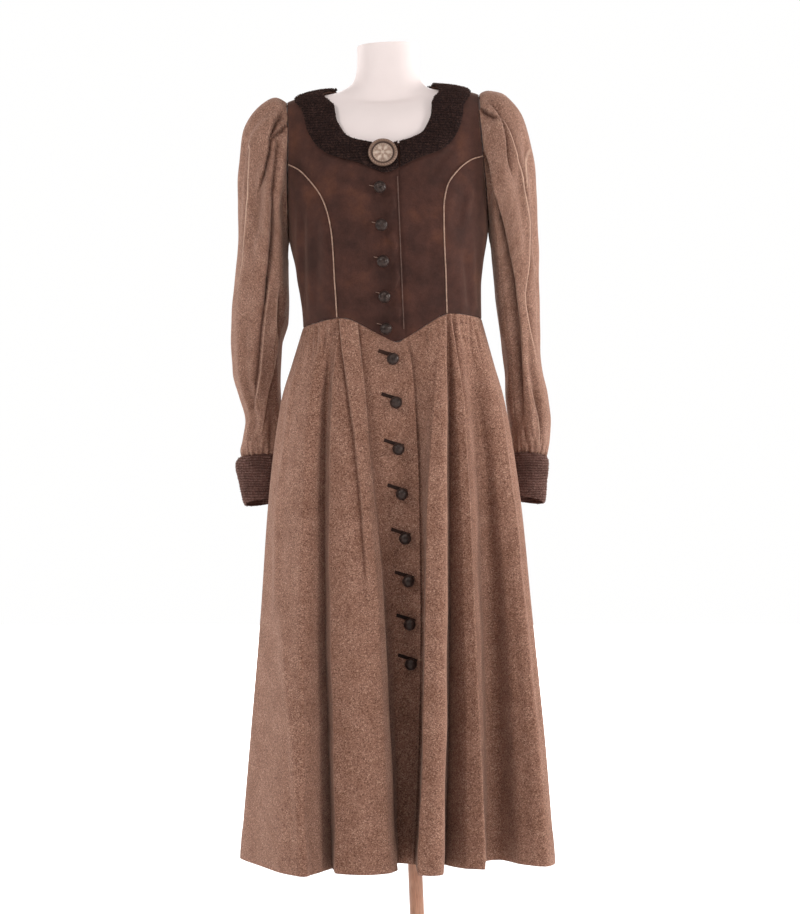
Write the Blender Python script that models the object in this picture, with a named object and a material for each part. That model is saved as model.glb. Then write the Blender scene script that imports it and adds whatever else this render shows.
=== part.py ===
"""A long-sleeved dirndl dress of wool tweed and suede, worn by a limbless dress form on a stand.

Metres, +Z up, the front of the dress faces -Y. The origin is the middle of the stand's underside.
The form, the bodice and the pole are drawn upright and then lean together by LEAN; the skirt
hangs from the leaning waist down to a level hem. "Right" and "left" are the wearer's, so the
right side is at -X. A cloth piece is a wall between an outer and an inner grid of points.
"""
import math

import bpy
import numpy as np

# Driving dimensions
LEAN = math.radians(2.4)          # the whole form leans this far towards -X
SEAM = 0.0003                     # space between neighbouring pieces
FORM_GAP = 0.0008                 # from the body's surface out to the cloth on it
FORM_INSET = 0.0020               # from the body's surface in to the form's shell
SUEDE = 0.0014                    # thickness of the bodice suede
TWEED = 0.0016                    # thickness of the wool tweed
PLUSH = 0.0030                    # thickness of the collar and cuff plush
PLY_GAP = 0.0011                  # between two cloth layers that lie on each other
COLLAR_GAP = 0.0026               # between the suede and the collar that lies on it
SQUARENESS = 2.3                  # exponent of the body's oval sections
HEM_HEIGHT = 0.200                # of the skirt, above the floor

BASE_RADIUS = 0.170
BASE_HEIGHT = 0.018
BASE_BEVEL = 0.004
BASE_SIDES = 32
POLE_RADIUS = 0.0115
POLE_SIDES = 24
FORM_AROUND = 28                  # points round the form

BALL_BUTTON = 0.019               # diameter of the leather ball buttons
NECK_BUTTON = 0.046               # diameter of the large button at the neck
PIPING = 0.0022                   # diameter of the piping cord
PIPING_GAP = 0.0008               # between the suede and the piping on it
FRONT_EDGE_X = 0.0195             # upright distance of the lapping front edge from the body's axis
LAP = 0.040                       # how far the left front runs under the right one
BUTTON_LINE_X = -0.0100           # upright distance of the bodice's button line from the axis
COLLAR_START = 0.0030             # how far past the front edge the collar's left half starts
PIPING_END = 0.0040               # how far short of the armhole the princess piping ends
CUFF_GAP = 0.0006                 # between a sleeve's end and its cuff

# The body, upright: a row for each level, from the form's underside to the neck's top
BODY_COLUMNS = ("front_z", "side_z", "back_z", "half_width", "front", "back", "centre_x")
BODY = {
    "underside": (0.800, 0.800, 0.800, 0.118, 0.064, 0.074, 0.000),
    "seat": (0.830, 0.830, 0.830, 0.142, 0.077, 0.089, 0.000),
    "hip": (0.900, 0.900, 0.900, 0.151, 0.083, 0.094, 0.000),
    "high_hip": (0.980, 0.980, 0.980, 0.146, 0.088, 0.091, 0.000),
    "waist": (1.055, 1.055, 1.055, 0.1405, 0.098, 0.088, 0.000),
    "ribs": (1.105, 1.105, 1.105, 0.1420, 0.108, 0.090, 0.000),
    "under_bust": (1.145, 1.145, 1.145, 0.1470, 0.117, 0.094, 0.000),
    "bust": (1.200, 1.200, 1.200, 0.1575, 0.125, 0.101, 0.000),
    "chest": (1.265, 1.268, 1.270, 0.1640, 0.122, 0.107, 0.000),
    "upper_chest": (1.322, 1.335, 1.335, 0.1670, 0.110, 0.110, 0.000),
    "yoke": (1.366, 1.388, 1.388, 0.1630, 0.092, 0.100, 0.000),
    "shoulder_tip": (1.390, 1.411, 1.412, 0.1550, 0.075, 0.082, 0.000),
    "shoulder": (1.402, 1.4235, 1.427, 0.1150, 0.062, 0.068, 0.002),
    "neck_foot": (1.408, 1.4310, 1.440, 0.0740, 0.052, 0.060, 0.003),
    "neck_flare": (1.430, 1.4460, 1.456, 0.0555, 0.048, 0.053, 0.008),
    "neck": (1.468, 1.4720, 1.474, 0.0509, 0.047, 0.048, 0.010),
    "neck_top": (1.5000, 1.5000, 1.5000, 0.0507, 0.047, 0.047, 0.011),
}

# Seams of the bodice, upright, seen from the front
WAIST_COLUMNS = ("from_point", "height")
WAIST_SEAM = (
    (0.000, 1.0225),
    (0.025, 1.0350),
    (0.050, 1.0500),
    (0.070, 1.0610),
    (0.085, 1.0650),
    (0.105, 1.0635),
    (0.125, 1.0600),
    (0.145, 1.0560),
)
WAIST_POINT_X = 0.006
WAIST_BACK_Z = 1.056
PRINCESS_COLUMNS = ("height", "right_x", "left_x")
PRINCESS_SEAM = (
    (1.064, -0.0845, 0.0845),
    (1.100, -0.0850, 0.0848),
    (1.134, -0.0859, 0.0852),
    (1.190, -0.0867, 0.0850),
    (1.222, -0.0910, 0.0858),
    (1.259, -0.1035, 0.0925),
    (1.280, -0.1180, 0.1060),
    (1.300, -0.1353, 0.1255),
)
PRINCESS_TOP_Z = 1.312            # where the front princess seams run into the armholes
BACK_PRINCESS_COLUMNS = ("height", "distance")
BACK_PRINCESS = (
    (1.056, 0.060),
    (1.120, 0.062),
    (1.200, 0.070),
    (1.260, 0.088),
    (1.300, 0.118),
)
BACK_PRINCESS_TOP_Z = 1.320
ARMHOLE_COLUMNS = ("height", "distance")
ARMHOLE = (
    (1.198, 0.1573),
    (1.207, 0.1568),
    (1.222, 0.1560),
    (1.270, 0.1545),
    (1.310, 0.1525),
    (1.345, 0.1510),
    (1.380, 0.1500),
    (1.425, 0.1520),
)
UNDERARM_Z = 1.199
NECKLINE_COLUMNS = ("distance", "height")
NECKLINE = (
    (0.000, 1.3270),
    (0.020, 1.3310),
    (0.045, 1.3385),
    (0.061, 1.3480),
    (0.072, 1.3690),
    (0.0765, 1.3970),
)
NECKLINE_SIDE = 0.0780            # on the shoulder line
NECKLINE_BACK = ((0.070, 1.4320), (0.045, 1.4240), (0.020, 1.4190), (0.000, 1.4180))
COLLAR_COLUMNS = ("distance", "height")
COLLAR = (
    (0.000, 1.2830),
    (0.020, 1.2900),
    (0.040, 1.3000),
    (0.060, 1.3080),
    (0.080, 1.3150),
    (0.096, 1.3240),
    (0.110, 1.3420),
    (0.120, 1.3660),
    (0.126, 1.3930),
)
COLLAR_SIDE = 0.1290
COLLAR_BACK = ((0.121, 1.4005), (0.095, 1.3850), (0.050, 1.3760), (0.000, 1.3740))

# The skirt's sections: the plain oval at each level, and how much of the hem's pleat depth shows
SKIRT_COLUMNS = ("height", "centre_x", "half_width", "front", "back", "pleat_share")
SKIRT = {
    "high_hip": (0.990, -0.0432, 0.1616, 0.113, 0.108, 0.13),
    "hip": (0.930, -0.0436, 0.1788, 0.124, 0.124, 0.26),
    "thigh": (0.775, -0.0412, 0.2012, 0.136, 0.142, 0.48),
    "knee": (0.590, -0.0384, 0.2168, 0.140, 0.154, 0.70),
    "calf": (0.410, -0.0368, 0.2336, 0.141, 0.162, 0.86),
    "hem": (HEM_HEIGHT, -0.0372, 0.2508, 0.142, 0.170, 1.00),
}
# The front's fold lines, from the right side seam to the left one: upright distance at the waist,
# then X at each level of SKIRT, then Y at the hem
FOLD_COLUMNS = ("waist", "high_hip", "hip", "thigh", "knee", "calf", "hem", "hem_y")
FRONT_FOLDS = {
    "right_side_seam": (-0.1410, -0.2048, -0.2224, -0.2424, -0.2552, -0.2704, -0.2880, 0.005),
    "right_hip_turn": (-0.1350, -0.1930, -0.2070, -0.2260, -0.2340, -0.2430, -0.2530, -0.072),
    "roll_a_outer": (-0.1250, -0.1760, -0.1870, -0.2000, -0.2050, -0.2090, -0.2130, -0.147),
    "roll_a_top": (-0.1170, -0.1610, -0.1700, -0.1790, -0.1810, -0.1810, -0.1790, -0.177),
    "roll_a_inner": (-0.1090, -0.1510, -0.1580, -0.1650, -0.1660, -0.1640, -0.1610, -0.147),
    "valley_ab": (-0.0990, -0.1430, -0.1470, -0.1500, -0.1490, -0.1440, -0.1360, -0.088),
    "pleat_b_outer": (-0.0900, -0.1370, -0.1393, -0.1415, -0.1402, -0.1364, -0.1324, -0.143),
    "pleat_b_top": (-0.0800, -0.1190, -0.1150, -0.1080, -0.1010, -0.0940, -0.0860, -0.163),
    "pleat_b_brow": (-0.0640, -0.1040, -0.0980, -0.0850, -0.0700, -0.0620, -0.0510, -0.147),
    "pleat_b_edge": (-0.0520, -0.0905, -0.0843, -0.0708, -0.0553, -0.0467, -0.0360, -0.108),
    "pleat_b_foot": (-0.0450, -0.0835, -0.0775, -0.0645, -0.0500, -0.0430, -0.0352, -0.070),
    "lap_under_edge": (-0.0205, -0.0540, -0.0487, -0.0410, -0.0372, -0.0366, -0.0335, -0.050),
    "placket_middle": (0.0060, -0.0340, -0.0287, -0.0210, -0.0170, -0.0180, -0.0210, -0.052),
    "placket_edge": (0.0202, -0.0142, -0.0087, -0.0009, 0.0015, -0.0010, -0.0085, -0.064),
    "pleat_c_foot": (0.0360, 0.0010, 0.0060, 0.0062, 0.0037, 0.0004, -0.0074, -0.105),
    "pleat_c_outer": (0.0600, 0.0200, 0.0185, 0.0105, 0.0062, 0.0020, -0.0055, -0.163),
    "pleat_c_top": (0.0720, 0.0320, 0.0300, 0.0260, 0.0230, 0.0200, 0.0150, -0.171),
    "pleat_c_brow": (0.0800, 0.0385, 0.0380, 0.0375, 0.0370, 0.0355, 0.0300, -0.164),
    "pleat_c_edge": (0.0845, 0.0418, 0.0415, 0.0415, 0.0410, 0.0397, 0.0356, -0.142),
    "valley_cd": (0.0880, 0.0450, 0.0460, 0.0470, 0.0470, 0.0455, 0.0395, -0.058),
    "ridge_d_outer": (0.0930, 0.0530, 0.0570, 0.0650, 0.0700, 0.0740, 0.0740, -0.104),
    "ridge_d_top": (0.0990, 0.0605, 0.0663, 0.0770, 0.0840, 0.0915, 0.0960, -0.110),
    "ridge_d_brow": (0.1040, 0.0670, 0.0735, 0.0850, 0.0925, 0.0995, 0.1030, -0.088),
    "valley_de_near": (0.1090, 0.0740, 0.0810, 0.0930, 0.1000, 0.1050, 0.1070, -0.030),
    "valley_de_far": (0.1150, 0.0830, 0.0920, 0.1070, 0.1160, 0.1230, 0.1270, -0.017),
    "panel_e_near": (0.1230, 0.0950, 0.1060, 0.1250, 0.1380, 0.1490, 0.1580, -0.056),
    "panel_e_far": (0.1330, 0.1085, 0.1240, 0.1470, 0.1640, 0.1810, 0.1960, -0.083),
    "left_side_seam": (0.1410, 0.1184, 0.1352, 0.1600, 0.1784, 0.1968, 0.2136, -0.040),
}
# The back's fold lines, on round to the right side seam: distance at the waist, then X and Y at
# the hem; in between they follow the oval
BACK_FOLD_COLUMNS = ("waist", "hem", "hem_y")
BACK_FOLDS = {
    "left_hip_turn": (0.1330, 0.2060, 0.020),
    "left_roll_outer": (0.1220, 0.1850, 0.082),
    "left_roll_top": (0.1120, 0.1560, 0.135),
    "left_roll_inner": (0.1030, 0.1320, 0.118),
    "left_valley": (0.0920, 0.1140, 0.088),
    "left_pleat_outer": (0.0800, 0.0950, 0.132),
    "left_pleat_top": (0.0660, 0.0660, 0.172),
    "left_pleat_inner": (0.0540, 0.0330, 0.158),
    "left_back_valley": (0.0380, 0.0080, 0.112),
    "back_left_rise": (0.0200, -0.0120, 0.144),
    "centre_back": (0.0000, -0.0360, 0.161),
    "back_right_rise": (-0.0200, -0.0620, 0.146),
    "right_back_valley": (-0.0380, -0.0860, 0.108),
    "right_pleat_inner": (-0.0540, -0.1080, 0.150),
    "right_pleat_top": (-0.0660, -0.1420, 0.168),
    "right_pleat_outer": (-0.0800, -0.1700, 0.136),
    "right_valley": (-0.0920, -0.1930, 0.090),
    "right_roll_inner": (-0.1030, -0.2110, 0.112),
    "right_roll_top": (-0.1120, -0.2380, 0.116),
    "right_roll_outer": (-0.1220, -0.2640, 0.078),
    "right_hip_back": (-0.1330, -0.2800, 0.040),
}
WAIST_HALF_WIDTH = 0.1405

# Sections of the sleeves below the armhole: the outer and inner ends seen from the front, the
# front and back reach, and how much lower the back of the section lies than its front
SLEEVE_COLUMNS = ("outer_x", "outer_z", "inner_x", "inner_z", "front_y", "back_y", "back_drop")
RIGHT_SLEEVE = (
    (-0.2310, 1.4165, -0.2095, 1.1860, -0.066, 0.070, 0.000),
    (-0.2520, 1.4060, -0.2105, 1.1810, -0.073, 0.078, 0.000),
    (-0.2704, 1.3880, -0.2110, 1.1760, -0.075, 0.084, 0.000),
    (-0.2832, 1.3600, -0.2112, 1.1700, -0.073, 0.088, 0.000),
    (-0.2891, 1.3250, -0.2112, 1.1630, -0.069, 0.090, 0.000),
    (-0.2919, 1.2800, -0.2104, 1.1550, -0.063, 0.092, 0.000),
    (-0.2922, 1.2240, -0.2108, 1.1400, -0.054, 0.095, 0.000),
    (-0.2935, 1.1680, -0.2112, 1.1180, -0.045, 0.100, 0.000),
    (-0.2996, 1.1185, -0.2108, 1.0910, -0.034, 0.104, 0.000),
    (-0.3042, 1.0720, -0.2126, 1.0600, -0.022, 0.106, 0.000),
    (-0.3053, 1.0240, -0.2230, 1.0200, -0.006, 0.106, 0.002),
    (-0.3039, 0.9800, -0.2255, 0.9770, 0.010, 0.112, 0.003),
    (-0.2944, 0.9400, -0.2255, 0.9380, 0.024, 0.118, 0.004),
    (-0.2836, 0.8980, -0.2235, 0.9000, 0.036, 0.122, 0.006),
    (-0.2885, 0.8700, -0.2205, 0.8740, 0.042, 0.128, 0.008),
    (-0.2924, 0.8520, -0.2205, 0.8560, 0.046, 0.127, 0.009),
    (-0.2900, 0.8410, -0.2240, 0.8450, 0.053, 0.121, 0.009),
)
LEFT_SLEEVE = (
    (0.1090, 1.4275, 0.1115, 1.1850, -0.066, 0.070, 0.000),
    (0.1290, 1.4240, 0.1120, 1.1820, -0.073, 0.078, 0.000),
    (0.1472, 1.4100, 0.1128, 1.1760, -0.075, 0.084, 0.000),
    (0.1632, 1.3876, 0.1138, 1.1680, -0.073, 0.088, 0.000),
    (0.1760, 1.3492, 0.1150, 1.1580, -0.069, 0.090, 0.000),
    (0.1850, 1.3010, 0.1170, 1.1450, -0.063, 0.092, 0.000),
    (0.1888, 1.2400, 0.1190, 1.1270, -0.054, 0.095, 0.000),
    (0.1912, 1.1760, 0.1213, 1.1020, -0.045, 0.100, 0.000),
    (0.1928, 1.1200, 0.1248, 1.0770, -0.034, 0.104, 0.000),
    (0.1938, 1.0720, 0.1281, 1.0510, -0.022, 0.106, 0.000),
    (0.1950, 1.0240, 0.1328, 1.0160, -0.006, 0.106, 0.002),
    (0.2000, 0.9800, 0.1378, 0.9760, 0.010, 0.112, 0.003),
    (0.2092, 0.9400, 0.1400, 0.9380, 0.024, 0.118, 0.004),
    (0.2136, 0.8980, 0.1445, 0.9010, 0.036, 0.124, 0.006),
    (0.2126, 0.8700, 0.1475, 0.8740, 0.042, 0.128, 0.008),
    (0.2096, 0.8540, 0.1490, 0.8570, 0.046, 0.126, 0.009),
    (0.2065, 0.8430, 0.1520, 0.8470, 0.053, 0.120, 0.009),
)
# Folds pressed into a sleeve: the angle at the fold's start and end (0 outer, 90 front, 180 inner,
# 270 back), where it starts and ends along the sleeve (0 armhole, 1 cuff), its depth (a ridge is
# negative) and its half-width in degrees
SLEEVE_FOLD_COLUMNS = ("angle_start", "angle_end", "start", "end", "depth", "half_width")
RIGHT_SLEEVE_FOLDS = {
    "long_front": (112, 100, 0.02, 0.72, 0.0100, 17),
    "long_front_ridge": (138, 132, 0.05, 0.66, -0.0060, 15),
    "head_front": (76, 62, 0.00, 0.42, 0.0080, 16),
    "head_top": (40, 30, 0.00, 0.30, 0.0070, 14),
    "outer_rim": (22, 16, 0.18, 0.62, 0.0050, 12),
    "elbow_front": (70, 62, 0.45, 0.95, 0.0070, 18),
    "head_back": (288, 300, 0.00, 0.40, 0.0080, 18),
    "long_back": (250, 262, 0.10, 0.80, 0.0080, 18),
    "back_rim": (328, 338, 0.05, 0.55, 0.0060, 14),
}
LEFT_SLEEVE_FOLDS = {
    "long_front": (118, 96, 0.02, 0.80, 0.0100, 17),
    "long_front_ridge": (146, 134, 0.05, 0.74, -0.0050, 15),
    "head_front": (84, 66, 0.00, 0.38, 0.0080, 16),
    "head_top": (48, 26, 0.00, 0.66, 0.0060, 13),
    "forearm_front": (74, 70, 0.62, 0.97, 0.0065, 16),
    "head_back": (286, 298, 0.00, 0.42, 0.0080, 18),
    "long_back": (248, 264, 0.12, 0.78, 0.0080, 18),
    "back_rim": (326, 336, 0.05, 0.50, 0.0060, 14),
}
# Sections of the cuffs, in the sleeves' columns
RIGHT_CUFF = (
    (-0.2970, 0.8403, -0.2230, 0.8445, 0.054, 0.127, 0.010),
    (-0.3005, 0.8290, -0.2240, 0.8350, 0.054, 0.129, 0.010),
    (-0.2950, 0.8020, -0.2240, 0.8090, 0.053, 0.124, 0.010),
    (-0.2867, 0.7640, -0.2240, 0.7740, 0.052, 0.118, 0.011),
)
LEFT_CUFF = (
    (0.2085, 0.8428, 0.1475, 0.8468, 0.049, 0.124, 0.010),
    (0.2104, 0.8320, 0.1455, 0.8370, 0.048, 0.125, 0.010),
    (0.2075, 0.8030, 0.1430, 0.8100, 0.045, 0.119, 0.010),
    (0.2047, 0.7680, 0.1410, 0.7780, 0.041, 0.112, 0.011),
)
UNDER_SLEEVE_HALF = 45            # half-width of the under sleeve, in degrees about the inner end

# Buttons and bound buttonholes: X and height of each
BODICE_BUTTON_Z = (1.2600, 1.2020, 1.1490, 1.0950, 1.0450)
SKIRT_BUTTON_COLUMNS = ("x", "height")
SKIRT_BUTTONS = (
    (-0.0428, 0.9940),
    (-0.0380, 0.9270),
    (-0.0343, 0.8550),
    (-0.0288, 0.7850),
    (-0.0235, 0.7160),
    (-0.0180, 0.6490),
    (-0.0150, 0.5810),
    (-0.0120, 0.5180),
)
BUTTONHOLE_LENGTH = 0.031
BUTTONHOLE_WIDTH = 0.0055
BUTTONHOLE_THICK = 0.0010
BUTTONHOLE_FALL = 0.0095          # how much lower its end towards the edge lies
BUTTONHOLE_END = (0.0080, 0.0040)  # from the button's centre to that end, across and up
BUTTON_GAP = 0.00075              # from a buttonhole's face out to the button on it
SHANK_RADIUS = 0.0034             # the short neck that a ball button stands on
SHANK_HEIGHT = 0.0012
BALL_SIDES = 8
BALL_BENDS = np.radians([58, 22, -16, -52])   # where the ball's rings lie, from its foot up
BALL_CENTRE = 0.80                # height of the ball's middle above the shank, in radii
BALL_FLATNESS = 0.86              # height of the ball over its width
NECK_BUTTON_PLACE = (-0.0035, 1.3118)         # upright distance from the axis, and height
NECK_BUTTON_SIDES = 24
NECK_BUTTON_COLUMNS = ("radius_share", "height")
NECK_BUTTON_PROFILE = (
    (0.00, 0.0000),
    (0.90, 0.0000),
    (0.99, 0.0016),
    (1.00, 0.0030),
    (0.96, 0.0046),
    (0.84, 0.0052),
    (0.76, 0.0044),
    (0.72, 0.0030),
    (0.66, 0.0032),
    (0.40, 0.0044),
    (0.00, 0.0048),
)

# Finishes: base colour, roughness, metallic
FINISHES = {
    "form_shell": ((0.86, 0.80, 0.78), 0.55, 0.0),
    "pole_wood": ((0.60, 0.36, 0.24), 0.50, 0.0),
    "suede": ((0.085, 0.034, 0.022), 0.92, 0.0),
    "plush": ((0.024, 0.012, 0.010), 0.95, 0.0),
    "cuff_plush": ((0.110, 0.062, 0.052), 0.95, 0.0),
    "tweed": ((0.270, 0.165, 0.120), 0.95, 0.0),
    "piping": ((0.480, 0.310, 0.230), 0.80, 0.0),
    "ball_leather": ((0.055, 0.035, 0.032), 0.60, 0.0),
    "buttonhole_suede": ((0.045, 0.020, 0.014), 0.92, 0.0),
    "pewter": ((0.350, 0.250, 0.200), 0.45, 0.6),
}


def column(columns, rows, name):
    """One named column of a table."""
    rows = rows.values() if isinstance(rows, dict) else rows
    return np.array([row[columns.index(name)] for row in rows], float)


def smooth(knots, values, at):
    """Values at `at` on a curve through the rows: cubic in each span and never past its ends."""
    knots = np.asarray(knots, float)
    values = np.asarray(values, float)
    at = np.asarray(at, float)
    span = np.diff(knots).reshape((-1,) + (1,) * (values.ndim - 1))
    slope = np.diff(values, axis=0) / span
    before, after = slope[:-1], slope[1:]
    agree = before * after > 0
    total = np.where(agree, before + after, 1.0)
    tangent = np.concatenate([slope[:1], np.where(agree, 2 * before * after / total, 0), slope[-1:]])
    i = np.clip(np.searchsorted(knots, at, side="right") - 1, 0, len(knots) - 2)
    u = np.clip((at - knots[i]) / (knots[i + 1] - knots[i]), 0, 1)
    u = u.reshape(u.shape + (1,) * (values.ndim - 1))
    h = span[i]
    return (
        values[i] * (1 + 2 * u) * (1 - u) ** 2
        + tangent[i] * h * u * (1 - u) ** 2
        + values[i + 1] * u**2 * (3 - 2 * u)
        + tangent[i + 1] * h * u**2 * (u - 1)
    )


def signed_power(value, power):
    """The power of a number's size, with the number's own sign."""
    return np.sign(value) * np.abs(value) ** power


def unit(vectors):
    """Vectors made one long."""
    return vectors / np.maximum(np.linalg.norm(vectors, axis=-1, keepdims=True), 1e-12)


def leaned(points):
    """Upright points turned about the Y axis through the origin, top towards -X."""
    x, y, z = np.moveaxis(points, -1, 0)
    return np.stack(
        [x * math.cos(LEAN) - z * math.sin(LEAN), y, x * math.sin(LEAN) + z * math.cos(LEAN)],
        axis=-1,
    )


def upright(points):
    """The opposite of leaned."""
    x, y, z = np.moveaxis(points, -1, 0)
    return np.stack(
        [x * math.cos(LEAN) + z * math.sin(LEAN), y, z * math.cos(LEAN) - x * math.sin(LEAN)],
        axis=-1,
    )


# --- The body's surface -------------------------------------------------------------------------

BODY_ROWS = np.array(list(BODY.values()))
LEVEL = {name: i for i, name in enumerate(BODY)}


def body_upright(angle, level):
    """The body at an angle about its axis (0 front, 90 degrees at +X) and a level of BODY."""
    angle, level = np.broadcast_arrays(np.asarray(angle, float), np.asarray(level, float))
    row = smooth(np.arange(len(BODY_ROWS)), BODY_ROWS, level)
    front_z, side_z, back_z, half, front, back, centre = np.moveaxis(row, -1, 0)
    ahead = np.cos(angle) > 0
    x = centre + half * signed_power(np.sin(angle), 2 / SQUARENESS)
    y = -np.where(ahead, front, back) * signed_power(np.cos(angle), 2 / SQUARENESS)
    z = side_z + (np.where(ahead, front_z, back_z) - side_z) * np.cos(angle) ** 2
    return np.stack([x, y, z], axis=-1)


def surface_normals(surface, a, b, step_a, step_b):
    """Unit normals of surface(a, b), from its two slopes."""
    along_a = surface(a + step_a, b) - surface(a - step_a, b)
    along_b = surface(a, b + step_b) - surface(a, b - step_b)
    return unit(np.cross(along_a, along_b))


def body(angle, level, out=0.0):
    """A point on the leaning body, moved out along its normal."""
    out = np.asarray(out, float)[..., None]
    normals = surface_normals(body_upright, angle, level, 1e-3, 1e-2)
    return leaned(body_upright(angle, level) + normals * out)


def on_body(x, z, back=False):
    """The angle and level where the upright body has this x and height, as far as it has them."""
    levels = np.linspace(LEVEL["high_hip"], LEVEL["neck"], 700)
    row = smooth(np.arange(len(BODY_ROWS)), BODY_ROWS, levels)
    centre, half = row[:, 6], row[:, 3]
    found = []
    for one_x, one_z in np.broadcast(x, z):
        reach = np.abs((one_x - centre) / half) <= 1
        share = np.clip((one_x - centre) / half, -1, 1)
        # the branch ends where the body grows narrower than this x, on the shoulder line
        top = np.argmax(~reach & (levels > LEVEL["bust"])) or len(levels)
        start = np.argmax(reach)
        angles = np.arcsin(signed_power(share[start:top], SQUARENESS / 2))
        if back:
            angles = np.where(angles < 0, -np.pi, np.pi) - angles
        heights = body_upright(angles, levels[start:top])[:, 2]
        found.append(
            [np.interp(one_z, heights, angles), np.interp(one_z, heights, levels[start:top])]
        )
    return np.array(found)


def shoulder_point(x):
    """The angle and level of a point on the shoulder line."""
    levels = np.linspace(LEVEL["yoke"], LEVEL["neck"], 400)
    row = smooth(np.arange(len(BODY_ROWS)), BODY_ROWS, levels)
    reach = row[:, 3] + np.sign(x) * row[:, 6]
    return np.array([np.sign(x) * np.pi / 2, np.interp(-abs(x), -reach, levels)])


# --- Lines on the body, each a list of (angle, level) -------------------------------------------

def spaced(line, count):
    """The line resampled at even steps of real distance."""
    line = np.asarray(line, float)
    fine = smooth(np.arange(len(line)), line, np.linspace(0, len(line) - 1, 12 * len(line)))
    points = body(fine[:, 0], fine[:, 1])
    gone = np.r_[0, np.cumsum(np.linalg.norm(np.diff(points, axis=0), axis=1))]
    at = np.linspace(0, gone[-1], count)
    return np.stack([np.interp(at, gone, fine[:, 0]), np.interp(at, gone, fine[:, 1])], axis=1)


def waist_line(angles):
    """The waist seam at these angles: the level where the body meets the seam's height."""
    levels = np.linspace(LEVEL["high_hip"], LEVEL["ribs"] + 0.5, 300)
    line = []
    for angle in angles:
        points = body_upright(np.full(levels.shape, angle), levels)
        if math.cos(angle) > 0:
            from_point = np.abs(points[:, 0] - WAIST_POINT_X)
            seam = smooth(
                column(WAIST_COLUMNS, WAIST_SEAM, "from_point"),
                column(WAIST_COLUMNS, WAIST_SEAM, "height"),
                from_point,
            )
        else:
            seam = np.full(levels.shape, WAIST_BACK_Z)
        line.append([angle, np.interp(0, points[:, 2] - seam, levels)])
    return np.array(line)


def waist_angle(x, back=False):
    """The angle at which the waist has this upright x."""
    angle = math.asin(np.clip(signed_power(x / WAIST_HALF_WIDTH, SQUARENESS / 2), -1, 1))
    if back:
        angle = (math.pi if x >= 0 else -math.pi) - angle
    return angle


def armhole_line(side, front, z_low, z_high, count):
    """The armhole's edge from one height to another; side is -1 for the right, 1 for the left."""
    top = float(smooth(column(ARMHOLE_COLUMNS, ARMHOLE, "height"),
                       column(ARMHOLE_COLUMNS, ARMHOLE, "distance"), 1.42))
    tip = shoulder_point(side * top)
    tip_z = float(body_upright(tip[0], tip[1])[2])
    z_high = min(z_high, tip_z)
    # heights run evenly in the angle of an upright circle, so both ends are rounded
    middle = (tip_z + UNDERARM_Z) / 2
    radius = (tip_z - UNDERARM_Z) / 2
    low = math.acos(np.clip((z_low - middle) / radius, -1, 1))
    high = math.acos(np.clip((z_high - middle) / radius, -1, 1))
    heights = middle + radius * np.cos(np.linspace(low, high, count))
    distance = smooth(column(ARMHOLE_COLUMNS, ARMHOLE, "height"),
                      column(ARMHOLE_COLUMNS, ARMHOLE, "distance"), heights)
    line = on_body(side * distance, heights, back=not front)
    if z_low <= UNDERARM_Z:
        line[0, 0] = side * np.pi / 2
    if z_high >= tip_z:
        line[-1] = tip
    return line


def princess_line(side, count):
    """The front princess seam from the waist up to the armhole."""
    heights = column(PRINCESS_COLUMNS, PRINCESS_SEAM, "height")
    xs = column(PRINCESS_COLUMNS, PRINCESS_SEAM, "right_x" if side < 0 else "left_x")
    line = on_body(xs, heights)
    start = waist_line([waist_angle(xs[0])])
    end = armhole_line(side, True, PRINCESS_TOP_Z, 9.0, 8)[:1]
    return spaced(np.concatenate([start, line[1:], end]), count)


def back_princess_line(side, count):
    """The back seam from the waist up to the armhole."""
    heights = column(BACK_PRINCESS_COLUMNS, BACK_PRINCESS, "height")
    xs = side * column(BACK_PRINCESS_COLUMNS, BACK_PRINCESS, "distance")
    line = on_body(xs, heights, back=True)
    start = waist_line([waist_angle(xs[0], back=True)])
    end = armhole_line(side, False, BACK_PRINCESS_TOP_Z, 9.0, 8)[:1]
    return spaced(np.concatenate([start, line[1:], end]), count)


def side_line(side, count):
    """The side seam from the waist up to the underarm."""
    start = waist_line([side * np.pi / 2])[0]
    end = armhole_line(side, True, UNDERARM_Z, 9.0, 8)[0]
    share = np.linspace(0, 1, count)[:, None]
    return spaced(start * (1 - share) + end * share, count)


def edge_round(front_rows, side_x, back_rows, from_x, side):
    """A line round the neck from the front at from_x, over the shoulder, to the centre back."""
    distance = np.array([row[0] for row in front_rows])
    height = np.array([row[1] for row in front_rows])
    # an edge that starts on the far side of the centre comes back over it
    xs = np.concatenate([[from_x], side * distance])
    xs = xs[(xs - from_x) * side >= 0]
    xs = np.concatenate([[from_x], xs[np.abs(xs - from_x) > 0.006]])
    front = on_body(xs, smooth(distance, height, np.abs(xs)))
    back = on_body(
        side * np.array([row[0] for row in back_rows]),
        np.array([row[1] for row in back_rows]),
        back=True,
    )
    back[-1, 0] = side * np.pi
    over = shoulder_point(side * side_x)[None]
    return front, over, back


def neck_line(from_x, side, count, to_back=False):
    """The neckline from the front edge to the shoulder, or on to the centre back."""
    front, over, back = edge_round(NECKLINE, NECKLINE_SIDE, NECKLINE_BACK, from_x, side)
    pieces = [front, over, back] if to_back else [front, over]
    return spaced(np.concatenate(pieces), count)


def collar_line(from_x, side, count):
    """The collar's outer edge from its front end to the centre back."""
    return spaced(
        np.concatenate(edge_round(COLLAR, COLLAR_SIDE, COLLAR_BACK, from_x, side)), count
    )


# --- Meshes -------------------------------------------------------------------------------------

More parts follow.
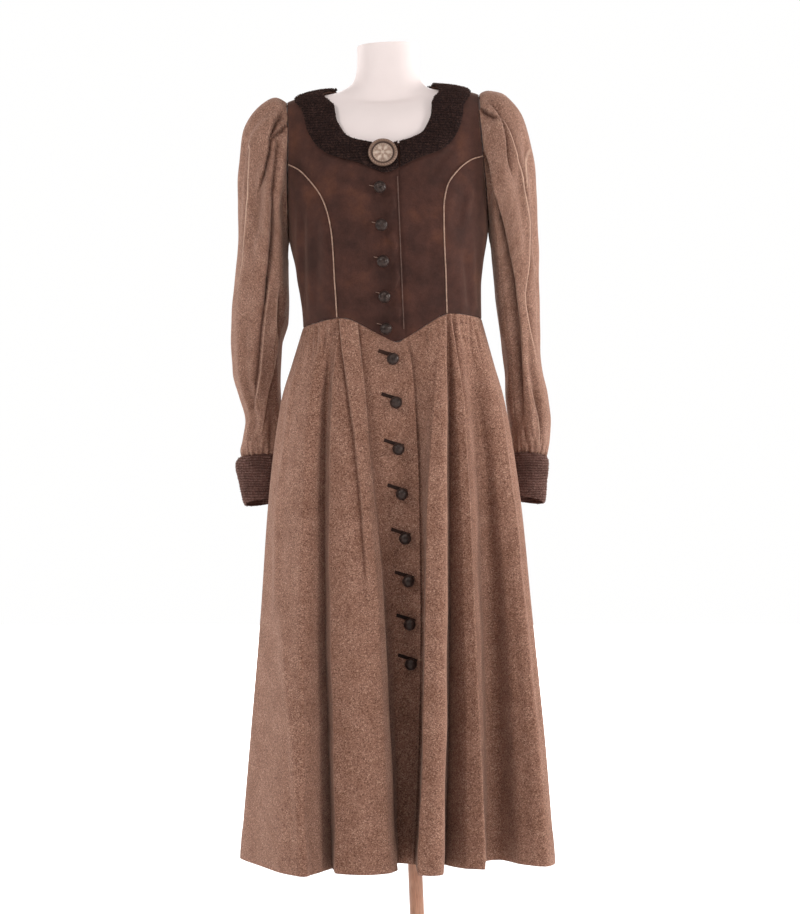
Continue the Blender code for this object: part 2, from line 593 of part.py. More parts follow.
def patch(left, right, low, high):
    """Grid between four edges: the blend of the sides plus that of the ends, less the corners."""
    left, right, low, high = (np.asarray(e, float) for e in (left, right, low, high))
    u = np.linspace(0, 1, len(low))[None, :, None]
    v = np.linspace(0, 1, len(left))[:, None, None]
    sides = left[:, None] * (1 - u) + right[:, None] * u
    ends = low[None] * (1 - v) + high[None] * v
    low_corners = left[0] * (1 - u) + right[0] * u
    high_corners = left[-1] * (1 - u) + right[-1] * u
    return sides + ends - low_corners * (1 - v) - high_corners * v


def drawn_in(grid, surface, amount, edges="left right low high"):
    """The grid with its named edges moved inwards by an amount of real distance."""
    grid = grid.copy()
    points = surface(grid[..., 0], grid[..., 1])
    for edge, first, second in (
        ("left", np.s_[:, 0], np.s_[:, 1]),
        ("right", np.s_[:, -1], np.s_[:, -2]),
        ("low", np.s_[0], np.s_[1]),
        ("high", np.s_[-1], np.s_[-2]),
    ):
        if edge in edges.split():
            length = np.linalg.norm(points[second] - points[first], axis=-1, keepdims=True)
            share = np.clip(amount / np.maximum(length, 1e-6), 0, 0.5)
            grid[first] = grid[first] + (grid[second] - grid[first]) * share
    return grid


def finish_of(name):
    """The material of that name, made on first use."""
    found = bpy.data.materials.get(name)
    if found:
        return found
    colour, roughness, metallic = FINISHES[name]
    material = bpy.data.materials.new(name)
    material.use_nodes = True
    shader = material.node_tree.nodes["Principled BSDF"]
    shader.inputs["Base Color"].default_value = (*colour, 1)
    shader.inputs["Roughness"].default_value = roughness
    shader.inputs["Metallic"].default_value = metallic
    return material


def solid(name, points, faces, finish, round_piece=True):
    """An object of these points and faces, its faces turned outwards."""
    points = np.asarray(points, float)
    corners = [points[list(face)] for face in faces]
    volume = sum(
        float(np.dot(c[0], np.cross(c[i], c[i + 1])))
        for c in corners
        for i in range(1, len(c) - 1)
    )
    if volume < 0:
        faces = [face[::-1] for face in faces]
    mesh = bpy.data.meshes.new(name)
    mesh.from_pydata(points.tolist(), [], faces)
    mesh.validate()
    mesh.materials.append(finish_of(finish))
    if round_piece:
        mesh.shade_smooth()
        mesh.set_sharp_from_angle(angle=math.radians(40))
    made = bpy.data.objects.new(name, mesh)
    bpy.context.scene.collection.objects.link(made)
    return made


def grid_triangles(rows, columns, start, closed):
    """Two triangles for each cell of a grid; `closed` joins its last column to its first."""
    faces = []
    for i in range(rows - 1):
        for j in range(columns if closed else columns - 1):
            k = (j + 1) % columns
            a, b = start + i * columns + j, start + i * columns + k
            d, c = a + columns, b + columns
            faces += [(a, b, c), (a, c, d)]
    return faces


def wall(name, outer, inner, finish, closed=False):
    """A cloth wall: an outer grid, an inner grid and the rims that join them."""
    rows, columns = outer.shape[:2]
    size = rows * columns
    faces = grid_triangles(rows, columns, 0, closed)
    faces += [face[::-1] for face in grid_triangles(rows, columns, size, closed)]
    rims = []
    last = columns if closed else columns - 1
    for j in range(last):
        k = (j + 1) % columns
        rims.append((k, j))
        rims.append(((rows - 1) * columns + j, (rows - 1) * columns + k))
    if not closed:
        for i in range(rows - 1):
            rims.append((i * columns, (i + 1) * columns))
            rims.append(((i + 1) * columns + columns - 1, i * columns + columns - 1))
    for a, b in rims:
        faces += [(a, b, b + size), (a, b + size, a + size)]
    points = np.concatenate([outer.reshape(-1, 3), inner.reshape(-1, 3)])
    return solid(name, points, faces, finish)


def tube(name, path, outward, diameter, finish, sides=6):
    """A cord of round section carried along a path that lies on a surface."""
    path = np.asarray(path, float)
    ahead = unit(np.gradient(path, axis=0))
    outward = unit(outward - ahead * np.sum(outward * ahead, axis=1, keepdims=True))
    across = np.cross(ahead, outward)
    turn = 2 * np.pi * np.arange(sides) / sides
    ring = (
        outward[:, None] * np.cos(turn)[None, :, None] + across[:, None] * np.sin(turn)[None, :, None]
    ) * diameter / 2
    points = (path[:, None] + ring).reshape(-1, 3)
    faces = grid_triangles(len(path), sides, 0, True)
    faces.append(tuple(range(sides))[::-1])
    faces.append(tuple(range((len(path) - 1) * sides, len(path) * sides)))
    return solid(name, points, faces, finish)


def turned(name, profile, finish, sides, place, axis):
    """A turned piece: rows of (radius, height) about an axis; a zero radius closes an end."""
    axis = unit(np.asarray(axis, float))
    side = unit(np.cross(axis, (0.0, 0.0, 1.0) if abs(axis[2]) < 0.9 else (0.0, 1.0, 0.0)))
    up = np.cross(side, axis)
    turn = 2 * np.pi * np.arange(sides) / sides
    spoke = side * np.cos(turn)[:, None] + up * np.sin(turn)[:, None]
    points, rings = [], []
    for radius, height in profile:
        if radius == 0:
            rings.append([len(points)])
            points.append(np.asarray(place) + axis * height)
        else:
            rings.append(list(range(len(points), len(points) + sides)))
            points += list(np.asarray(place) + spoke * radius + axis * height)
    faces = []
    for low, high in zip(rings, rings[1:]):
        for j in range(sides):
            k = (j + 1) % sides
            if len(low) == 1:
                faces.append((low[0], high[k], high[j]))
            elif len(high) == 1:
                faces.append((low[j], low[k], high[0]))
            else:
                faces.append((low[j], low[k], high[k], high[j]))
    return solid(name, points, faces, finish)


# --- The dress form and its stand ---------------------------------------------------------------

def build_form():
    """The smooth limbless torso, closed by a flat underside and a flat neck cap.

    Returns the upright height of its underside.
    """
    around = FORM_AROUND
    angles = 2 * np.pi * np.arange(around) / around
    levels = np.concatenate([
        np.arange(0, LEVEL["yoke"]),
        np.arange(LEVEL["yoke"], LEVEL["neck"], 0.5),
        np.arange(LEVEL["neck"], LEVEL["neck_top"] + 0.1),
    ])
    points = body(angles[None], levels[:, None], -FORM_INSET).reshape(-1, 3)
    underside = upright(points[:around])[:, 2].min()
    faces = grid_triangles(len(levels), around, 0, True)
    for start in (0, (len(levels) - 1) * around):
        middle = len(points)
        points = np.concatenate([points, points[start:start + around].mean(axis=0)[None]])
        ring = [(start + j, start + (j + 1) % around, middle) for j in range(around)]
        faces += [face[::-1] for face in ring] if start == 0 else ring
    solid("form_body", points, faces, "form_shell")
    return underside


def build_stand(form_underside):
    """The pole leans with the form; its foot is cut level on the flat round base."""
    sides = POLE_SIDES
    turn = 2 * np.pi * np.arange(sides) / sides
    ring = np.stack([np.cos(turn), np.sin(turn)], axis=1) * POLE_RADIUS
    foot = BASE_HEIGHT + SEAM
    low = np.column_stack([ring[:, 0] - foot * math.tan(LEAN), ring[:, 1], np.full(sides, foot)])
    high = leaned(np.column_stack([ring, np.full(sides, form_underside - SEAM)]))
    faces = [(j, (j + 1) % sides, sides + (j + 1) % sides, sides + j) for j in range(sides)]
    faces += [tuple(range(sides))[::-1], tuple(range(sides, 2 * sides))]
    solid("form_pole", np.concatenate([low, high]), faces, "pole_wood")
    profile = (
        (0, 0),
        (BASE_RADIUS, 0),
        (BASE_RADIUS, BASE_HEIGHT - BASE_BEVEL),
        (BASE_RADIUS - BASE_BEVEL / 3, BASE_HEIGHT - BASE_BEVEL / 3),
        (BASE_RADIUS - BASE_BEVEL, BASE_HEIGHT),
        (0, BASE_HEIGHT),
    )
    turned("form_base", profile, "form_shell", BASE_SIDES, (0, 0, 0), (0, 0, 1))


# --- The bodice ---------------------------------------------------------------------------------

SUEDE_OUT = FORM_GAP + SUEDE      # the bodice's outer face, from the form
BODICE_LIFT = SUEDE + PLY_GAP     # how much further out the lapping front lies
SEAM_ROWS = 10                    # rows up to the armhole, alike in panels that meet
TOP_ROWS = 7                      # rows from there up to the shoulder
UNDER_COLUMNS = 5                 # columns of the panels under the arm
BACK_CROWDING = 1.7               # how much closer the back's rows lie towards the neck
LAP_RISE = (-0.0300, -0.0130)     # from the covered edge: where the lap starts to rise, and is full


def lapped(x):
    """0 to 1 over the edge of the left front that the right one covers, by upright x."""
    start, full = (FRONT_EDGE_X - LAP + rise for rise in LAP_RISE)
    return np.clip((x - start) / (full - start), 0, 1)


def suede_piece(name, grid, edges="left right low high", lift=False):
    """A bodice panel from its grid of angles and levels."""
    grid = drawn_in(grid, body, SEAM / 2, edges)
    angle, level = grid[..., 0], grid[..., 1]
    extra = 0.0
    if lift:
        extra = BODICE_LIFT * lapped(body_upright(angle, level)[..., 0])
    outer = body(angle, level, SUEDE_OUT + extra + 0 * angle)
    inner = body(angle, level, FORM_GAP + extra + 0 * angle)
    wall(name, outer, inner, "suede")


def half_grid(side, back, edge_x, stops):
    """A front or back panel: from its seam and armhole to its middle edge and neckline."""
    seam = (back_princess_line if back else princess_line)(side, SEAM_ROWS)
    top_z = BACK_PRINCESS_TOP_Z if back else PRINCESS_TOP_Z
    armhole = armhole_line(side, not back, top_z, 9.0, TOP_ROWS)
    outer = np.concatenate([seam, armhole[1:]])
    if back:
        over, rear = edge_round(NECKLINE, NECKLINE_SIDE, NECKLINE_BACK, 0.0, side)[1:]
        neck = spaced(np.concatenate([over, rear])[::-1], TOP_ROWS)
    else:
        neck = neck_line(edge_x, side, TOP_ROWS)
    start = waist_line([side * np.pi if back else waist_angle(edge_x)])[0]
    low, high = (float(body_upright(*point)[2]) for point in (start, neck[0]))
    # the back's rows lie closer together towards the top, where it turns over to the neck
    share = np.linspace(0, 1, SEAM_ROWS)
    heights = low + (high - low) * (1 - (1 - share) ** (BACK_CROWDING if back else 1))
    if back:
        edge = on_body(np.zeros(SEAM_ROWS), heights, back=True)
        edge[:, 0] = side * np.pi
    else:
        edge = on_body(np.full(SEAM_ROWS, edge_x), heights)
    inner = np.concatenate([edge, neck[1:]])
    u = stops[None, :, None]
    v = np.linspace(0, 1, len(outer))[:, None, None]
    waist = waist_line(outer[0, 0] + (inner[0, 0] - outer[0, 0]) * stops)
    bend = waist - (outer[0] * (1 - u[0]) + inner[0] * u[0])
    return outer[:, None] * (1 - u) + inner[:, None] * u + bend[None] * (1 - v) ** 2


def build_bodice():
    """Two lapping fronts, two front and two back side panels and two backs."""
    right_stops = np.array([0, 0.14, 0.28, 0.41, 0.51, 0.62, 0.74, 0.87, 1.0])
    even_stops = np.linspace(0, 1, 8)
    suede_piece("bodice_front_right", half_grid(-1, False, FRONT_EDGE_X, right_stops), lift=True)
    suede_piece("bodice_front_left", half_grid(1, False, FRONT_EDGE_X - LAP, even_stops))
    for side, word in ((-1, "right"), (1, "left")):
        seam = side_line(side, SEAM_ROWS)
        princess = princess_line(side, SEAM_ROWS)
        angles = np.linspace(princess[0, 0], seam[0, 0], UNDER_COLUMNS)
        armhole = armhole_line(side, True, UNDERARM_Z, PRINCESS_TOP_Z, UNDER_COLUMNS)[::-1]
        grid = patch(princess, seam, waist_line(angles), armhole)
        suede_piece(f"bodice_side_front_{word}", grid)
        back_seam = back_princess_line(side, SEAM_ROWS)
        angles = np.linspace(seam[0, 0], back_seam[0, 0], UNDER_COLUMNS)
        armhole = armhole_line(side, False, UNDERARM_Z, BACK_PRINCESS_TOP_Z, UNDER_COLUMNS)
        grid = patch(seam, back_seam, waist_line(angles), armhole)
        suede_piece(f"bodice_side_back_{word}", grid)
        suede_piece(f"bodice_back_{word}", half_grid(side, True, 0.0, even_stops))


COLLAR_ROWS = 26                  # round the neck
COLLAR_ACROSS = 6


def build_collar():
    """Two halves of a flat plush collar, from the front edges to the centre back."""
    for side, word, from_x, lift in (
        (-1, "right", FRONT_EDGE_X, True),
        (1, "left", FRONT_EDGE_X + COLLAR_START, False),
    ):
        inner_edge = neck_line(from_x, side, COLLAR_ROWS, to_back=True)
        outer_edge = collar_line(from_x, side, COLLAR_ROWS)
        share = np.linspace(0, 1, COLLAR_ACROSS)[:, None]
        front = inner_edge[0] * (1 - share) + outer_edge[0] * share
        back = inner_edge[-1] * (1 - share) + outer_edge[-1] * share
        grid = patch(inner_edge, outer_edge, front, back)
        grid = drawn_in(grid, body, SEAM / 2, "high" if side < 0 else "low high")
        angle, level = grid[..., 0], grid[..., 1]
        place = body_upright(angle, level)
        # only the front of the right half lies on the lapping front
        extra = BODICE_LIFT * lapped(place[..., 0]) * (place[..., 1] < 0) if lift else 0.0
        low = SUEDE_OUT + COLLAR_GAP + extra + 0 * angle
        wall(f"collar_{word}", body(angle, level, low + PLUSH), body(angle, level, low), "plush")


def build_piping():
    """Cords along the two princess seams and along the lapping front edge."""
    for side, word in ((-1, "right"), (1, "left")):
        line = princess_line(side, SEAM_ROWS)
        out = np.full(len(line), SUEDE_OUT + PIPING_GAP + PIPING / 2)
        path = body(line[:, 0], line[:, 1], out)
        normals = path - body(line[:, 0], line[:, 1])
        path = drawn_path(path, PIPING_END)
        tube(f"piping_princess_{word}", path, normals, PIPING, "piping")
    start = waist_line([waist_angle(FRONT_EDGE_X)])[0]
    heights = np.linspace(float(body_upright(*start)[2]), COLLAR[1][1], 2 * SEAM_ROWS)[1:-1]
    line = on_body(np.full(len(heights), FRONT_EDGE_X - PIPING), heights)
    out = np.full(len(line), SUEDE_OUT + BODICE_LIFT + PIPING_GAP + PIPING / 2)
    path = body(line[:, 0], line[:, 1], out)
    normals = path - body(line[:, 0], line[:, 1])
    tube("piping_front_edge", path, normals, PIPING, "piping")


def drawn_path(path, amount):
    """A path with its upper end drawn in by an amount, and its lower end by a quarter of it."""
    path = path.copy()
    path[0] += unit(path[1] - path[0]) * amount / 4
    path[-1] += unit(path[-2] - path[-1]) * amount
    return path


# --- The skirt ----------------------------------------------------------------------------------

SKIRT_OUT = FORM_GAP + TWEED      # the skirt's outer face at the waist, from the form
SKIRT_LIFT = TWEED + PLY_GAP      # how much further out the lapping front lies
SKIRT_GAP = 0.0010                # below the bodice's waist edge
LEVEL_SHARE = (0.0, 0.10, 0.175, 0.345, 0.55, 0.755, 1.0)   # the waist and each level, along it
SKIRT_ROWS = (0, 0.04, 0.09, 0.15, 0.22, 0.31, 0.42, 0.55, 0.70, 0.85, 1.0)
WIDE_SPAN = 0.034                 # a span this wide at the hem has one more column in its middle
BACK_SPREAD = 0.6                 # how soon, going down, the back's folds reach their hem places


def oval_depth(level, x, back):
    """Y of the plain oval of a level at this x."""
    centre, half, front, rear = SKIRT[level][1:5]
    side = np.sqrt(max(1 - ((x - centre) / half) ** 2, 0.0))
    return rear * side if back else -front * side


def waist_points(xs, backs):
    """Points of the waist seam on the leaning body, just below the bodice's edge."""
    angles = np.array([waist_angle(x, back) for x, back in zip(xs, backs)])
    line = waist_line(angles)
    points = body(line[:, 0], line[:, 1], np.full(len(line), SKIRT_OUT))
    points[:, 2] -= SKIRT_GAP
    return points


def fold_lines():
    """Points of every fold line at the waist and at each level: (lines, levels, 3)."""
    names = list(FRONT_FOLDS) + list(BACK_FOLDS)
    backs = [name in BACK_FOLDS for name in names]
    waist = [(FRONT_FOLDS.get(name) or BACK_FOLDS[name])[0] for name in names]
    lines = [[point] for point in waist_points(waist, backs)]
    hem_centre, hem_half = SKIRT["hem"][1:3]
    for name, back, waist_x, line in zip(names, backs, waist, lines):
        hem_x, hem_y = (BACK_FOLDS if back else FRONT_FOLDS)[name][-2:]
        proud = hem_y - oval_depth("hem", hem_x, back or hem_y > 0)
        at_waist = waist_x / WAIST_HALF_WIDTH
        at_hem = (hem_x - hem_centre) / hem_half
        for i, level in enumerate(SKIRT):
            height, centre, half = SKIRT[level][:3]
            pleat_share = SKIRT[level][-1]
            x = FRONT_FOLDS.get(name, (0,) * len(FOLD_COLUMNS))[i + 1]
            if back:
                spread = LEVEL_SHARE[i + 1] ** BACK_SPREAD
                x = centre + half * ((1 - spread) * at_waist + spread * at_hem)
            y = oval_depth(level, x, back or hem_y > 0) + pleat_share * proud
            line.append(np.array([x, y, height]))
    return names, np.array(lines)


FOLD_NAMES, FOLD_POINTS = fold_lines()
FOLD_AT = {name: i for i, name in enumerate(FOLD_NAMES)}
TURN = len(FOLD_NAMES)            # one turn round the skirt, in fold lines


def skirt_surface(s, v):
    """The skirt at a fold line s, counted round from the right side seam, and a share v down it."""
    s, v = np.broadcast_arrays(np.asarray(s, float), np.asarray(v, float))
    down = smooth(LEVEL_SHARE, np.moveaxis(FOLD_POINTS, 1, 0), v.ravel())
    around = np.arange(-3, TURN + 4)
    ring = down[:, around % TURN]
    flat = s.ravel()
    base = np.floor(flat).astype(int)
    u = (flat - base)[:, None]
    rows = np.arange(len(flat))
    before, a, b, after = (ring[rows, base + 3 + k] for k in (-1, 0, 1, 2))

    def tangent(p, q, r):
        """The slope at q: the harmonic mean of the steps on both sides, or none where it turns."""
        first, second = q - p, r - q
        agree = first * second > 0
        return np.where(agree, 2 * first * second / np.where(agree, first + second, 1.0), 0)

    points = (
        a * (1 + 2 * u) * (1 - u) ** 2
        + tangent(before, a, b) * u * (1 - u) ** 2
        + b * u**2 * (3 - 2 * u)
        + tangent(a, b, after) * u**2 * (u - 1)
    )
    return points.reshape(s.shape + (3,))


def skirt_point(s, v, out=0.0):
    """A point at a signed distance outside the skirt's outer face."""
    s, v, out = np.broadcast_arrays(*(np.asarray(a, float) for a in (s, v, out)))
    inside_v = np.clip(v, 0.003, 0.997)
    inside_s = np.clip(s, 0.05, TURN - 0.05)
    normals = surface_normals(skirt_surface, inside_s, inside_v, 0.04, 0.002)
    return skirt_surface(np.mod(s, TURN), v) - normals * out[..., None]


def skirt_lift(s):
    """How much further out the lapping front lies at a fold line."""
    start, full = FOLD_AT["pleat_b_foot"], FOLD_AT["lap_under_edge"] - 0.05
    return SKIRT_LIFT * np.clip((s - start) / (full - start), 0, 1)


def stations(first, last):
    """Positions round the skirt from one fold line to another."""
    start = FOLD_AT[first]
    end = FOLD_AT[last] if FOLD_AT[last] > start else TURN
    hem = FOLD_POINTS[:, -1]
    at = []
    for fold in range(start, end):
        width = np.linalg.norm(hem[(fold + 1) % TURN] - hem[fold])
        at += [fold, fold + 0.5] if width > WIDE_SPAN else [fold]
    return np.array(at + [end], float)


def tweed_panel(name, s, lift=False):
    """A skirt panel over these positions, from the waist to the hem."""
    grid = np.stack(np.meshgrid(s, SKIRT_ROWS), axis=-1)
    grid = drawn_in(grid, skirt_surface_open, SEAM / 2, "left right")
    s, v = grid[..., 0], grid[..., 1]
    extra = skirt_lift(s) if lift else 0 * s
    wall(name, skirt_point(s, v, extra), skirt_point(s, v, extra - TWEED), "tweed")


def skirt_surface_open(s, v):
    """The skirt at positions that may run past the end of the turn."""
    return skirt_surface(np.mod(s, TURN), v)


def build_skirt():
    """Two fronts, the right one lapping over the left, and two backs."""
    tweed_panel("skirt_front_right", stations("right_side_seam", "placket_edge"), lift=True)
    tweed_panel("skirt_front_left", stations("lap_under_edge", "left_side_seam"))
    tweed_panel("skirt_back_left", stations("left_side_seam", "centre_back"))
    tweed_panel("skirt_back_right", stations("centre_back", "right_side_seam"))


# --- The sleeves and cuffs ----------------------------------------------------------------------

AROUND = 28                       # points round a sleeve; the armhole's line has as many
SLEEVE_STEPS = 17
CUFF_STEPS = 4
ARMHOLE_GAP = 0.0008              # from the bodice's armhole edge out to the sleeve
SECTION_ROUNDNESS = 0.93          # 1 for a plain oval section, less for a squarer one
FOLD_MARGIN = 0.03                # a fold ends this share of its length before it dies away
FOLD_FULLNESS = 0.7               # below 1 a fold keeps its depth nearer to its ends
HEAD_FADE = 0.06                  # over this share of the sleeve the folds fade in
WRIST_FADE = 0.05


def armhole_ring(side):
    """The armhole's edge all round, from the shoulder over the front and the underarm."""
    half = AROUND // 2 + 1
    front = armhole_line(side, True, UNDERARM_Z, 9.0, half)[::-1]
    back = armhole_line(side, False, UNDERARM_Z, 9.0, half)
    line = np.concatenate([front, back[1:-1]])
    points = body(line[:, 0], line[:, 1], np.full(len(line), FORM_GAP + TWEED))
    points[:, 0] += side * ARMHOLE_GAP
    return points


def section_ring(row):
    """A sleeve's section as a closed oval between its outer and inner end."""
    outer_x, outer_z, inner_x, inner_z, front_y, back_y, drop = row
    turn = 2 * np.pi * np.arange(AROUND) / AROUND
    outer = np.array([outer_x, (front_y + back_y) / 2, outer_z])
    inner = np.array([inner_x, (front_y + back_y) / 2, inner_z])
    middle = (outer + inner) / 2
    ring = middle + (outer - inner) / 2 * signed_power(np.cos(turn), SECTION_ROUNDNESS)[:, None]
    swing = (back_y - front_y) / 2 * signed_power(np.sin(turn), SECTION_ROUNDNESS)
    ring[:, 1] -= swing
    ring[:, 2] += drop * swing / (back_y - front_y)
    return ring


def fold_depth(folds, v):
    """How far each point of a sleeve lies inside its plain form: soft troughs along the folds."""
    degrees = 360 * np.arange(AROUND) / AROUND
    depth = np.zeros((len(v), AROUND))
    for start_angle, end_angle, start, end, deep, half_width in folds.values():
        share = np.clip((v - start) / (end - start), 0, 1)
        centre = start_angle + (end_angle - start_angle) * share
        away = (degrees[None] - centre[:, None] + 180) % 360 - 180
        across = np.cos(np.clip(away / half_width, -1, 1) * np.pi / 2) ** 2
        along = np.sin(np.pi * (FOLD_MARGIN + (1 - 2 * FOLD_MARGIN) * share)) ** FOLD_FULLNESS
        depth += deep * across * along[:, None]
    return depth


def rings_to_grid(rings, at):
    """Rings read along a smooth curve through each of their points, at even mean steps."""
    moved = np.linalg.norm(np.diff(rings, axis=0), axis=2).mean(axis=1)
    gone = np.r_[0, np.cumsum(moved)]
    return smooth(gone / gone[-1], rings, at)


def ring_normals(grid, side):
    """Outward normals of a tube of rings."""
    round_it = np.roll(grid, -1, axis=1) - np.roll(grid, 1, axis=1)
    along = np.gradient(grid, axis=0)
    normals = unit(np.cross(round_it, along))
    return normals * (-1 if side < 0 else 1)


def build_sleeves():
    """Each sleeve: an upper piece and a narrow under piece; its pleated head fills the armhole."""
    for side, word, table, folds in (
        (-1, "right", RIGHT_SLEEVE, RIGHT_SLEEVE_FOLDS),
        (1, "left", LEFT_SLEEVE, LEFT_SLEEVE_FOLDS),
    ):
        rings = np.stack([armhole_ring(side)] + [section_ring(row) for row in table])
        v = np.linspace(0, 1, SLEEVE_STEPS)
        grid = rings_to_grid(rings, v)
        normals = ring_normals(grid, side)
        fade = np.clip(np.minimum(v / HEAD_FADE, (1 - v) / WRIST_FADE), 0, 1)[:, None]
        depth = fold_depth(folds, v) * fade
        outer = grid - normals * depth[..., None]
        normals = ring_normals(outer, side)
        inner = outer - normals * TWEED
        first = round(AROUND * (180 - UNDER_SLEEVE_HALF) / 360)
        last = AROUND - first
        under = np.arange(first, last + 1)
        upper = np.arange(last, AROUND + first + 1) % AROUND
        for part, columns in (("upper", upper), ("under", under)):
            pair = np.stack([outer[:, columns], inner[:, columns]])
            for edge, near in ((0, 1), (-1, -2)):
                step = pair[:, :, near] - pair[:, :, edge]
                pair[:, :, edge] += unit(step) * SEAM / 2
            wall(f"sleeve_{part}_{word}", pair[0], pair[1], "tweed")


def build_cuffs():
    """Plush cuffs, closed rings just below the sleeves' ends."""
    for side, word, table in ((-1, "right", RIGHT_CUFF), (1, "left", LEFT_CUFF)):
        rings = np.stack([section_ring(row) for row in table])
        outer = rings_to_grid(rings, np.linspace(0, 1, CUFF_STEPS))
        outer[:, :, 2] -= CUFF_GAP
        inner = outer - ring_normals(outer, side) * PLUSH
        wall(f"cuff_{word}", outer, inner, "cuff_plush", closed=True)


# --- Buttons and bound buttonholes --------------------------------------------------------------

def build_ball_button(name, seat, outward):
    """A leather ball on a short neck that stands on the cloth."""
    radius = BALL_BUTTON / 2
    half_height = radius * BALL_FLATNESS
    centre = SHANK_HEIGHT + radius * BALL_CENTRE
    profile = [(0, 0), (SHANK_RADIUS, 0), (SHANK_RADIUS, SHANK_HEIGHT)]
    profile += [(radius * math.cos(b), centre - half_height * math.sin(b)) for b in BALL_BENDS]
    profile.append((0, centre + half_height))
    turned(name, profile, "ball_leather", BALL_SIDES, seat, outward)


def build_bodice_buttons():
    """Five ball buttons down the suede front and the large flat button at the neck."""
    for i, height in enumerate(BODICE_BUTTON_Z):
        angle, level = on_body(BUTTON_LINE_X, height)[0]
        seat = body(angle, level, SUEDE_OUT + BODICE_LIFT + SEAM)
        outward = seat - body(angle, level, 0.0)
        build_ball_button(f"button_bodice_{i + 1}", seat, outward)
    angle, level = on_body(*NECK_BUTTON_PLACE)[0]
    seat = body(angle, level, SUEDE_OUT + COLLAR_GAP + PLUSH + BODICE_LIFT + 2 * SEAM)
    outward = seat - body(angle, level, 0.0)
    profile = [(share * NECK_BUTTON / 2, height) for share, height in NECK_BUTTON_PROFILE]
    turned("button_neck", profile, "pewter", NECK_BUTTON_SIDES, seat, outward)


def on_placket(s, v, out):
    """A point above the right front's own facets, moved out."""
    columns = stations("right_side_seam", "placket_edge")
    rows = np.array(SKIRT_ROWS)
    j = int(np.clip(np.searchsorted(columns, s, side="right") - 1, 0, len(columns) - 2))
    i = int(np.clip(np.searchsorted(rows, v, side="right") - 1, 0, len(rows) - 2))
    corners = [(j, i), (j + 1, i), (j + 1, i + 1), (j, i + 1)]
    a, b, c, d = (
        skirt_point(columns[m], rows[n], skirt_lift(columns[m]) + out) for m, n in corners
    )
    p = (s - columns[j]) / (columns[j + 1] - columns[j])
    q = (v - rows[i]) / (rows[i + 1] - rows[i])
    if p >= q:
        return a + p * (b - a) + q * (c - b)
    return a + q * (d - a) + p * (c - d)


def on_skirt(x, z, s, v):
    """The position on the placket that has this X and height, from a first guess."""
    for _ in range(12):
        point = skirt_surface(s, v)
        by_s = (skirt_surface(s + 0.01, v) - point) / 0.01
        by_v = (skirt_surface(s, v + 0.001) - point) / 0.001
        slopes = np.array([[by_s[0], by_v[0]], [by_s[2], by_v[2]]])
        step = np.linalg.solve(slopes, [x - point[0], z - point[2]])
        s, v = s + np.clip(step[0], -0.4, 0.4), np.clip(v + step[1], 0.0, 1.0)
    return s, v


def build_skirt_buttons():
    """Eight ball buttons down the placket, each with its bound buttonhole on the cloth."""
    for i, (x, height) in enumerate(SKIRT_BUTTONS):
        start = (FOLD_AT["placket_middle"], (1.03 - height) / (1.03 - HEM_HEIGHT))
        s, v = on_skirt(x, height, *start)
        seat = on_placket(s, v, SEAM + BUTTONHOLE_THICK + BUTTON_GAP)
        outward = seat - on_placket(s, v, 0.0)
        build_ball_button(f"button_skirt_{i + 1}", seat, outward)
        # the slit's end towards the front edge lies beside the button, the other one higher
        across, up = BUTTONHOLE_END
        end = np.array([x + across, height + up])
        start_point = end + np.array([-BUTTONHOLE_LENGTH, BUTTONHOLE_FALL])
        along = unit(end - start_point)
        sideways = np.array([-along[1], along[0]]) * BUTTONHOLE_WIDTH / 2
        columns = []
        for share in np.linspace(0, 1, 4):
            point = start_point + (end - start_point) * share
            columns.append([on_skirt(*(point + k * sideways), s, v) for k in (1, 0, -1)])
        outer, inner = (
            np.array([[on_placket(*place, out) for place in column] for column in columns])
            for out in (SEAM + BUTTONHOLE_THICK, SEAM)
        )
        wall(f"buttonhole_{i + 1}", outer, inner, "buttonhole_suede")


for old in list(bpy.data.objects):
    bpy.data.objects.remove(old, do_unlink=True)

build_stand(build_form())
build_bodice()
build_collar()
build_piping()
build_skirt()
build_sleeves()
build_cuffs()
build_bodice_buttons()
build_skirt_buttons()
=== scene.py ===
import math

import bpy
import numpy as np
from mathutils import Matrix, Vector


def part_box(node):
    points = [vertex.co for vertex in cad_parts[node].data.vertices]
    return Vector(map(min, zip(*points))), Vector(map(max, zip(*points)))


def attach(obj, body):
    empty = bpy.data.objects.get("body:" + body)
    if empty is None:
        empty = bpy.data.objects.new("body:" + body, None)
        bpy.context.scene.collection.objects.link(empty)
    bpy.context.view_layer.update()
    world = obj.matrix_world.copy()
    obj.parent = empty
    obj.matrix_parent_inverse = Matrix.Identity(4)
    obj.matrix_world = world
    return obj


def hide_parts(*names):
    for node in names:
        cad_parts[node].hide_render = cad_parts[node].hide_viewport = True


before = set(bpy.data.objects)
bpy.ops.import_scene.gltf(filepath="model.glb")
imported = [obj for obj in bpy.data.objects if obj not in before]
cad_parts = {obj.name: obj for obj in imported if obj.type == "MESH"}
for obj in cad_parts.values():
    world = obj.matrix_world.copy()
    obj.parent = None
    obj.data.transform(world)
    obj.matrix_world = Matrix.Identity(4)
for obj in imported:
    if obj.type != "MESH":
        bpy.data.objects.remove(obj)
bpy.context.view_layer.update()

# --- The stand ----------------------------------------------------------------------------------
# A flat round base of pressed steel, painted like the form, and a turned beech pole. The pole
# leans with the form; its foot is cut level and screwed to the base, its top goes into the form.

LEAN = math.radians(2.4)
SEAM = 0.0003
BASE_RADIUS = 0.170
BASE_HEIGHT = 0.018
POLE_RADIUS = 0.0115
POLE_SIDES = 48


def dyed(red, green, blue):
    """A colour read off as 0 to 255, made linear."""
    value = np.array([red, green, blue]) / 255
    return tuple(float(v) for v in ((value + 0.055) / 1.055) ** 2.4)


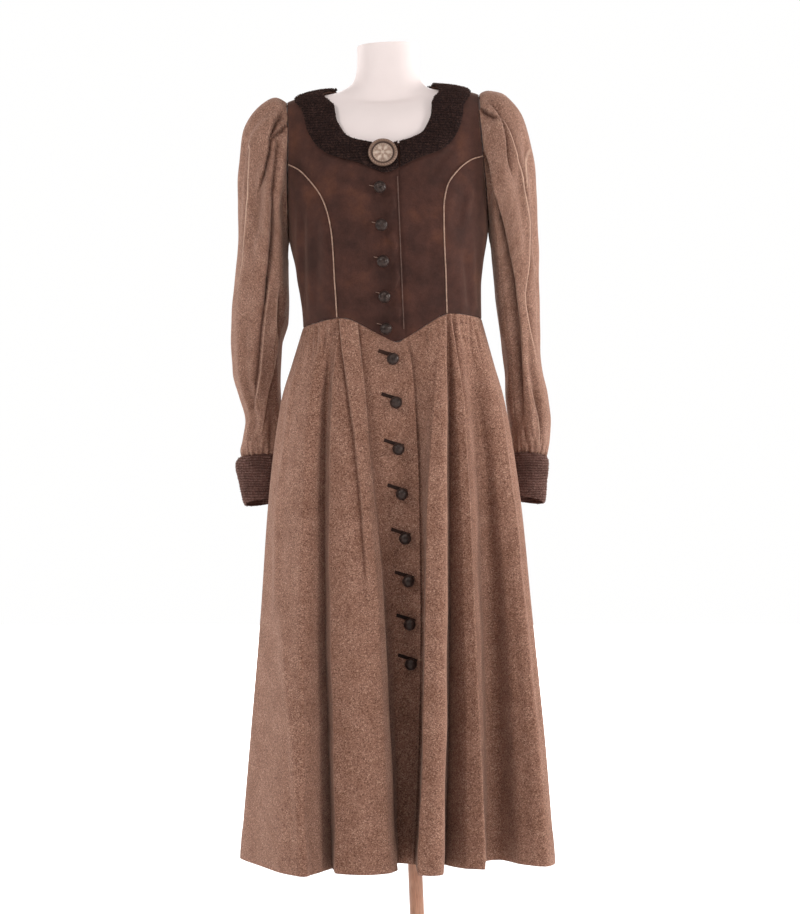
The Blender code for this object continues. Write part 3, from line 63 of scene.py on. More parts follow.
def new_material(name):
    """A node material, its tree and its shader."""
    material = bpy.data.materials.new(name)
    material.use_nodes = True
    return material, material.node_tree, material.node_tree.nodes["Principled BSDF"]


def node(tree, kind, inputs, **settings):
    """A shader node; each input is a number, a colour or another node's output."""
    made = tree.nodes.new(kind)
    for key, value in settings.items():
        setattr(made, key, value)
    for key, value in inputs.items():
        if isinstance(value, bpy.types.NodeSocket):
            tree.links.new(value, made.inputs[key])
        else:
            made.inputs[key].default_value = value
    return made


def maths(tree, operation, first, second=0.0, third=0.5):
    """One arithmetic step on two or three numbers or outputs."""
    inputs = {0: first, 1: second, 2: third}
    return node(tree, "ShaderNodeMath", inputs, operation=operation).outputs[0]


def noise(tree, place, per_metre, detail=3.0, roughness=0.55):
    """Cloudy noise of so many lumps to the metre, 0 to 1."""
    inputs = {"Vector": place, "Scale": per_metre, "Detail": detail, "Roughness": roughness}
    return node(tree, "ShaderNodeTexNoise", inputs).outputs["Fac"]


def ramp(tree, value, *stops):
    """Colours at rising positions between 0 and 1, mixed in between."""
    made = node(tree, "ShaderNodeValToRGB", {"Fac": value})
    elements = made.color_ramp.elements
    for element, (position, colour) in zip(elements, (stops[0], stops[-1])):
        element.position = position
        element.color = (*colour, 1)
    for position, colour in stops[1:-1]:
        elements.new(position).color = (*colour, 1)
    return made.outputs["Color"]


def blended(tree, share, first, second, blend="MIX"):
    """Two colours mixed by a share, or multiplied."""
    made = node(tree, "ShaderNodeMix", {0: share}, data_type="RGBA", blend_type=blend)
    for i, value in ((6, first), (7, second)):
        if isinstance(value, bpy.types.NodeSocket):
            tree.links.new(value, made.inputs[i])
        else:
            made.inputs[i].default_value = (*value, 1)
    return made.outputs[2]


def finished(tree, shader, colour, height, depth, strength=0.6):
    """Join a colour and a relief, so many metres deep, to the shader."""
    tree.links.new(colour, shader.inputs["Base Color"])
    inputs = {"Height": height, "Distance": depth, "Strength": strength}
    bump = node(tree, "ShaderNodeBump", inputs)
    tree.links.new(bump.outputs["Normal"], shader.inputs["Normal"])


def unit(vectors):
    """Vectors made one long."""
    return vectors / np.maximum(np.linalg.norm(vectors, axis=-1, keepdims=True), 1e-12)


def cells(spots):
    """The four corners of every cell of a grid of point numbers."""
    corners = [spots[:-1, :-1], spots[:-1, 1:], spots[1:, 1:], spots[1:, :-1]]
    return np.stack(corners, axis=-1).reshape(-1, 4)


def put_mesh(name, points, quads, material, triangles=(), uv=None, vertex_of=None, sharp=50):
    """A smooth piece from its points and faces, turned outwards if its volume comes out negative.

    With a uv list the faces' corners count through it, and vertex_of leads on to the points.
    """
    triangles = np.asarray(triangles, int).reshape(-1, 3)
    vertex_of = np.arange(len(points)) if vertex_of is None else vertex_of
    split = np.concatenate([quads[:, [0, 1, 2]], quads[:, [0, 2, 3]], triangles])
    a, b, c = (points[vertex_of[split[:, k]]] for k in range(3))
    if np.sum(a * np.cross(b, c)) < 0:
        quads, triangles = quads[:, ::-1], triangles[:, ::-1]
    corners = np.concatenate([quads.ravel(), triangles.ravel()]).astype(int)
    last_quad = 4 * len(quads)
    starts = [np.arange(0, last_quad, 4), np.arange(last_quad, len(corners), 3)]
    mesh = bpy.data.meshes.new(name)
    mesh.vertices.add(len(points))
    mesh.vertices.foreach_set("co", points.ravel().astype(np.float32))
    mesh.loops.add(len(corners))
    mesh.loops.foreach_set("vertex_index", vertex_of[corners].astype(np.int32))
    mesh.polygons.add(len(quads) + len(triangles))
    mesh.polygons.foreach_set("loop_start", np.concatenate(starts).astype(np.int32))
    if uv is not None:
        layer = mesh.uv_layers.new(name="cloth")
        layer.data.foreach_set("uv", uv[corners].ravel().astype(np.float32))
    mesh.update(calc_edges=True)
    mesh.validate()
    mesh.shade_smooth()
    mesh.set_sharp_from_angle(angle=math.radians(sharp))
    mesh.materials.append(material)
    piece = bpy.data.objects.new(name, mesh)
    bpy.context.collection.objects.link(piece)
    return piece


def fitted(piece, slot, *nodes):
    """The piece rides on the one body and stands for these solids, which are hidden; the slot is not used.
    """
    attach(piece, "root")
    if nodes:
        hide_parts(*nodes)


def turned_piece(name, radius, height, place, axis, material, sides=48, sharp=50):
    """A turned piece: rings of a radius at a height along its axis, closed by a point at each end.

    Radius and height are a row for each ring, and may vary round it in columns.
    """
    axis = unit(np.asarray(axis, float))
    across = unit(np.cross(axis, (0.0, 0.0, 1.0) if abs(axis[2]) < 0.9 else (0.0, 1.0, 0.0)))
    up = np.cross(across, axis)
    turn = 2 * np.pi * np.arange(sides) / sides
    radius, height = (np.asarray(value, float) for value in (radius, height))
    radius = radius[:, None] if radius.ndim == 1 else radius
    height = height[:, None] if height.ndim == 1 else height
    radius, height = radius + 0 * turn, height + 0 * turn
    spokes = across * np.cos(turn)[:, None] + up * np.sin(turn)[:, None]
    rings = place + radius[..., None] * spokes + height[..., None] * axis
    ends = place + np.array([height[0].mean(), height[-1].mean()])[:, None] * axis
    count = rings.shape[0] * sides
    spots = np.arange(count).reshape(-1, sides)
    spots = np.concatenate([spots, spots[:, :1]], axis=1)
    low = np.stack([spots[0, 1:], spots[0, :-1], np.full(sides, count)], axis=1)
    high = np.stack([spots[-1, :-1], spots[-1, 1:], np.full(sides, count + 1)], axis=1)
    points = np.concatenate([rings.reshape(-1, 3), ends])
    return put_mesh(name, points, cells(spots), material, np.concatenate([low, high]), sharp=sharp)


def pole_wood():
    """Beech: fine streaks stretched along the pole, under a thin satin oil."""
    material, tree, shader = new_material("pole_beech")
    place = node(tree, "ShaderNodeTexCoord", {}).outputs["Object"]
    stretched = node(tree, "ShaderNodeMapping", {"Vector": place, "Scale": (1, 1, 0.06)}).outputs[0]
    streak = noise(tree, stretched, 900, 4)
    cloud = noise(tree, place, 30)
    grain = ramp(tree, streak, (0.30, dyed(168, 118, 92)), (0.62, dyed(205, 152, 124)))
    warm = ramp(tree, cloud, (0.3, dyed(240, 226, 218)), (0.7, dyed(255, 255, 255)))
    finished(tree, shader, blended(tree, 1.0, grain, warm, "MULTIPLY"), streak, 0.0002)
    shader.inputs["Roughness"].default_value = 0.42
    return material


def form_paint(name, tint):
    """Matt off-white paint with a faint stipple and slightly uneven tone."""
    material, tree, shader = new_material(name)
    place = node(tree, "ShaderNodeTexCoord", {}).outputs["Object"]
    stipple = noise(tree, place, 700, 2)
    cloud = noise(tree, place, 9)
    tone = ramp(tree, cloud, (0.3, dyed(*(0.965 * np.array(tint)))), (0.7, dyed(*tint)))
    finished(tree, shader, tone, stipple, 0.0002, 0.35)
    shader.inputs["Roughness"].default_value = 0.6
    return material


underside = (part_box("form_pole")[1][2] - POLE_RADIUS * math.sin(LEAN)) / math.cos(LEAN)
foot = BASE_HEIGHT + SEAM
rise = np.linspace(foot, underside, 60)
turn = 2 * np.pi * np.arange(POLE_SIDES) / POLE_SIDES
pole_rings = np.stack([
    POLE_RADIUS * np.cos(turn) * np.ones((60, 1)) - rise[:, None] * math.tan(LEAN),
    POLE_RADIUS * np.sin(turn) * np.ones((60, 1)),
    np.broadcast_to(rise[:, None], (60, POLE_SIDES)),
], axis=-1)
# the top is cut square to the pole, the foot level
pole_rings[..., 2] += (rise[:, None] - foot) / (underside - foot) * (
    math.sin(LEAN) * POLE_RADIUS * np.cos(turn) - (1 - math.cos(LEAN)) * underside
)
pole_spots = np.arange(pole_rings.shape[0] * POLE_SIDES).reshape(-1, POLE_SIDES)
pole_spots = np.concatenate([pole_spots, pole_spots[:, :1]], axis=1)
pole_ends = np.array([pole_rings[0].mean(axis=0), pole_rings[-1].mean(axis=0)])
count = pole_rings.shape[0] * POLE_SIDES
caps = np.concatenate([
    np.stack([pole_spots[0, 1:], pole_spots[0, :-1], np.full(POLE_SIDES, count)], axis=1),
    np.stack([pole_spots[-1, :-1], pole_spots[-1, 1:], np.full(POLE_SIDES, count + 1)], axis=1),
])
pole_points = np.concatenate([pole_rings.reshape(-1, 3), pole_ends])
pole = put_mesh("pole", pole_points, cells(pole_spots), pole_wood(), caps)
fitted(pole, "pole_wood", "form_pole")

BASE_RIM = (
    (0.0, 0.004), (0.6, 0.0012), (1.0, 0.0), (1.0, 0.0030),
)
bend = np.radians(np.linspace(0, 90, 8))
base_radius = np.concatenate([[0.02, BASE_RADIUS - 0.002, BASE_RADIUS],
                              BASE_RADIUS - 0.004 * (1 - np.cos(bend)), [0.1, 0.02]])
base_height = np.concatenate([[0, 0, 0.002],
                              BASE_HEIGHT - 0.004 * (1 - np.sin(bend)), [BASE_HEIGHT] * 2])
base = turned_piece("base", base_radius, base_height, (0, 0, 0), (0, 0, 1),
                    form_paint("base_paint", (226, 219, 216)), sides=128, sharp=35)
fitted(base, "form_shell", "form_base")

# --- The dress form -----------------------------------------------------------------------------
# A limbless torso of moulded plastic, smooth and matt, from the seat to the neck. The neck ends
# in a flat cap, and the underside is closed by a flat plate that takes the pole.

FORM_INSET = 0.0020
SQUARENESS = 2.3                  # exponent of the body's oval sections
# The body, upright: a row for each level, from the form's underside to the neck's top
BODY_COLUMNS = ("front_z", "side_z", "back_z", "half_width", "front", "back", "centre_x")
BODY = {
    "underside": (0.800, 0.800, 0.800, 0.118, 0.064, 0.074, 0.000),
    "seat": (0.830, 0.830, 0.830, 0.142, 0.077, 0.089, 0.000),
    "hip": (0.900, 0.900, 0.900, 0.151, 0.083, 0.094, 0.000),
    "high_hip": (0.980, 0.980, 0.980, 0.146, 0.088, 0.091, 0.000),
    "waist": (1.055, 1.055, 1.055, 0.1405, 0.098, 0.088, 0.000),
    "ribs": (1.105, 1.105, 1.105, 0.1420, 0.108, 0.090, 0.000),
    "under_bust": (1.145, 1.145, 1.145, 0.1470, 0.117, 0.094, 0.000),
    "bust": (1.200, 1.200, 1.200, 0.1575, 0.125, 0.101, 0.000),
    "chest": (1.265, 1.268, 1.270, 0.1640, 0.122, 0.107, 0.000),
    "upper_chest": (1.322, 1.335, 1.335, 0.1670, 0.110, 0.110, 0.000),
    "yoke": (1.366, 1.388, 1.388, 0.1630, 0.092, 0.100, 0.000),
    "shoulder_tip": (1.390, 1.411, 1.412, 0.1550, 0.075, 0.082, 0.000),
    "shoulder": (1.402, 1.4235, 1.427, 0.1150, 0.062, 0.068, 0.002),
    "neck_foot": (1.408, 1.4310, 1.440, 0.0740, 0.052, 0.060, 0.003),
    "neck_flare": (1.430, 1.4460, 1.456, 0.0555, 0.048, 0.053, 0.008),
    "neck": (1.468, 1.4720, 1.474, 0.0509, 0.047, 0.048, 0.010),
    "neck_top": (1.5000, 1.5000, 1.5000, 0.0507, 0.047, 0.047, 0.011),
}


def smooth(knots, values, at):
    """Values at `at` on a curve through the rows: cubic in each span and never past its ends."""
    knots = np.asarray(knots, float)
    values = np.asarray(values, float)
    at = np.asarray(at, float)
    span = np.diff(knots).reshape((-1,) + (1,) * (values.ndim - 1))
    slope = np.diff(values, axis=0) / span
    before, after = slope[:-1], slope[1:]
    agree = before * after > 0
    total = np.where(agree, before + after, 1.0)
    tangent = np.concatenate([slope[:1], np.where(agree, 2 * before * after / total, 0), slope[-1:]])
    i = np.clip(np.searchsorted(knots, at, side="right") - 1, 0, len(knots) - 2)
    u = np.clip((at - knots[i]) / (knots[i + 1] - knots[i]), 0, 1)
    u = u.reshape(u.shape + (1,) * (values.ndim - 1))
    h = span[i]
    return (
        values[i] * (1 + 2 * u) * (1 - u) ** 2
        + tangent[i] * h * u * (1 - u) ** 2
        + values[i + 1] * u**2 * (3 - 2 * u)
        + tangent[i + 1] * h * u**2 * (u - 1)
    )


def signed_power(value, power):
    return np.sign(value) * np.abs(value) ** power


def leaned(points):
    """Upright points turned about the Y axis through the origin, top towards -X."""
    x, y, z = np.moveaxis(points, -1, 0)
    return np.stack(
        [x * math.cos(LEAN) - z * math.sin(LEAN), y, x * math.sin(LEAN) + z * math.cos(LEAN)],
        axis=-1,
    )


def upright(points):
    """The opposite of leaned."""
    x, y, z = np.moveaxis(points, -1, 0)
    return np.stack(
        [x * math.cos(LEAN) + z * math.sin(LEAN), y, z * math.cos(LEAN) - x * math.sin(LEAN)],
        axis=-1,
    )

BODY_ROWS = np.array(list(BODY.values()))
LEVEL = {name: i for i, name in enumerate(BODY)}


def body_upright(angle, level):
    """The body at an angle about its axis (0 front, 90 degrees at +X) and a level of BODY."""
    angle, level = np.broadcast_arrays(np.asarray(angle, float), np.asarray(level, float))
    row = smooth(np.arange(len(BODY_ROWS)), BODY_ROWS, level)
    front_z, side_z, back_z, half, front, back, centre = np.moveaxis(row, -1, 0)
    ahead = np.cos(angle) > 0
    x = centre + half * signed_power(np.sin(angle), 2 / SQUARENESS)
    y = -np.where(ahead, front, back) * signed_power(np.cos(angle), 2 / SQUARENESS)
    z = side_z + (np.where(ahead, front_z, back_z) - side_z) * np.cos(angle) ** 2
    return np.stack([x, y, z], axis=-1)


def surface_normals(surface, a, b, step_a, step_b):
    """Unit normals of surface(a, b), from its two slopes."""
    along_a = surface(a + step_a, b) - surface(a - step_a, b)
    along_b = surface(a, b + step_b) - surface(a, b - step_b)
    return unit(np.cross(along_a, along_b))


def body(angle, level, out=0.0):
    """A point on the leaning body, moved out along its normal."""
    out = np.asarray(out, float)[..., None]
    normals = surface_normals(body_upright, angle, level, 1e-3, 1e-2)
    return leaned(body_upright(angle, level) + normals * out)


FORM_SIDES = 120
form_angles = 2 * np.pi * np.arange(FORM_SIDES) / FORM_SIDES
form_levels = np.linspace(0, LEVEL["neck_top"], 120)
form_grid = body(form_angles[None], form_levels[:, None], -FORM_INSET)
form_spots = np.arange(form_grid.shape[0] * FORM_SIDES).reshape(-1, FORM_SIDES)
form_spots = np.concatenate([form_spots, form_spots[:, :1]], axis=1)
form_caps = []
form_points = [form_grid.reshape(-1, 3)]
count = form_grid.shape[0] * FORM_SIDES
for ring, order in ((0, -1), (-1, 1)):
    form_points.append(form_grid[ring].mean(axis=0)[None])
    pair = np.stack([form_spots[ring, :-1], form_spots[ring, 1:]], axis=1)[:, ::order]
    form_caps.append(np.column_stack([pair, np.full(FORM_SIDES, count)]))
    count += 1
form = put_mesh("torso", np.concatenate(form_points), cells(form_spots),
                form_paint("form_plastic", (236, 221, 217)), np.concatenate(form_caps))
fitted(form, "form_shell", "form_body")

# --- The bodice ---------------------------------------------------------------------------------
# Eight panels of brown goat suede on a form: two lapping fronts, two front and two back side
# panels and two backs, sewn edge to edge. The suede is mottled, soft and wrinkled at the sides.

FORM_GAP = 0.0008
SUEDE = 0.0014
PLY_GAP = 0.0011
FRONT_EDGE_X = 0.0195
LAP = 0.040
SUEDE_OUT = FORM_GAP + SUEDE      # the bodice's outer face, from the form
BODICE_LIFT = SUEDE + PLY_GAP     # how much further out the lapping front lies
# Seams of the bodice, upright, seen from the front
WAIST_COLUMNS = ("from_point", "height")
WAIST_SEAM = (
    (0.000, 1.0225),
    (0.025, 1.0350),
    (0.050, 1.0500),
    (0.070, 1.0610),
    (0.085, 1.0650),
    (0.105, 1.0635),
    (0.125, 1.0600),
    (0.145, 1.0560),
)
WAIST_POINT_X = 0.006
WAIST_BACK_Z = 1.056
PRINCESS_COLUMNS = ("height", "right_x", "left_x")
PRINCESS_SEAM = (
    (1.064, -0.0845, 0.0845),
    (1.100, -0.0850, 0.0848),
    (1.134, -0.0859, 0.0852),
    (1.190, -0.0867, 0.0850),
    (1.222, -0.0910, 0.0858),
    (1.259, -0.1035, 0.0925),
    (1.280, -0.1180, 0.1060),
    (1.300, -0.1353, 0.1255),
)
PRINCESS_TOP_Z = 1.312            # where the front princess seams run into the armholes
BACK_PRINCESS_COLUMNS = ("height", "distance")
BACK_PRINCESS = (
    (1.056, 0.060),
    (1.120, 0.062),
    (1.200, 0.070),
    (1.260, 0.088),
    (1.300, 0.118),
)
BACK_PRINCESS_TOP_Z = 1.320
ARMHOLE_COLUMNS = ("height", "distance")
ARMHOLE = (
    (1.198, 0.1573),
    (1.207, 0.1568),
    (1.222, 0.1560),
    (1.270, 0.1545),
    (1.310, 0.1525),
    (1.345, 0.1510),
    (1.380, 0.1500),
    (1.425, 0.1520),
)
UNDERARM_Z = 1.199
NECKLINE_COLUMNS = ("distance", "height")
NECKLINE = (
    (0.000, 1.3270),
    (0.020, 1.3310),
    (0.045, 1.3385),
    (0.061, 1.3480),
    (0.072, 1.3690),
    (0.0765, 1.3970),
)
NECKLINE_SIDE = 0.0780            # on the shoulder line
NECKLINE_BACK = ((0.070, 1.4320), (0.045, 1.4240), (0.020, 1.4190), (0.000, 1.4180))
WAIST_HALF_WIDTH = 0.1405
WAIST_COVER = 0.0006              # how far the panels reach down over the seam allowance
SEAM_ROWS = 10                    # rows up to the armhole, alike in panels that meet
TOP_ROWS = 7                      # rows from there up to the shoulder
UNDER_COLUMNS = 5                 # columns of the panels under the arm
# soft wrinkles of the suede: (height, distance) from its low end up, half-width and height; a
# trough is below 0
BODICE_WRINKLES = (
    (((1.048, -0.1460), (1.160, -0.1420), (1.266, -0.1378)), 0.0045, 0.0014),
    (((1.050, -0.1380), (1.150, -0.1350), (1.240, -0.1310)), 0.0040, -0.0013),
    (((1.055, -0.1271), (1.160, -0.1240), (1.258, -0.1202)), 0.0045, 0.0013),
    (((1.060, -0.1180), (1.150, -0.1130), (1.230, -0.1080)), 0.0050, -0.0009),
    (((1.120, -0.1020), (1.180, -0.0990), (1.250, -0.1010)), 0.0055, 0.0008),
    (((1.190, 0.1030), (1.225, 0.1100), (1.262, 0.1215)), 0.0070, -0.0022),
    (((1.200, 0.1180), (1.230, 0.1240), (1.270, 0.1330)), 0.0050, 0.0014),
    (((1.058, 0.1120), (1.095, 0.1090), (1.140, 0.1070)), 0.0080, 0.0012),
    (((1.056, 0.1290), (1.120, 0.1280), (1.190, 0.1300)), 0.0045, 0.0012),
    (((1.056, 0.1200), (1.110, 0.1180), (1.170, 0.1160)), 0.0045, -0.0010),
    (((1.270, -0.1000), (1.300, -0.0750), (1.322, -0.0600)), 0.0070, -0.0010),
    (((1.275, 0.0700), (1.300, 0.0850), (1.330, 0.1150)), 0.0070, -0.0010),
    (((1.090, -0.0700), (1.130, -0.0600), (1.180, -0.0560)), 0.0080, -0.0007),
    (((1.080, 0.0560), (1.130, 0.0640), (1.190, 0.0660)), 0.0080, -0.0008),
)
# where the placket puffs up between the buttons
BODICE_WRINKLES += (
    (((1.0530, 0.0050), (1.0690, 0.0110), (1.0880, 0.0020)), 0.0050, 0.0034),
    (((1.0540, -0.0120), (1.0700, -0.0060), (1.0860, -0.0090)), 0.0045, -0.0018),
    (((1.1020, 0.0020), (1.1240, 0.0110), (1.1430, 0.0050)), 0.0048, 0.0036),
    (((1.1030, -0.0080), (1.1200, -0.0030), (1.1400, -0.0110)), 0.0045, -0.0020),
    (((1.1560, 0.0040), (1.1720, 0.0100), (1.1960, 0.0010)), 0.0052, 0.0038),
    (((1.1570, -0.0130), (1.1750, -0.0050), (1.1940, -0.0080)), 0.0045, -0.0020),
    (((1.2100, 0.0010), (1.2330, 0.0100), (1.2540, 0.0050)), 0.0050, 0.0034),
    (((1.2120, -0.0090), (1.2300, -0.0040), (1.2520, -0.0110)), 0.0048, -0.0018),
)
BACK_WRINKLES = (
    (((1.060, -0.0900), (1.130, -0.0880), (1.220, -0.0960)), 0.0070, -0.0012),
    (((1.060, -0.0330), (1.100, -0.0300), (1.160, -0.0200)), 0.0080, -0.0010),
    (((1.058, 0.0300), (1.110, 0.0260), (1.180, 0.0220)), 0.0080, -0.0011),
    (((1.060, 0.0950), (1.140, 0.0900), (1.230, 0.1000)), 0.0070, -0.0012),
    (((1.240, 0.0600), (1.290, 0.0800), (1.350, 0.1200)), 0.0080, -0.0012),
    (((1.240, -0.0700), (1.300, -0.0850), (1.350, -0.1180)), 0.0080, -0.0010),
    (((1.062, 0.1200), (1.120, 0.1210), (1.190, 0.1300)), 0.0050, 0.0012),
    (((1.062, -0.1240), (1.130, -0.1230), (1.200, -0.1310)), 0.0050, 0.0012),
)


def column(columns, rows, name):
    """One named column of a table."""
    rows = rows.values() if isinstance(rows, dict) else rows
    return np.array([row[columns.index(name)] for row in rows], float)


def on_body(x, z, back=False):
    """The angle and level where the upright body has this x and height, as far as it has them."""
    levels = np.linspace(LEVEL["high_hip"], LEVEL["neck"], 700)
    row = smooth(np.arange(len(BODY_ROWS)), BODY_ROWS, levels)
    centre, half = row[:, 6], row[:, 3]
    found = []
    for one_x, one_z in np.broadcast(x, z):
        share = (one_x - centre) / half
        reach = np.abs(share) <= 1
        # the branch ends where the body grows narrower than this x, on the shoulder line
        top = np.argmax(~reach & (levels > LEVEL["bust"])) or len(levels)
        start = np.argmax(reach)
        angles = np.arcsin(signed_power(share[start:top], SQUARENESS / 2))
        if back:
            angles = np.where(angles < 0, -np.pi, np.pi) - angles
        heights = body_upright(angles, levels[start:top])[:, 2]
        found.append(
            [np.interp(one_z, heights, angles), np.interp(one_z, heights, levels[start:top])]
        )
    return np.array(found)


def shoulder_point(x):
    """The angle and level of a point on the shoulder line."""
    levels = np.linspace(LEVEL["yoke"], LEVEL["neck"], 400)
    row = smooth(np.arange(len(BODY_ROWS)), BODY_ROWS, levels)
    reach = row[:, 3] + np.sign(x) * row[:, 6]
    return np.array([np.sign(x) * np.pi / 2, np.interp(-abs(x), -reach, levels)])


def spaced(line, count):
    """The line resampled at even steps of real distance."""
    line = np.asarray(line, float)
    fine = smooth(np.arange(len(line)), line, np.linspace(0, len(line) - 1, 12 * len(line)))
    points = body(fine[:, 0], fine[:, 1])
    gone = np.r_[0, np.cumsum(np.linalg.norm(np.diff(points, axis=0), axis=1))]
    at = np.linspace(0, gone[-1], count)
    return np.stack([np.interp(at, gone, fine[:, 0]), np.interp(at, gone, fine[:, 1])], axis=1)


def waist_line(angles):
    """The waist seam at these angles: the level where the body meets the seam's height."""
    levels = np.linspace(LEVEL["high_hip"], LEVEL["ribs"] + 0.5, 300)
    line = []
    for angle in angles:
        points = body_upright(np.full(levels.shape, angle), levels)
        if math.cos(angle) > 0:
            from_point = np.abs(points[:, 0] - WAIST_POINT_X)
            seam = smooth(
                column(WAIST_COLUMNS, WAIST_SEAM, "from_point"),
                column(WAIST_COLUMNS, WAIST_SEAM, "height"),
                from_point,
            )
        else:
            seam = np.full(levels.shape, WAIST_BACK_Z)
        line.append([angle, np.interp(0, points[:, 2] - seam, levels)])
    return np.array(line)


def waist_angle(x, back=False):
    """The angle at which the waist has this upright x."""
    angle = math.asin(np.clip(signed_power(x / WAIST_HALF_WIDTH, SQUARENESS / 2), -1, 1))
    if back:
        angle = (math.pi if x >= 0 else -math.pi) - angle
    return angle


def armhole_line(side, front, z_low, z_high, count):
    """The armhole's edge from one height to another; side is -1 for the right, 1 for the left."""
    top = float(smooth(column(ARMHOLE_COLUMNS, ARMHOLE, "height"),
                       column(ARMHOLE_COLUMNS, ARMHOLE, "distance"), 1.42))
    tip = shoulder_point(side * top)
    tip_z = float(body_upright(tip[0], tip[1])[2])
    z_high = min(z_high, tip_z)
    # heights run evenly in the angle of an upright circle, so both ends are rounded
    middle = (tip_z + UNDERARM_Z) / 2
    radius = (tip_z - UNDERARM_Z) / 2
    low = math.acos(np.clip((z_low - middle) / radius, -1, 1))
    high = math.acos(np.clip((z_high - middle) / radius, -1, 1))
    heights = middle + radius * np.cos(np.linspace(low, high, count))
    distance = smooth(column(ARMHOLE_COLUMNS, ARMHOLE, "height"),
                      column(ARMHOLE_COLUMNS, ARMHOLE, "distance"), heights)
    line = on_body(side * distance, heights, back=not front)
    if z_low <= UNDERARM_Z:
        line[0, 0] = side * np.pi / 2
    if z_high >= tip_z:
        line[-1] = tip
    return line


def princess_line(side, count):
    """The front princess seam from the waist up to the armhole."""
    heights = column(PRINCESS_COLUMNS, PRINCESS_SEAM, "height")
    xs = column(PRINCESS_COLUMNS, PRINCESS_SEAM, "right_x" if side < 0 else "left_x")
    line = on_body(xs, heights)
    start = waist_line([waist_angle(xs[0])])
    end = armhole_line(side, True, PRINCESS_TOP_Z, 9.0, 8)[:1]
    return spaced(np.concatenate([start, line[1:], end]), count)


def back_princess_line(side, count):
    """The back seam from the waist up to the armhole."""
    heights = column(BACK_PRINCESS_COLUMNS, BACK_PRINCESS, "height")
    xs = side * column(BACK_PRINCESS_COLUMNS, BACK_PRINCESS, "distance")
    line = on_body(xs, heights, back=True)
    start = waist_line([waist_angle(xs[0], back=True)])
    end = armhole_line(side, False, BACK_PRINCESS_TOP_Z, 9.0, 8)[:1]
    return spaced(np.concatenate([start, line[1:], end]), count)


def side_line(side, count):
    """The side seam from the waist up to the underarm."""
    start = waist_line([side * np.pi / 2])[0]
    end = armhole_line(side, True, UNDERARM_Z, 9.0, 8)[0]
    share = np.linspace(0, 1, count)[:, None]
    return spaced(start * (1 - share) + end * share, count)


def edge_round(front_rows, side_x, back_rows, from_x, side):
    """A line round the neck from the front at from_x, over the shoulder, to the centre back."""
    distance = np.array([row[0] for row in front_rows])
    height = np.array([row[1] for row in front_rows])
    # an edge that starts on the far side of the centre comes back over it
    xs = np.concatenate([[from_x], side * distance])
    xs = xs[(xs - from_x) * side >= 0]
    xs = np.concatenate([[from_x], xs[np.abs(xs - from_x) > 0.006]])
    front = on_body(xs, smooth(distance, height, np.abs(xs)))
    back = on_body(
        side * np.array([row[0] for row in back_rows]),
        np.array([row[1] for row in back_rows]),
        back=True,
    )
    back[-1, 0] = side * np.pi
    over = shoulder_point(side * side_x)[None]
    return front, over, back


def neck_line(from_x, side, count, to_back=False):
    """The neckline from the front edge to the shoulder, or on to the centre back."""
    front, over, back = edge_round(NECKLINE, NECKLINE_SIDE, NECKLINE_BACK, from_x, side)
    pieces = [front, over, back] if to_back else [front, over]
    return spaced(np.concatenate(pieces), count)


def patch(left, right, low, high):
    """Grid between four edges: the blend of the sides plus that of the ends, less the corners."""
    left, right, low, high = (np.asarray(e, float) for e in (left, right, low, high))
    u = np.linspace(0, 1, len(low))[None, :, None]
    v = np.linspace(0, 1, len(left))[:, None, None]
    sides = left[:, None] * (1 - u) + right[:, None] * u
    ends = low[None] * (1 - v) + high[None] * v
    corners = (left[0] * (1 - u) + right[0] * u) * (1 - v) + (left[-1] * (1 - u) + right[-1] * u) * v
    return sides + ends - corners


def drawn_in(grid, surface, amount, edges="left right low high"):
    """The grid with its named edges moved inwards by an amount of real distance."""
    grid = grid.copy()
    points = surface(grid[..., 0], grid[..., 1])
    for edge, first, second in (
        ("left", np.s_[:, 0], np.s_[:, 1]),
        ("right", np.s_[:, -1], np.s_[:, -2]),
        ("low", np.s_[0], np.s_[1]),
        ("high", np.s_[-1], np.s_[-2]),
    ):
        if edge in edges.split():
            length = np.linalg.norm(points[second] - points[first], axis=-1, keepdims=True)
            share = np.clip(amount / np.maximum(length, 1e-6), 0, 0.5)
            grid[first] = grid[first] + (grid[second] - grid[first]) * share
    return grid


def lapped(x):
    """0 to 1 over the edge of the left front that the right one covers, by upright x."""
    start = FRONT_EDGE_X - LAP - 0.0300
    full = FRONT_EDGE_X - LAP - 0.0130
    return np.clip((x - start) / (full - start), 0, 1)


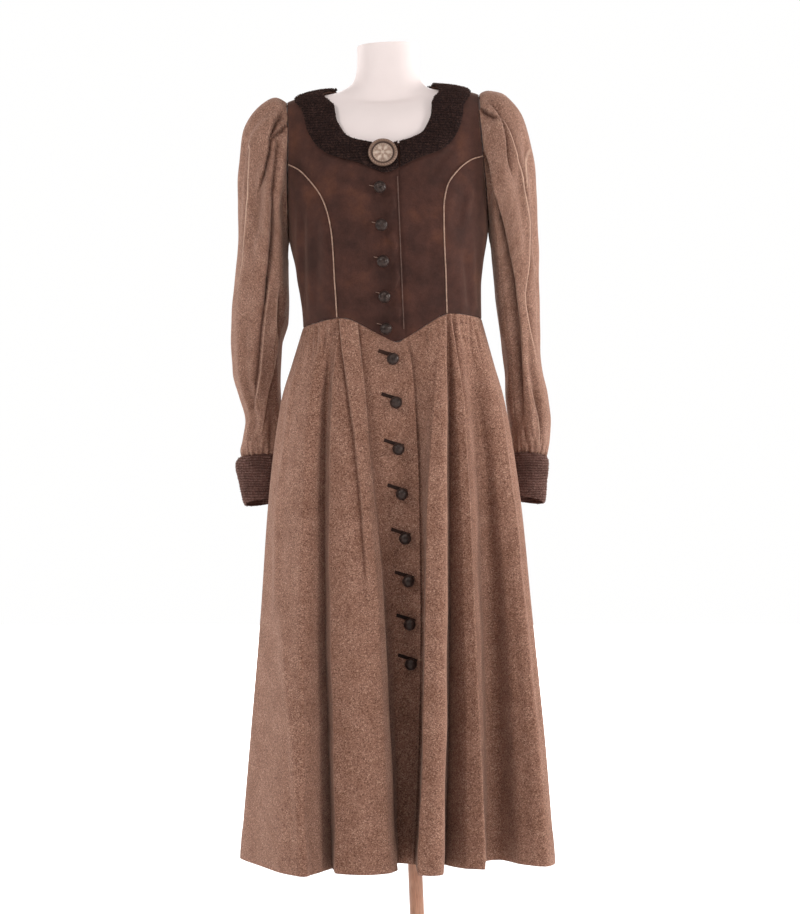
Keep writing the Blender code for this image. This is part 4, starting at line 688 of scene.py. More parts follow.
def half_grid(side, back, edge_x, stops):
    """A front or back panel: from its seam and armhole to its middle edge and neckline."""
    seam = (back_princess_line if back else princess_line)(side, SEAM_ROWS)
    top_z = BACK_PRINCESS_TOP_Z if back else PRINCESS_TOP_Z
    armhole = armhole_line(side, not back, top_z, 9.0, TOP_ROWS)
    outer = np.concatenate([seam, armhole[1:]])
    if back:
        front, over, rear = edge_round(NECKLINE, NECKLINE_SIDE, NECKLINE_BACK, 0.0, side)
        neck = spaced(np.concatenate([over, rear])[::-1], TOP_ROWS)
    else:
        neck = neck_line(edge_x, side, TOP_ROWS)
    start = waist_line([side * np.pi if back else waist_angle(edge_x)])[0]
    low, high = (float(body_upright(*point)[2]) for point in (start, neck[0]))
    # the back's rows lie closer together towards the top, where it turns over to the neck
    share = np.linspace(0, 1, SEAM_ROWS)
    heights = low + (high - low) * (1 - (1 - share) ** 1.7 if back else share)
    if back:
        edge = on_body(np.zeros(SEAM_ROWS), heights, back=True)
        edge[:, 0] = side * np.pi
    else:
        edge = on_body(np.full(SEAM_ROWS, edge_x), heights)
    inner = np.concatenate([edge, neck[1:]])
    u = stops[None, :, None]
    v = np.linspace(0, 1, len(outer))[:, None, None]
    waist = waist_line(outer[0, 0] + (inner[0, 0] - outer[0, 0]) * stops)
    bend = waist - (outer[0] * (1 - u[0]) + inner[0] * u[0])
    return outer[:, None] * (1 - u) + inner[:, None] * u + bend[None] * (1 - v) ** 2


def finer(grid, rows, columns):
    """A coarse grid read at more rows and columns, on smooth curves both ways."""
    grid = smooth(np.arange(len(grid)), grid, np.linspace(0, len(grid) - 1, rows))
    turned = np.moveaxis(grid, 1, 0)
    turned = smooth(np.arange(len(turned)), turned, np.linspace(0, len(turned) - 1, columns))
    return np.moveaxis(turned, 0, 1)


def bells(across, along, lines):
    """Soft ridges and troughs: a bell across each line, which fades out towards its ends."""
    total = 0 * across
    for path, width, height in lines:
        at, centre = np.array(path).T
        share = np.clip((along - at[0]) / (at[-1] - at[0]), 0, 1)
        fade = np.clip(np.minimum(share, 1 - share) / 0.25, 0, 1)
        away = (across - np.interp(along, at, centre)) / width
        total = total + height * np.exp(-away**2) * fade * fade * (3 - 2 * fade)
    return total


def rippled(points, size):
    """A smooth unevenness of about one unit: three crossing waves of a size in metres."""
    x, y, z = np.moveaxis(points / size, -1, 0)
    waves = np.sin(5.1 * x + 2.3 * z + 1) + np.sin(3.7 * z - 2.9 * y + 2.2 * x + 4)
    return (waves + np.sin(4.4 * y + 3.1 * z - 1.3 * x)) / 3


def edge_softened(outer, inner, share=0.35):
    """The outer face's border rows drawn towards the inner face, as a pressed edge is."""
    outer = outer.copy()
    for border in (np.s_[0], np.s_[-1], np.s_[:, 0], np.s_[:, -1]):
        outer[border] = outer[border] * (1 - share) + inner[border] * share
    return outer


def cloth_wall(name, outer, inner, material, closed=False, plain=None):
    """A wall of cloth between an outer and an inner grid, with rims; "closed" joins its sides.

    Its UV map "cloth" is in metres: the distance along a row from the middle, and the mean
    distance down, both measured on the plain form without small folds where one is given.
    """
    plain = outer if plain is None else plain
    rows, columns = outer.shape[:2]
    wide = columns + closed
    spots = np.arange(rows * wide).reshape(rows, wide)
    under = spots + spots.size
    borders = [(spots[0, ::-1], under[0, ::-1]), (spots[-1], under[-1])]
    if not closed:
        borders += [(spots[:, 0], under[:, 0]), (spots[::-1, -1], under[::-1, -1])]
    quads = [cells(spots), cells(under)[:, ::-1]]
    quads += [np.stack([e[:-1], e[1:], f[1:], f[:-1]], axis=-1) for e, f in borders]
    row, col = np.divmod(np.arange(rows * wide), wide)
    vertex = row * columns + col % columns
    whole = np.concatenate([plain, plain[:, :1]], axis=1) if closed else plain
    u = np.zeros((rows, wide))
    v = np.zeros((rows, wide))
    u[:, 1:] = np.cumsum(np.linalg.norm(np.diff(whole, axis=1), axis=-1), axis=1)
    v[1:] = np.cumsum(np.linalg.norm(np.diff(whole, axis=0), axis=-1).mean(axis=1))[:, None]
    u -= u[:, wide // 2][:, None]
    uv = np.stack([u, -v], axis=-1).reshape(-1, 2)
    points = np.concatenate([outer.reshape(-1, 3), inner.reshape(-1, 3)])
    vertex_of = np.concatenate([vertex, vertex + rows * columns])
    uv = np.concatenate([uv, uv])
    return put_mesh(name, points, np.concatenate(quads), material, uv=uv, vertex_of=vertex_of)


def cloth_piece(name, outer, inner, material, slot, nodes,
                closed=False, plain=None):
    """A cloth wall, riding on the one body and standing for its solids."""
    piece = cloth_wall(name, outer, inner, material, closed, plain)
    fitted(piece, slot, *nodes)
    middle = (outer + inner) / 2
    if closed:
        middle = np.concatenate([middle, middle[:, :1]], axis=1)
    return piece


def suede(name, dark, mid, warm):
    """Suede: dark and warm clouds of 5 cm, streaks of nap turned different ways, a velvet sheen."""
    material, tree, shader = new_material(name)
    place = node(tree, "ShaderNodeTexCoord", {}).outputs["Object"]
    cloud = noise(tree, place, 21, 5, 0.62)
    patch_of = noise(tree, place, 60, 4, 0.6)
    nap = noise(tree, place, 520, 3, 0.7)
    fine = noise(tree, place, 1500, 2)
    base = ramp(tree, cloud, (0.34, dark), (0.54, mid), (0.72, warm))
    brushed = ramp(tree, patch_of, (0.30, dyed(222, 215, 210)), (0.70, dyed(255, 255, 255)))
    colour = blended(tree, 0.8, base, brushed, "MULTIPLY")
    speckle = ramp(tree, nap, (0.30, dyed(224, 219, 216)), (0.70, dyed(255, 255, 255)))
    height = maths(tree, "ADD", nap, maths(tree, "MULTIPLY", fine, 0.5))
    finished(tree, shader, blended(tree, 0.9, colour, speckle, "MULTIPLY"), height, 0.0005, 0.55)
    shader.inputs["Roughness"].default_value = 0.93
    shader.inputs["Specular IOR Level"].default_value = 0.2
    shader.inputs["Sheen Weight"].default_value = 0.35
    shader.inputs["Sheen Roughness"].default_value = 0.45
    shader.inputs["Sheen Tint"].default_value = (*dyed(190, 150, 130), 1)
    return material


bodice_suede = suede("bodice_suede", dyed(61, 39, 34), dyed(76, 48, 41), dyed(93, 58, 45))


def suede_panel(word, grid, rows, columns, edges="left right low high", lift=False):
    """A bodice panel from its coarse grid of angles and levels."""
    grid = drawn_in(finer(grid, rows, columns), body, SEAM / 2, edges)
    angle, level = grid[..., 0], grid[..., 1]
    place = body_upright(angle, level)
    x, y, z = np.moveaxis(place, -1, 0)
    extra = BODICE_LIFT * lapped(x) if lift else 0 * angle
    front = np.where(y < 0, bells(x, z, BODICE_WRINKLES), bells(x, z, BACK_WRINKLES))
    u = np.linspace(0, 1, columns)[None]
    v = np.linspace(0, 1, rows)[:, None]
    still = np.clip(np.minimum(np.minimum(u, 1 - u), np.minimum(v, 1 - v)) / 0.045, 0, 1)
    relief = (1.7 * front + 0.0007 * (rippled(place, 0.05) - 0.2)) * still
    relief = np.maximum(relief, -0.0018)
    outer = body(angle, level, SUEDE_OUT + extra + relief)
    inner = body(angle, level, FORM_GAP + extra + relief)
    for wall in (outer, inner):
        wall[0] += unit(wall[0] - wall[1]) * WAIST_COVER
    outer = edge_softened(outer, inner)
    cloth_piece(f"bodice_{word}_suede", outer, inner, bodice_suede, "suede", [f"bodice_{word}"])


right_stops = np.array([0, 0.14, 0.28, 0.41, 0.51, 0.62, 0.74, 0.87, 1.0])
suede_panel("front_left", half_grid(1, False, FRONT_EDGE_X - LAP, np.linspace(0, 1, 8)), 104, 56)
suede_panel("front_right", half_grid(-1, False, FRONT_EDGE_X, right_stops), 104, 60, lift=True)
for side, word in ((-1, "right"), (1, "left")):
    seam = side_line(side, SEAM_ROWS)
    princess = princess_line(side, SEAM_ROWS)
    low = waist_line(np.linspace(princess[0, 0], seam[0, 0], UNDER_COLUMNS))
    high = armhole_line(side, True, UNDERARM_Z, PRINCESS_TOP_Z, UNDER_COLUMNS)[::-1]
    suede_panel(f"side_front_{word}", patch(princess, seam, low, high), 90, 40)
    back_seam = back_princess_line(side, SEAM_ROWS)
    low = waist_line(np.linspace(seam[0, 0], back_seam[0, 0], UNDER_COLUMNS))
    high = armhole_line(side, False, UNDERARM_Z, BACK_PRINCESS_TOP_Z, UNDER_COLUMNS)
    suede_panel(f"side_back_{word}", patch(seam, back_seam, low, high), 90, 40)
    suede_panel(f"back_{word}", half_grid(side, True, 0.0, np.linspace(0, 1, 8)), 92, 44)

# --- The piping ---------------------------------------------------------------------------------
# A thin tan cord of two twisted strands, sewn along both princess seams and the lapping edge.

PIPING = 0.0022
PIPING_GAP = 0.0008
COLLAR_COLUMNS = ("distance", "height")
COLLAR = (
    (0.000, 1.2830),
    (0.020, 1.2900),
    (0.040, 1.3000),
    (0.060, 1.3080),
    (0.080, 1.3150),
    (0.096, 1.3240),
    (0.110, 1.3420),
    (0.120, 1.3660),
    (0.126, 1.3930),
)


def piping_cord(name, dark, light):
    """Twisted cotton: slanting strands along the cord, and a thread's fuzz."""
    material, tree, shader = new_material(name)
    place = node(tree, "ShaderNodeUVMap", {}, uv_map="cloth").outputs["UV"]
    spread = node(tree, "ShaderNodeSeparateXYZ", {0: place}).outputs
    slant = maths(tree, "ADD", maths(tree, "MULTIPLY", spread[0], 900.0),
                  maths(tree, "MULTIPLY", spread[1], 2200.0))
    strand = maths(tree, "ABSOLUTE", maths(tree, "SINE", slant))
    wear_and_painted_light = noise(tree, node(tree, "ShaderNodeTexCoord", {}).outputs["Object"], 160)
    tone = ramp(tree, wear_and_painted_light, (0.3, dark), (0.7, light))
    # painted shade: darker in the grooves between the strands
    shade = ramp(tree, strand, (0.0, dyed(190, 178, 170)), (0.5, dyed(255, 255, 255)))
    finished(tree, shader, blended(tree, 1.0, tone, shade, "MULTIPLY"), strand, 0.0004)
    shader.inputs["Roughness"].default_value = 0.8
    return material


def cord_along(name, path, outward, diameter, material, sides=10):
    """A cord of round section along a path; its strands stand proud in a slow twist."""
    gone = np.r_[0, np.cumsum(np.linalg.norm(np.diff(path, axis=0), axis=1))]
    at = np.linspace(0, gone[-1], int(gone[-1] / 0.0012) + 2)
    path = smooth(gone, path, at)
    outward = smooth(gone, outward, at)
    ahead = unit(np.gradient(path, axis=0))
    outward = unit(outward - ahead * np.sum(outward * ahead, axis=1, keepdims=True))
    aside = np.cross(ahead, outward)
    turn = 2 * np.pi * np.arange(sides) / sides
    radius = diameter / 2 * (0.95 + 0.05 * np.cos(2 * turn[None] - at[:, None] * 2 * np.pi / 0.008))
    ring = outward[:, None] * np.cos(turn)[None, :, None]
    ring = ring + aside[:, None] * np.sin(turn)[None, :, None]
    points = (path[:, None] + ring * radius[..., None]).reshape(-1, 3)
    rows, wide = len(path), sides + 1
    spots = np.arange(rows * wide).reshape(rows, wide)
    row, col = np.divmod(np.arange(rows * wide), wide)
    vertex_of = np.concatenate([row * sides + col % sides, rows * sides + np.arange(2)])
    uv = np.column_stack([at[row], col * np.pi * diameter / sides])
    uv = np.concatenate([uv, [[0.0, 0.0], [at[-1], 0.0]]])
    first, last = rows * wide, rows * wide + 1
    ends = np.concatenate([
        np.stack([spots[0, 1:], spots[0, :-1], np.full(sides, first)], axis=1),
        np.stack([spots[-1, :-1], spots[-1, 1:], np.full(sides, last)], axis=1),
    ])
    points = np.concatenate([points, path[[0, -1]]])
    return put_mesh(name, points, cells(spots), material, ends, uv=uv, vertex_of=vertex_of)


piping_cotton = piping_cord("piping_cotton", dyed(140, 108, 92), dyed(182, 148, 128))
# the same cord along the lapping edge, painted darker as shade along that edge
edge_cotton_painted_shade = piping_cord("edge_cotton_painted_shade", dyed(78, 54, 46), dyed(104, 76, 65))
for side, word in ((-1, "right"), (1, "left")):
    line = princess_line(side, SEAM_ROWS)
    path = body(line[:, 0], line[:, 1], np.full(len(line), SUEDE_OUT + PIPING_GAP + PIPING / 2))
    outward = path - body(line[:, 0], line[:, 1])
    path[0] += unit(path[1] - path[0]) * 0.001
    path[-1] += unit(path[-2] - path[-1]) * 0.004
    cord = cord_along(f"piping_{word}", path, outward, PIPING, piping_cotton)
    fitted(cord, "piping", f"piping_princess_{word}")
start = waist_line([waist_angle(FRONT_EDGE_X)])[0]
heights = np.linspace(float(body_upright(*start)[2]), COLLAR[1][1], 2 * SEAM_ROWS)[1:-1]
line = on_body(np.full(len(heights), FRONT_EDGE_X - PIPING), heights)
out = np.full(len(line), SUEDE_OUT + BODICE_LIFT + PIPING_GAP + PIPING / 2)
path = body(line[:, 0], line[:, 1], out)
outward = path - body(line[:, 0], line[:, 1])
fitted(cord_along("piping_edge", path, outward, 0.8 * PIPING, edge_cotton_painted_shade), "piping",
       "piping_front_edge")

# --- The collar ---------------------------------------------------------------------------------
# Two halves of a flat collar in near-black plush, round the neck from the front edges to the
# centre back. The pile stands in fine rows of short tufts with paler tips, shaggy at the neck.

COLLAR_GAP = 0.0026
PLUSH = 0.0030
COLLAR_SIDE = 0.1290
COLLAR_BACK = ((0.121, 1.4005), (0.095, 1.3850), (0.050, 1.3760), (0.000, 1.3740))


def collar_line(from_x, side, count):
    """The collar's outer edge from its front end to the centre back."""
    return spaced(
        np.concatenate(edge_round(COLLAR, COLLAR_SIDE, COLLAR_BACK, from_x, side)), count
    )

TUFT_SPACING = 0.0017
TUFT_HEIGHT = 0.0016
PILE_ROW = 0.0042                 # from one row of pile to the next


def plush(name, root, tip, speck):
    """Pile in level rows: dark at the root, paler at the tip, brown specks where it parts."""
    material, tree, shader = new_material(name)
    place = node(tree, "ShaderNodeTexCoord", {}).outputs["Object"]
    tips = node(tree, "ShaderNodeAttribute", {}, attribute_name="tip").outputs["Fac"]
    clump = noise(tree, place, 260, 3, 0.7)
    cloud = noise(tree, place, 36)
    pile = ramp(tree, tips, (0.0, root), (1.0, tip))
    specks = ramp(tree, clump, (0.50, (0, 0, 0)), (0.68, (1, 1, 1)))
    colour = blended(tree, maths(tree, "MULTIPLY", specks, 0.4), pile, speck)
    height_here = node(tree, "ShaderNodeSeparateXYZ", {0: place}).outputs["Z"]
    turned = maths(tree, "MULTIPLY_ADD", height_here, 2 * math.pi / PILE_ROW,
                   maths(tree, "MULTIPLY", cloud, 9.0))
    rows = ramp(tree, maths(tree, "MULTIPLY_ADD", maths(tree, "SINE", turned), 0.5, 0.5),
                (0.15, dyed(196, 186, 182)), (0.60, dyed(255, 255, 255)))
    colour = blended(tree, 1.0, colour, rows, "MULTIPLY")
    shade = ramp(tree, cloud, (0.3, dyed(205, 200, 198)), (0.7, dyed(255, 255, 255)))
    finished(tree, shader, blended(tree, 1.0, colour, shade, "MULTIPLY"), clump, 0.0008)
    shader.inputs["Roughness"].default_value = 0.95
    shader.inputs["Specular IOR Level"].default_value = 0.15
    shader.inputs["Sheen Weight"].default_value = 0.12
    shader.inputs["Sheen Roughness"].default_value = 0.4
    shader.inputs["Sheen Tint"].default_value = (*dyed(200, 160, 140), 1)
    return material


def tufts(name, outer, inner, spacing, height, material, seed):
    """Short pile on a cloth's outer face: a closed four-faced tuft at each of many random places.

    A place is a random spot in a random cell, chosen by the cell's area; a tuft leans at random.
    """
    maker = np.random.default_rng(seed)
    a, b, c, d = outer[:-1, :-1], outer[:-1, 1:], outer[1:, 1:], outer[1:, :-1]
    facing = np.cross(b - a, d - a)
    outward = outer - inner
    facing *= np.sign(np.sum(facing * outward[:-1, :-1], axis=-1, keepdims=True))
    area = np.linalg.norm(facing, axis=-1).ravel()
    count = int(area.sum() / spacing**2)
    cell = maker.choice(area.size, count, p=area / area.sum())
    p, q = maker.random((2, count, 1))
    corner = [grid.reshape(-1, 3)[cell] for grid in (a, b, c, d)]
    place = (corner[0] * (1 - p) + corner[1] * p) * (1 - q) + (corner[3] * (1 - p) + corner[2] * p) * q
    normal = unit(facing.reshape(-1, 3)[cell])
    along = unit((corner[1] - corner[0]))
    across = np.cross(normal, along)
    spin = maker.random((count, 1)) * 2 * np.pi
    foot = []
    for third in range(3):
        swing = spin + third * 2 * np.pi / 3
        ray = along * np.cos(swing) + across * np.sin(swing)
        foot.append(place - normal * 0.0002 + ray * spacing * 0.55)
    tall = height * (0.6 + 0.8 * maker.random((count, 1)))
    lean = (maker.random((count, 3)) - 0.5) * height * 1.3
    top = place + normal * tall + lean - normal * np.sum(lean * normal, axis=1, keepdims=True)
    points = np.stack([*foot, top], axis=1).reshape(-1, 3)
    base = 4 * np.arange(count)[:, None]
    faces = np.concatenate([base + np.array(f) for f in ((0, 1, 3), (1, 2, 3), (2, 0, 3), (0, 2, 1))])
    piece = put_mesh(name, points, np.zeros((0, 4), int), material, faces, sharp=180)
    tip = np.tile([0.0, 0.0, 0.0, 1.0], count).astype(np.float32)
    piece.data.attributes.new("tip", "FLOAT", "POINT").data.foreach_set("value", tip)
    return piece


collar_plush = plush("collar_plush", dyed(38, 25, 24), dyed(84, 60, 56), dyed(112, 82, 72))
for side, word, from_x, lift in (
    (-1, "right", FRONT_EDGE_X, True),
    (1, "left", FRONT_EDGE_X + 0.0030, False),
):
    count, across = 26, 6
    inner_edge = neck_line(from_x, side, count, to_back=True)
    outer_edge = collar_line(from_x, side, count)
    share = np.linspace(0, 1, across)[:, None]
    front = inner_edge[0] * (1 - share) + outer_edge[0] * share
    back = inner_edge[-1] * (1 - share) + outer_edge[-1] * share
    grid = finer(patch(inner_edge, outer_edge, front, back), 170, 30)
    grid = drawn_in(grid, body, SEAM / 2, "high" if side < 0 else "low high")
    angle, level = grid[..., 0], grid[..., 1]
    place = body_upright(angle, level)
    extra = BODICE_LIFT * lapped(place[..., 0]) * (place[..., 1] < 0) if lift else 0.0
    low = SUEDE_OUT + COLLAR_GAP + extra + 0 * angle
    u = np.linspace(0, 1, 30)[None]
    plump = np.sin(np.pi * np.clip(u, 0.0, 1.0)) ** 0.35
    outer = body(angle, level, low + PLUSH * (0.45 + 0.55 * plump))
    inner = body(angle, level, low)
    pile = tufts(f"collar_pile_{word}", outer, inner, TUFT_SPACING, TUFT_HEIGHT, collar_plush,
                 11 + side)
    fitted(pile, "plush")
    cloth_piece(f"collar_{word}_plush", outer, inner, collar_plush, "plush", [f"collar_{word}"])

# --- The skirt ----------------------------------------------------------------------------------
# Four panels of brown heathered wool tweed, gathered into the waist seam under the bodice and
# falling in deep soft pleats to a level hem. The right front laps over the left down the placket.

TWEED = 0.0016
HEM_HEIGHT = 0.200
SKIRT_OUT = FORM_GAP + TWEED
SKIRT_LIFT = TWEED + PLY_GAP
SKIRT_GAP = 0.0010                # below the bodice's waist edge
LEVEL_SHARE = (0.0, 0.10, 0.175, 0.345, 0.55, 0.755, 1.0)   # along the skirt, waist to hem
# The skirt's sections: the plain oval at each level, and how much of the hem's pleat depth shows
SKIRT_COLUMNS = ("height", "centre_x", "half_width", "front", "back", "pleat_share")
SKIRT = {
    "high_hip": (0.990, -0.0432, 0.1616, 0.113, 0.108, 0.13),
    "hip": (0.930, -0.0436, 0.1788, 0.124, 0.124, 0.26),
    "thigh": (0.775, -0.0412, 0.2012, 0.136, 0.142, 0.48),
    "knee": (0.590, -0.0384, 0.2168, 0.140, 0.154, 0.70),
    "calf": (0.410, -0.0368, 0.2336, 0.141, 0.162, 0.86),
    "hem": (HEM_HEIGHT, -0.0372, 0.2508, 0.142, 0.170, 1.00),
}
# The front's fold lines, from the right side seam to the left one: upright distance at the waist,
# then X at each level of SKIRT, then Y at the hem
FOLD_COLUMNS = ("waist", "high_hip", "hip", "thigh", "knee", "calf", "hem", "hem_y")
FRONT_FOLDS = {
    "right_side_seam": (-0.1410, -0.2048, -0.2224, -0.2424, -0.2552, -0.2704, -0.2880, 0.005),
    "right_hip_turn": (-0.1350, -0.1930, -0.2070, -0.2260, -0.2340, -0.2430, -0.2530, -0.072),
    "roll_a_outer": (-0.1250, -0.1760, -0.1870, -0.2000, -0.2050, -0.2090, -0.2130, -0.147),
    "roll_a_top": (-0.1170, -0.1610, -0.1700, -0.1790, -0.1810, -0.1810, -0.1790, -0.177),
    "roll_a_inner": (-0.1090, -0.1510, -0.1580, -0.1650, -0.1660, -0.1640, -0.1610, -0.147),
    "valley_ab": (-0.0990, -0.1430, -0.1470, -0.1500, -0.1490, -0.1440, -0.1360, -0.088),
    "pleat_b_outer": (-0.0900, -0.1370, -0.1393, -0.1415, -0.1402, -0.1364, -0.1324, -0.143),
    "pleat_b_top": (-0.0800, -0.1190, -0.1150, -0.1080, -0.1010, -0.0940, -0.0860, -0.163),
    "pleat_b_brow": (-0.0640, -0.1040, -0.0980, -0.0850, -0.0700, -0.0620, -0.0510, -0.147),
    "pleat_b_edge": (-0.0520, -0.0905, -0.0843, -0.0708, -0.0553, -0.0467, -0.0360, -0.108),
    "pleat_b_foot": (-0.0450, -0.0835, -0.0775, -0.0645, -0.0500, -0.0430, -0.0352, -0.070),
    "lap_under_edge": (-0.0205, -0.0540, -0.0487, -0.0410, -0.0372, -0.0366, -0.0335, -0.050),
    "placket_middle": (0.0060, -0.0340, -0.0287, -0.0210, -0.0170, -0.0180, -0.0210, -0.052),
    "placket_edge": (0.0202, -0.0142, -0.0087, -0.0009, 0.0015, -0.0010, -0.0085, -0.064),
    "pleat_c_foot": (0.0360, 0.0010, 0.0060, 0.0062, 0.0037, 0.0004, -0.0074, -0.105),
    "pleat_c_outer": (0.0600, 0.0200, 0.0185, 0.0105, 0.0062, 0.0020, -0.0055, -0.163),
    "pleat_c_top": (0.0720, 0.0320, 0.0300, 0.0260, 0.0230, 0.0200, 0.0150, -0.171),
    "pleat_c_brow": (0.0800, 0.0385, 0.0380, 0.0375, 0.0370, 0.0355, 0.0300, -0.164),
    "pleat_c_edge": (0.0845, 0.0418, 0.0415, 0.0415, 0.0410, 0.0397, 0.0356, -0.142),
    "valley_cd": (0.0880, 0.0450, 0.0460, 0.0470, 0.0470, 0.0455, 0.0395, -0.058),
    "ridge_d_outer": (0.0930, 0.0530, 0.0570, 0.0650, 0.0700, 0.0740, 0.0740, -0.104),
    "ridge_d_top": (0.0990, 0.0605, 0.0663, 0.0770, 0.0840, 0.0915, 0.0960, -0.110),
    "ridge_d_brow": (0.1040, 0.0670, 0.0735, 0.0850, 0.0925, 0.0995, 0.1030, -0.088),
    "valley_de_near": (0.1090, 0.0740, 0.0810, 0.0930, 0.1000, 0.1050, 0.1070, -0.030),
    "valley_de_far": (0.1150, 0.0830, 0.0920, 0.1070, 0.1160, 0.1230, 0.1270, -0.017),
    "panel_e_near": (0.1230, 0.0950, 0.1060, 0.1250, 0.1380, 0.1490, 0.1580, -0.056),
    "panel_e_far": (0.1330, 0.1085, 0.1240, 0.1470, 0.1640, 0.1810, 0.1960, -0.083),
    "left_side_seam": (0.1410, 0.1184, 0.1352, 0.1600, 0.1784, 0.1968, 0.2136, -0.040),
}
# The back's fold lines, on round to the right side seam: distance at the waist, then X and Y at
# the hem; in between they follow the oval
BACK_FOLD_COLUMNS = ("waist", "hem", "hem_y")
BACK_FOLDS = {
    "left_hip_turn": (0.1330, 0.2060, 0.020),
    "left_roll_outer": (0.1220, 0.1850, 0.082),
    "left_roll_top": (0.1120, 0.1560, 0.135),
    "left_roll_inner": (0.1030, 0.1320, 0.118),
    "left_valley": (0.0920, 0.1140, 0.088),
    "left_pleat_outer": (0.0800, 0.0950, 0.132),
    "left_pleat_top": (0.0660, 0.0660, 0.172),
    "left_pleat_inner": (0.0540, 0.0330, 0.158),
    "left_back_valley": (0.0380, 0.0080, 0.112),
    "back_left_rise": (0.0200, -0.0120, 0.144),
    "centre_back": (0.0000, -0.0360, 0.161),
    "back_right_rise": (-0.0200, -0.0620, 0.146),
    "right_back_valley": (-0.0380, -0.0860, 0.108),
    "right_pleat_inner": (-0.0540, -0.1080, 0.150),
    "right_pleat_top": (-0.0660, -0.1420, 0.168),
    "right_pleat_outer": (-0.0800, -0.1700, 0.136),
    "right_valley": (-0.0920, -0.1930, 0.090),
    "right_roll_inner": (-0.1030, -0.2110, 0.112),
    "right_roll_top": (-0.1120, -0.2380, 0.116),
    "right_roll_outer": (-0.1220, -0.2640, 0.078),
    "right_hip_back": (-0.1330, -0.2800, 0.040),
}


def oval_depth(level, x, back):
    """Y of the plain oval of a level at this x."""
    height, centre, half, front, rear, share = SKIRT[level]
    side = np.sqrt(max(1 - ((x - centre) / half) ** 2, 0.0))
    return rear * side if back else -front * side


def waist_points(xs, backs):
    """Points of the waist seam on the leaning body, just below the bodice's edge."""
    angles = np.array([waist_angle(x, back) for x, back in zip(xs, backs)])
    line = waist_line(angles)
    points = body(line[:, 0], line[:, 1], np.full(len(line), SKIRT_OUT))
    points[:, 2] -= SKIRT_GAP
    return points


def fold_lines():
    """Points of every fold line at the waist and at each level: (lines, levels, 3)."""
    names = list(FRONT_FOLDS) + list(BACK_FOLDS)
    backs = [name in BACK_FOLDS for name in names]
    waist = [(FRONT_FOLDS.get(name) or BACK_FOLDS[name])[0] for name in names]
    lines = [[point] for point in waist_points(waist, backs)]
    for name, back, waist_x, line in zip(names, backs, waist, lines):
        hem_x, hem_y = (BACK_FOLDS if back else FRONT_FOLDS)[name][-2:]
        proud = hem_y - oval_depth("hem", hem_x, back or hem_y > 0)
        for i, (level, row) in enumerate(SKIRT.items()):
            height, centre, half, front, rear, share = row
            if back:
                hem_centre, hem_half = SKIRT["hem"][1:3]
                spread = (LEVEL_SHARE[i + 1]) ** 0.6
                at = (1 - spread) * waist_x / WAIST_HALF_WIDTH + spread * (hem_x - hem_centre) / hem_half
                x = centre + half * at
            else:
                x = FRONT_FOLDS[name][i + 1]
            y = oval_depth(level, x, back or hem_y > 0) + share * proud
            line.append(np.array([x, y, height]))
    return names, np.array(lines)

FOLD_NAMES, FOLD_POINTS = fold_lines()
FOLD_AT = {name: i for i, name in enumerate(FOLD_NAMES)}
TURN = len(FOLD_NAMES)            # one turn round the skirt, in fold lines


def skirt_lift(s):
    """How much further out the lapping front lies at a fold line."""
    start, full = FOLD_AT["pleat_b_foot"], FOLD_AT["lap_under_edge"] - 0.05
    return SKIRT_LIFT * np.clip((s - start) / (full - start), 0, 1)


def skirt_surface(s, v):
    """The skirt at fold-line positions s (a row for each v) and shares v down it.

    Each fold line is a smooth curve down through its levels; round the skirt each span is cubic,
    and level where the fold turns back.
    """
    down = smooth(LEVEL_SHARE, np.moveaxis(FOLD_POINTS, 1, 0), v)
    ring = down[:, np.arange(-3, TURN + 4) % TURN]
    base = np.floor(s).astype(int)
    u = (s - base)[..., None]
    row = np.arange(len(v))[:, None]
    before, a, b, after = (ring[row, base + 3 + k] for k in (-1, 0, 1, 2))

    def tangent(p, q, r):
        """The slope at q: the harmonic mean of both sides' steps, or none where they disagree."""
        first, second = q - p, r - q
        agree = first * second > 0
        return np.where(agree, 2 * first * second / np.where(agree, first + second, 1.0), 0)

    return (
        a * (1 + 2 * u) * (1 - u) ** 2
        + tangent(before, a, b) * u * (1 - u) ** 2
        + b * u**2 * (3 - 2 * u)
        + tangent(a, b, after) * u**2 * (u - 1)
    )


def skirt_point(s, v, out):
    """Points at a signed distance outside the skirt's face; s and out have a row for each v."""
    near_v = np.clip(v, 0.003, 0.997)
    near_s = np.clip(s, 0.05, TURN - 0.05)
    round_it = skirt_surface(near_s + 0.04, near_v) - skirt_surface(near_s - 0.04, near_v)
    along = skirt_surface(near_s, near_v + 0.002) - skirt_surface(near_s, near_v - 0.002)
    normals = unit(np.cross(round_it, along))
    return skirt_surface(np.mod(s, TURN), v) - normals * out[..., None]


# further soft folds between the large ones: (share down, fold-line position) from its top down,
# half-width in fold lines, height in metres
def at_fold(name, beside=0.0):
    """The number of a fold line, or a place a little beside it."""
    return FOLD_AT[name] + beside


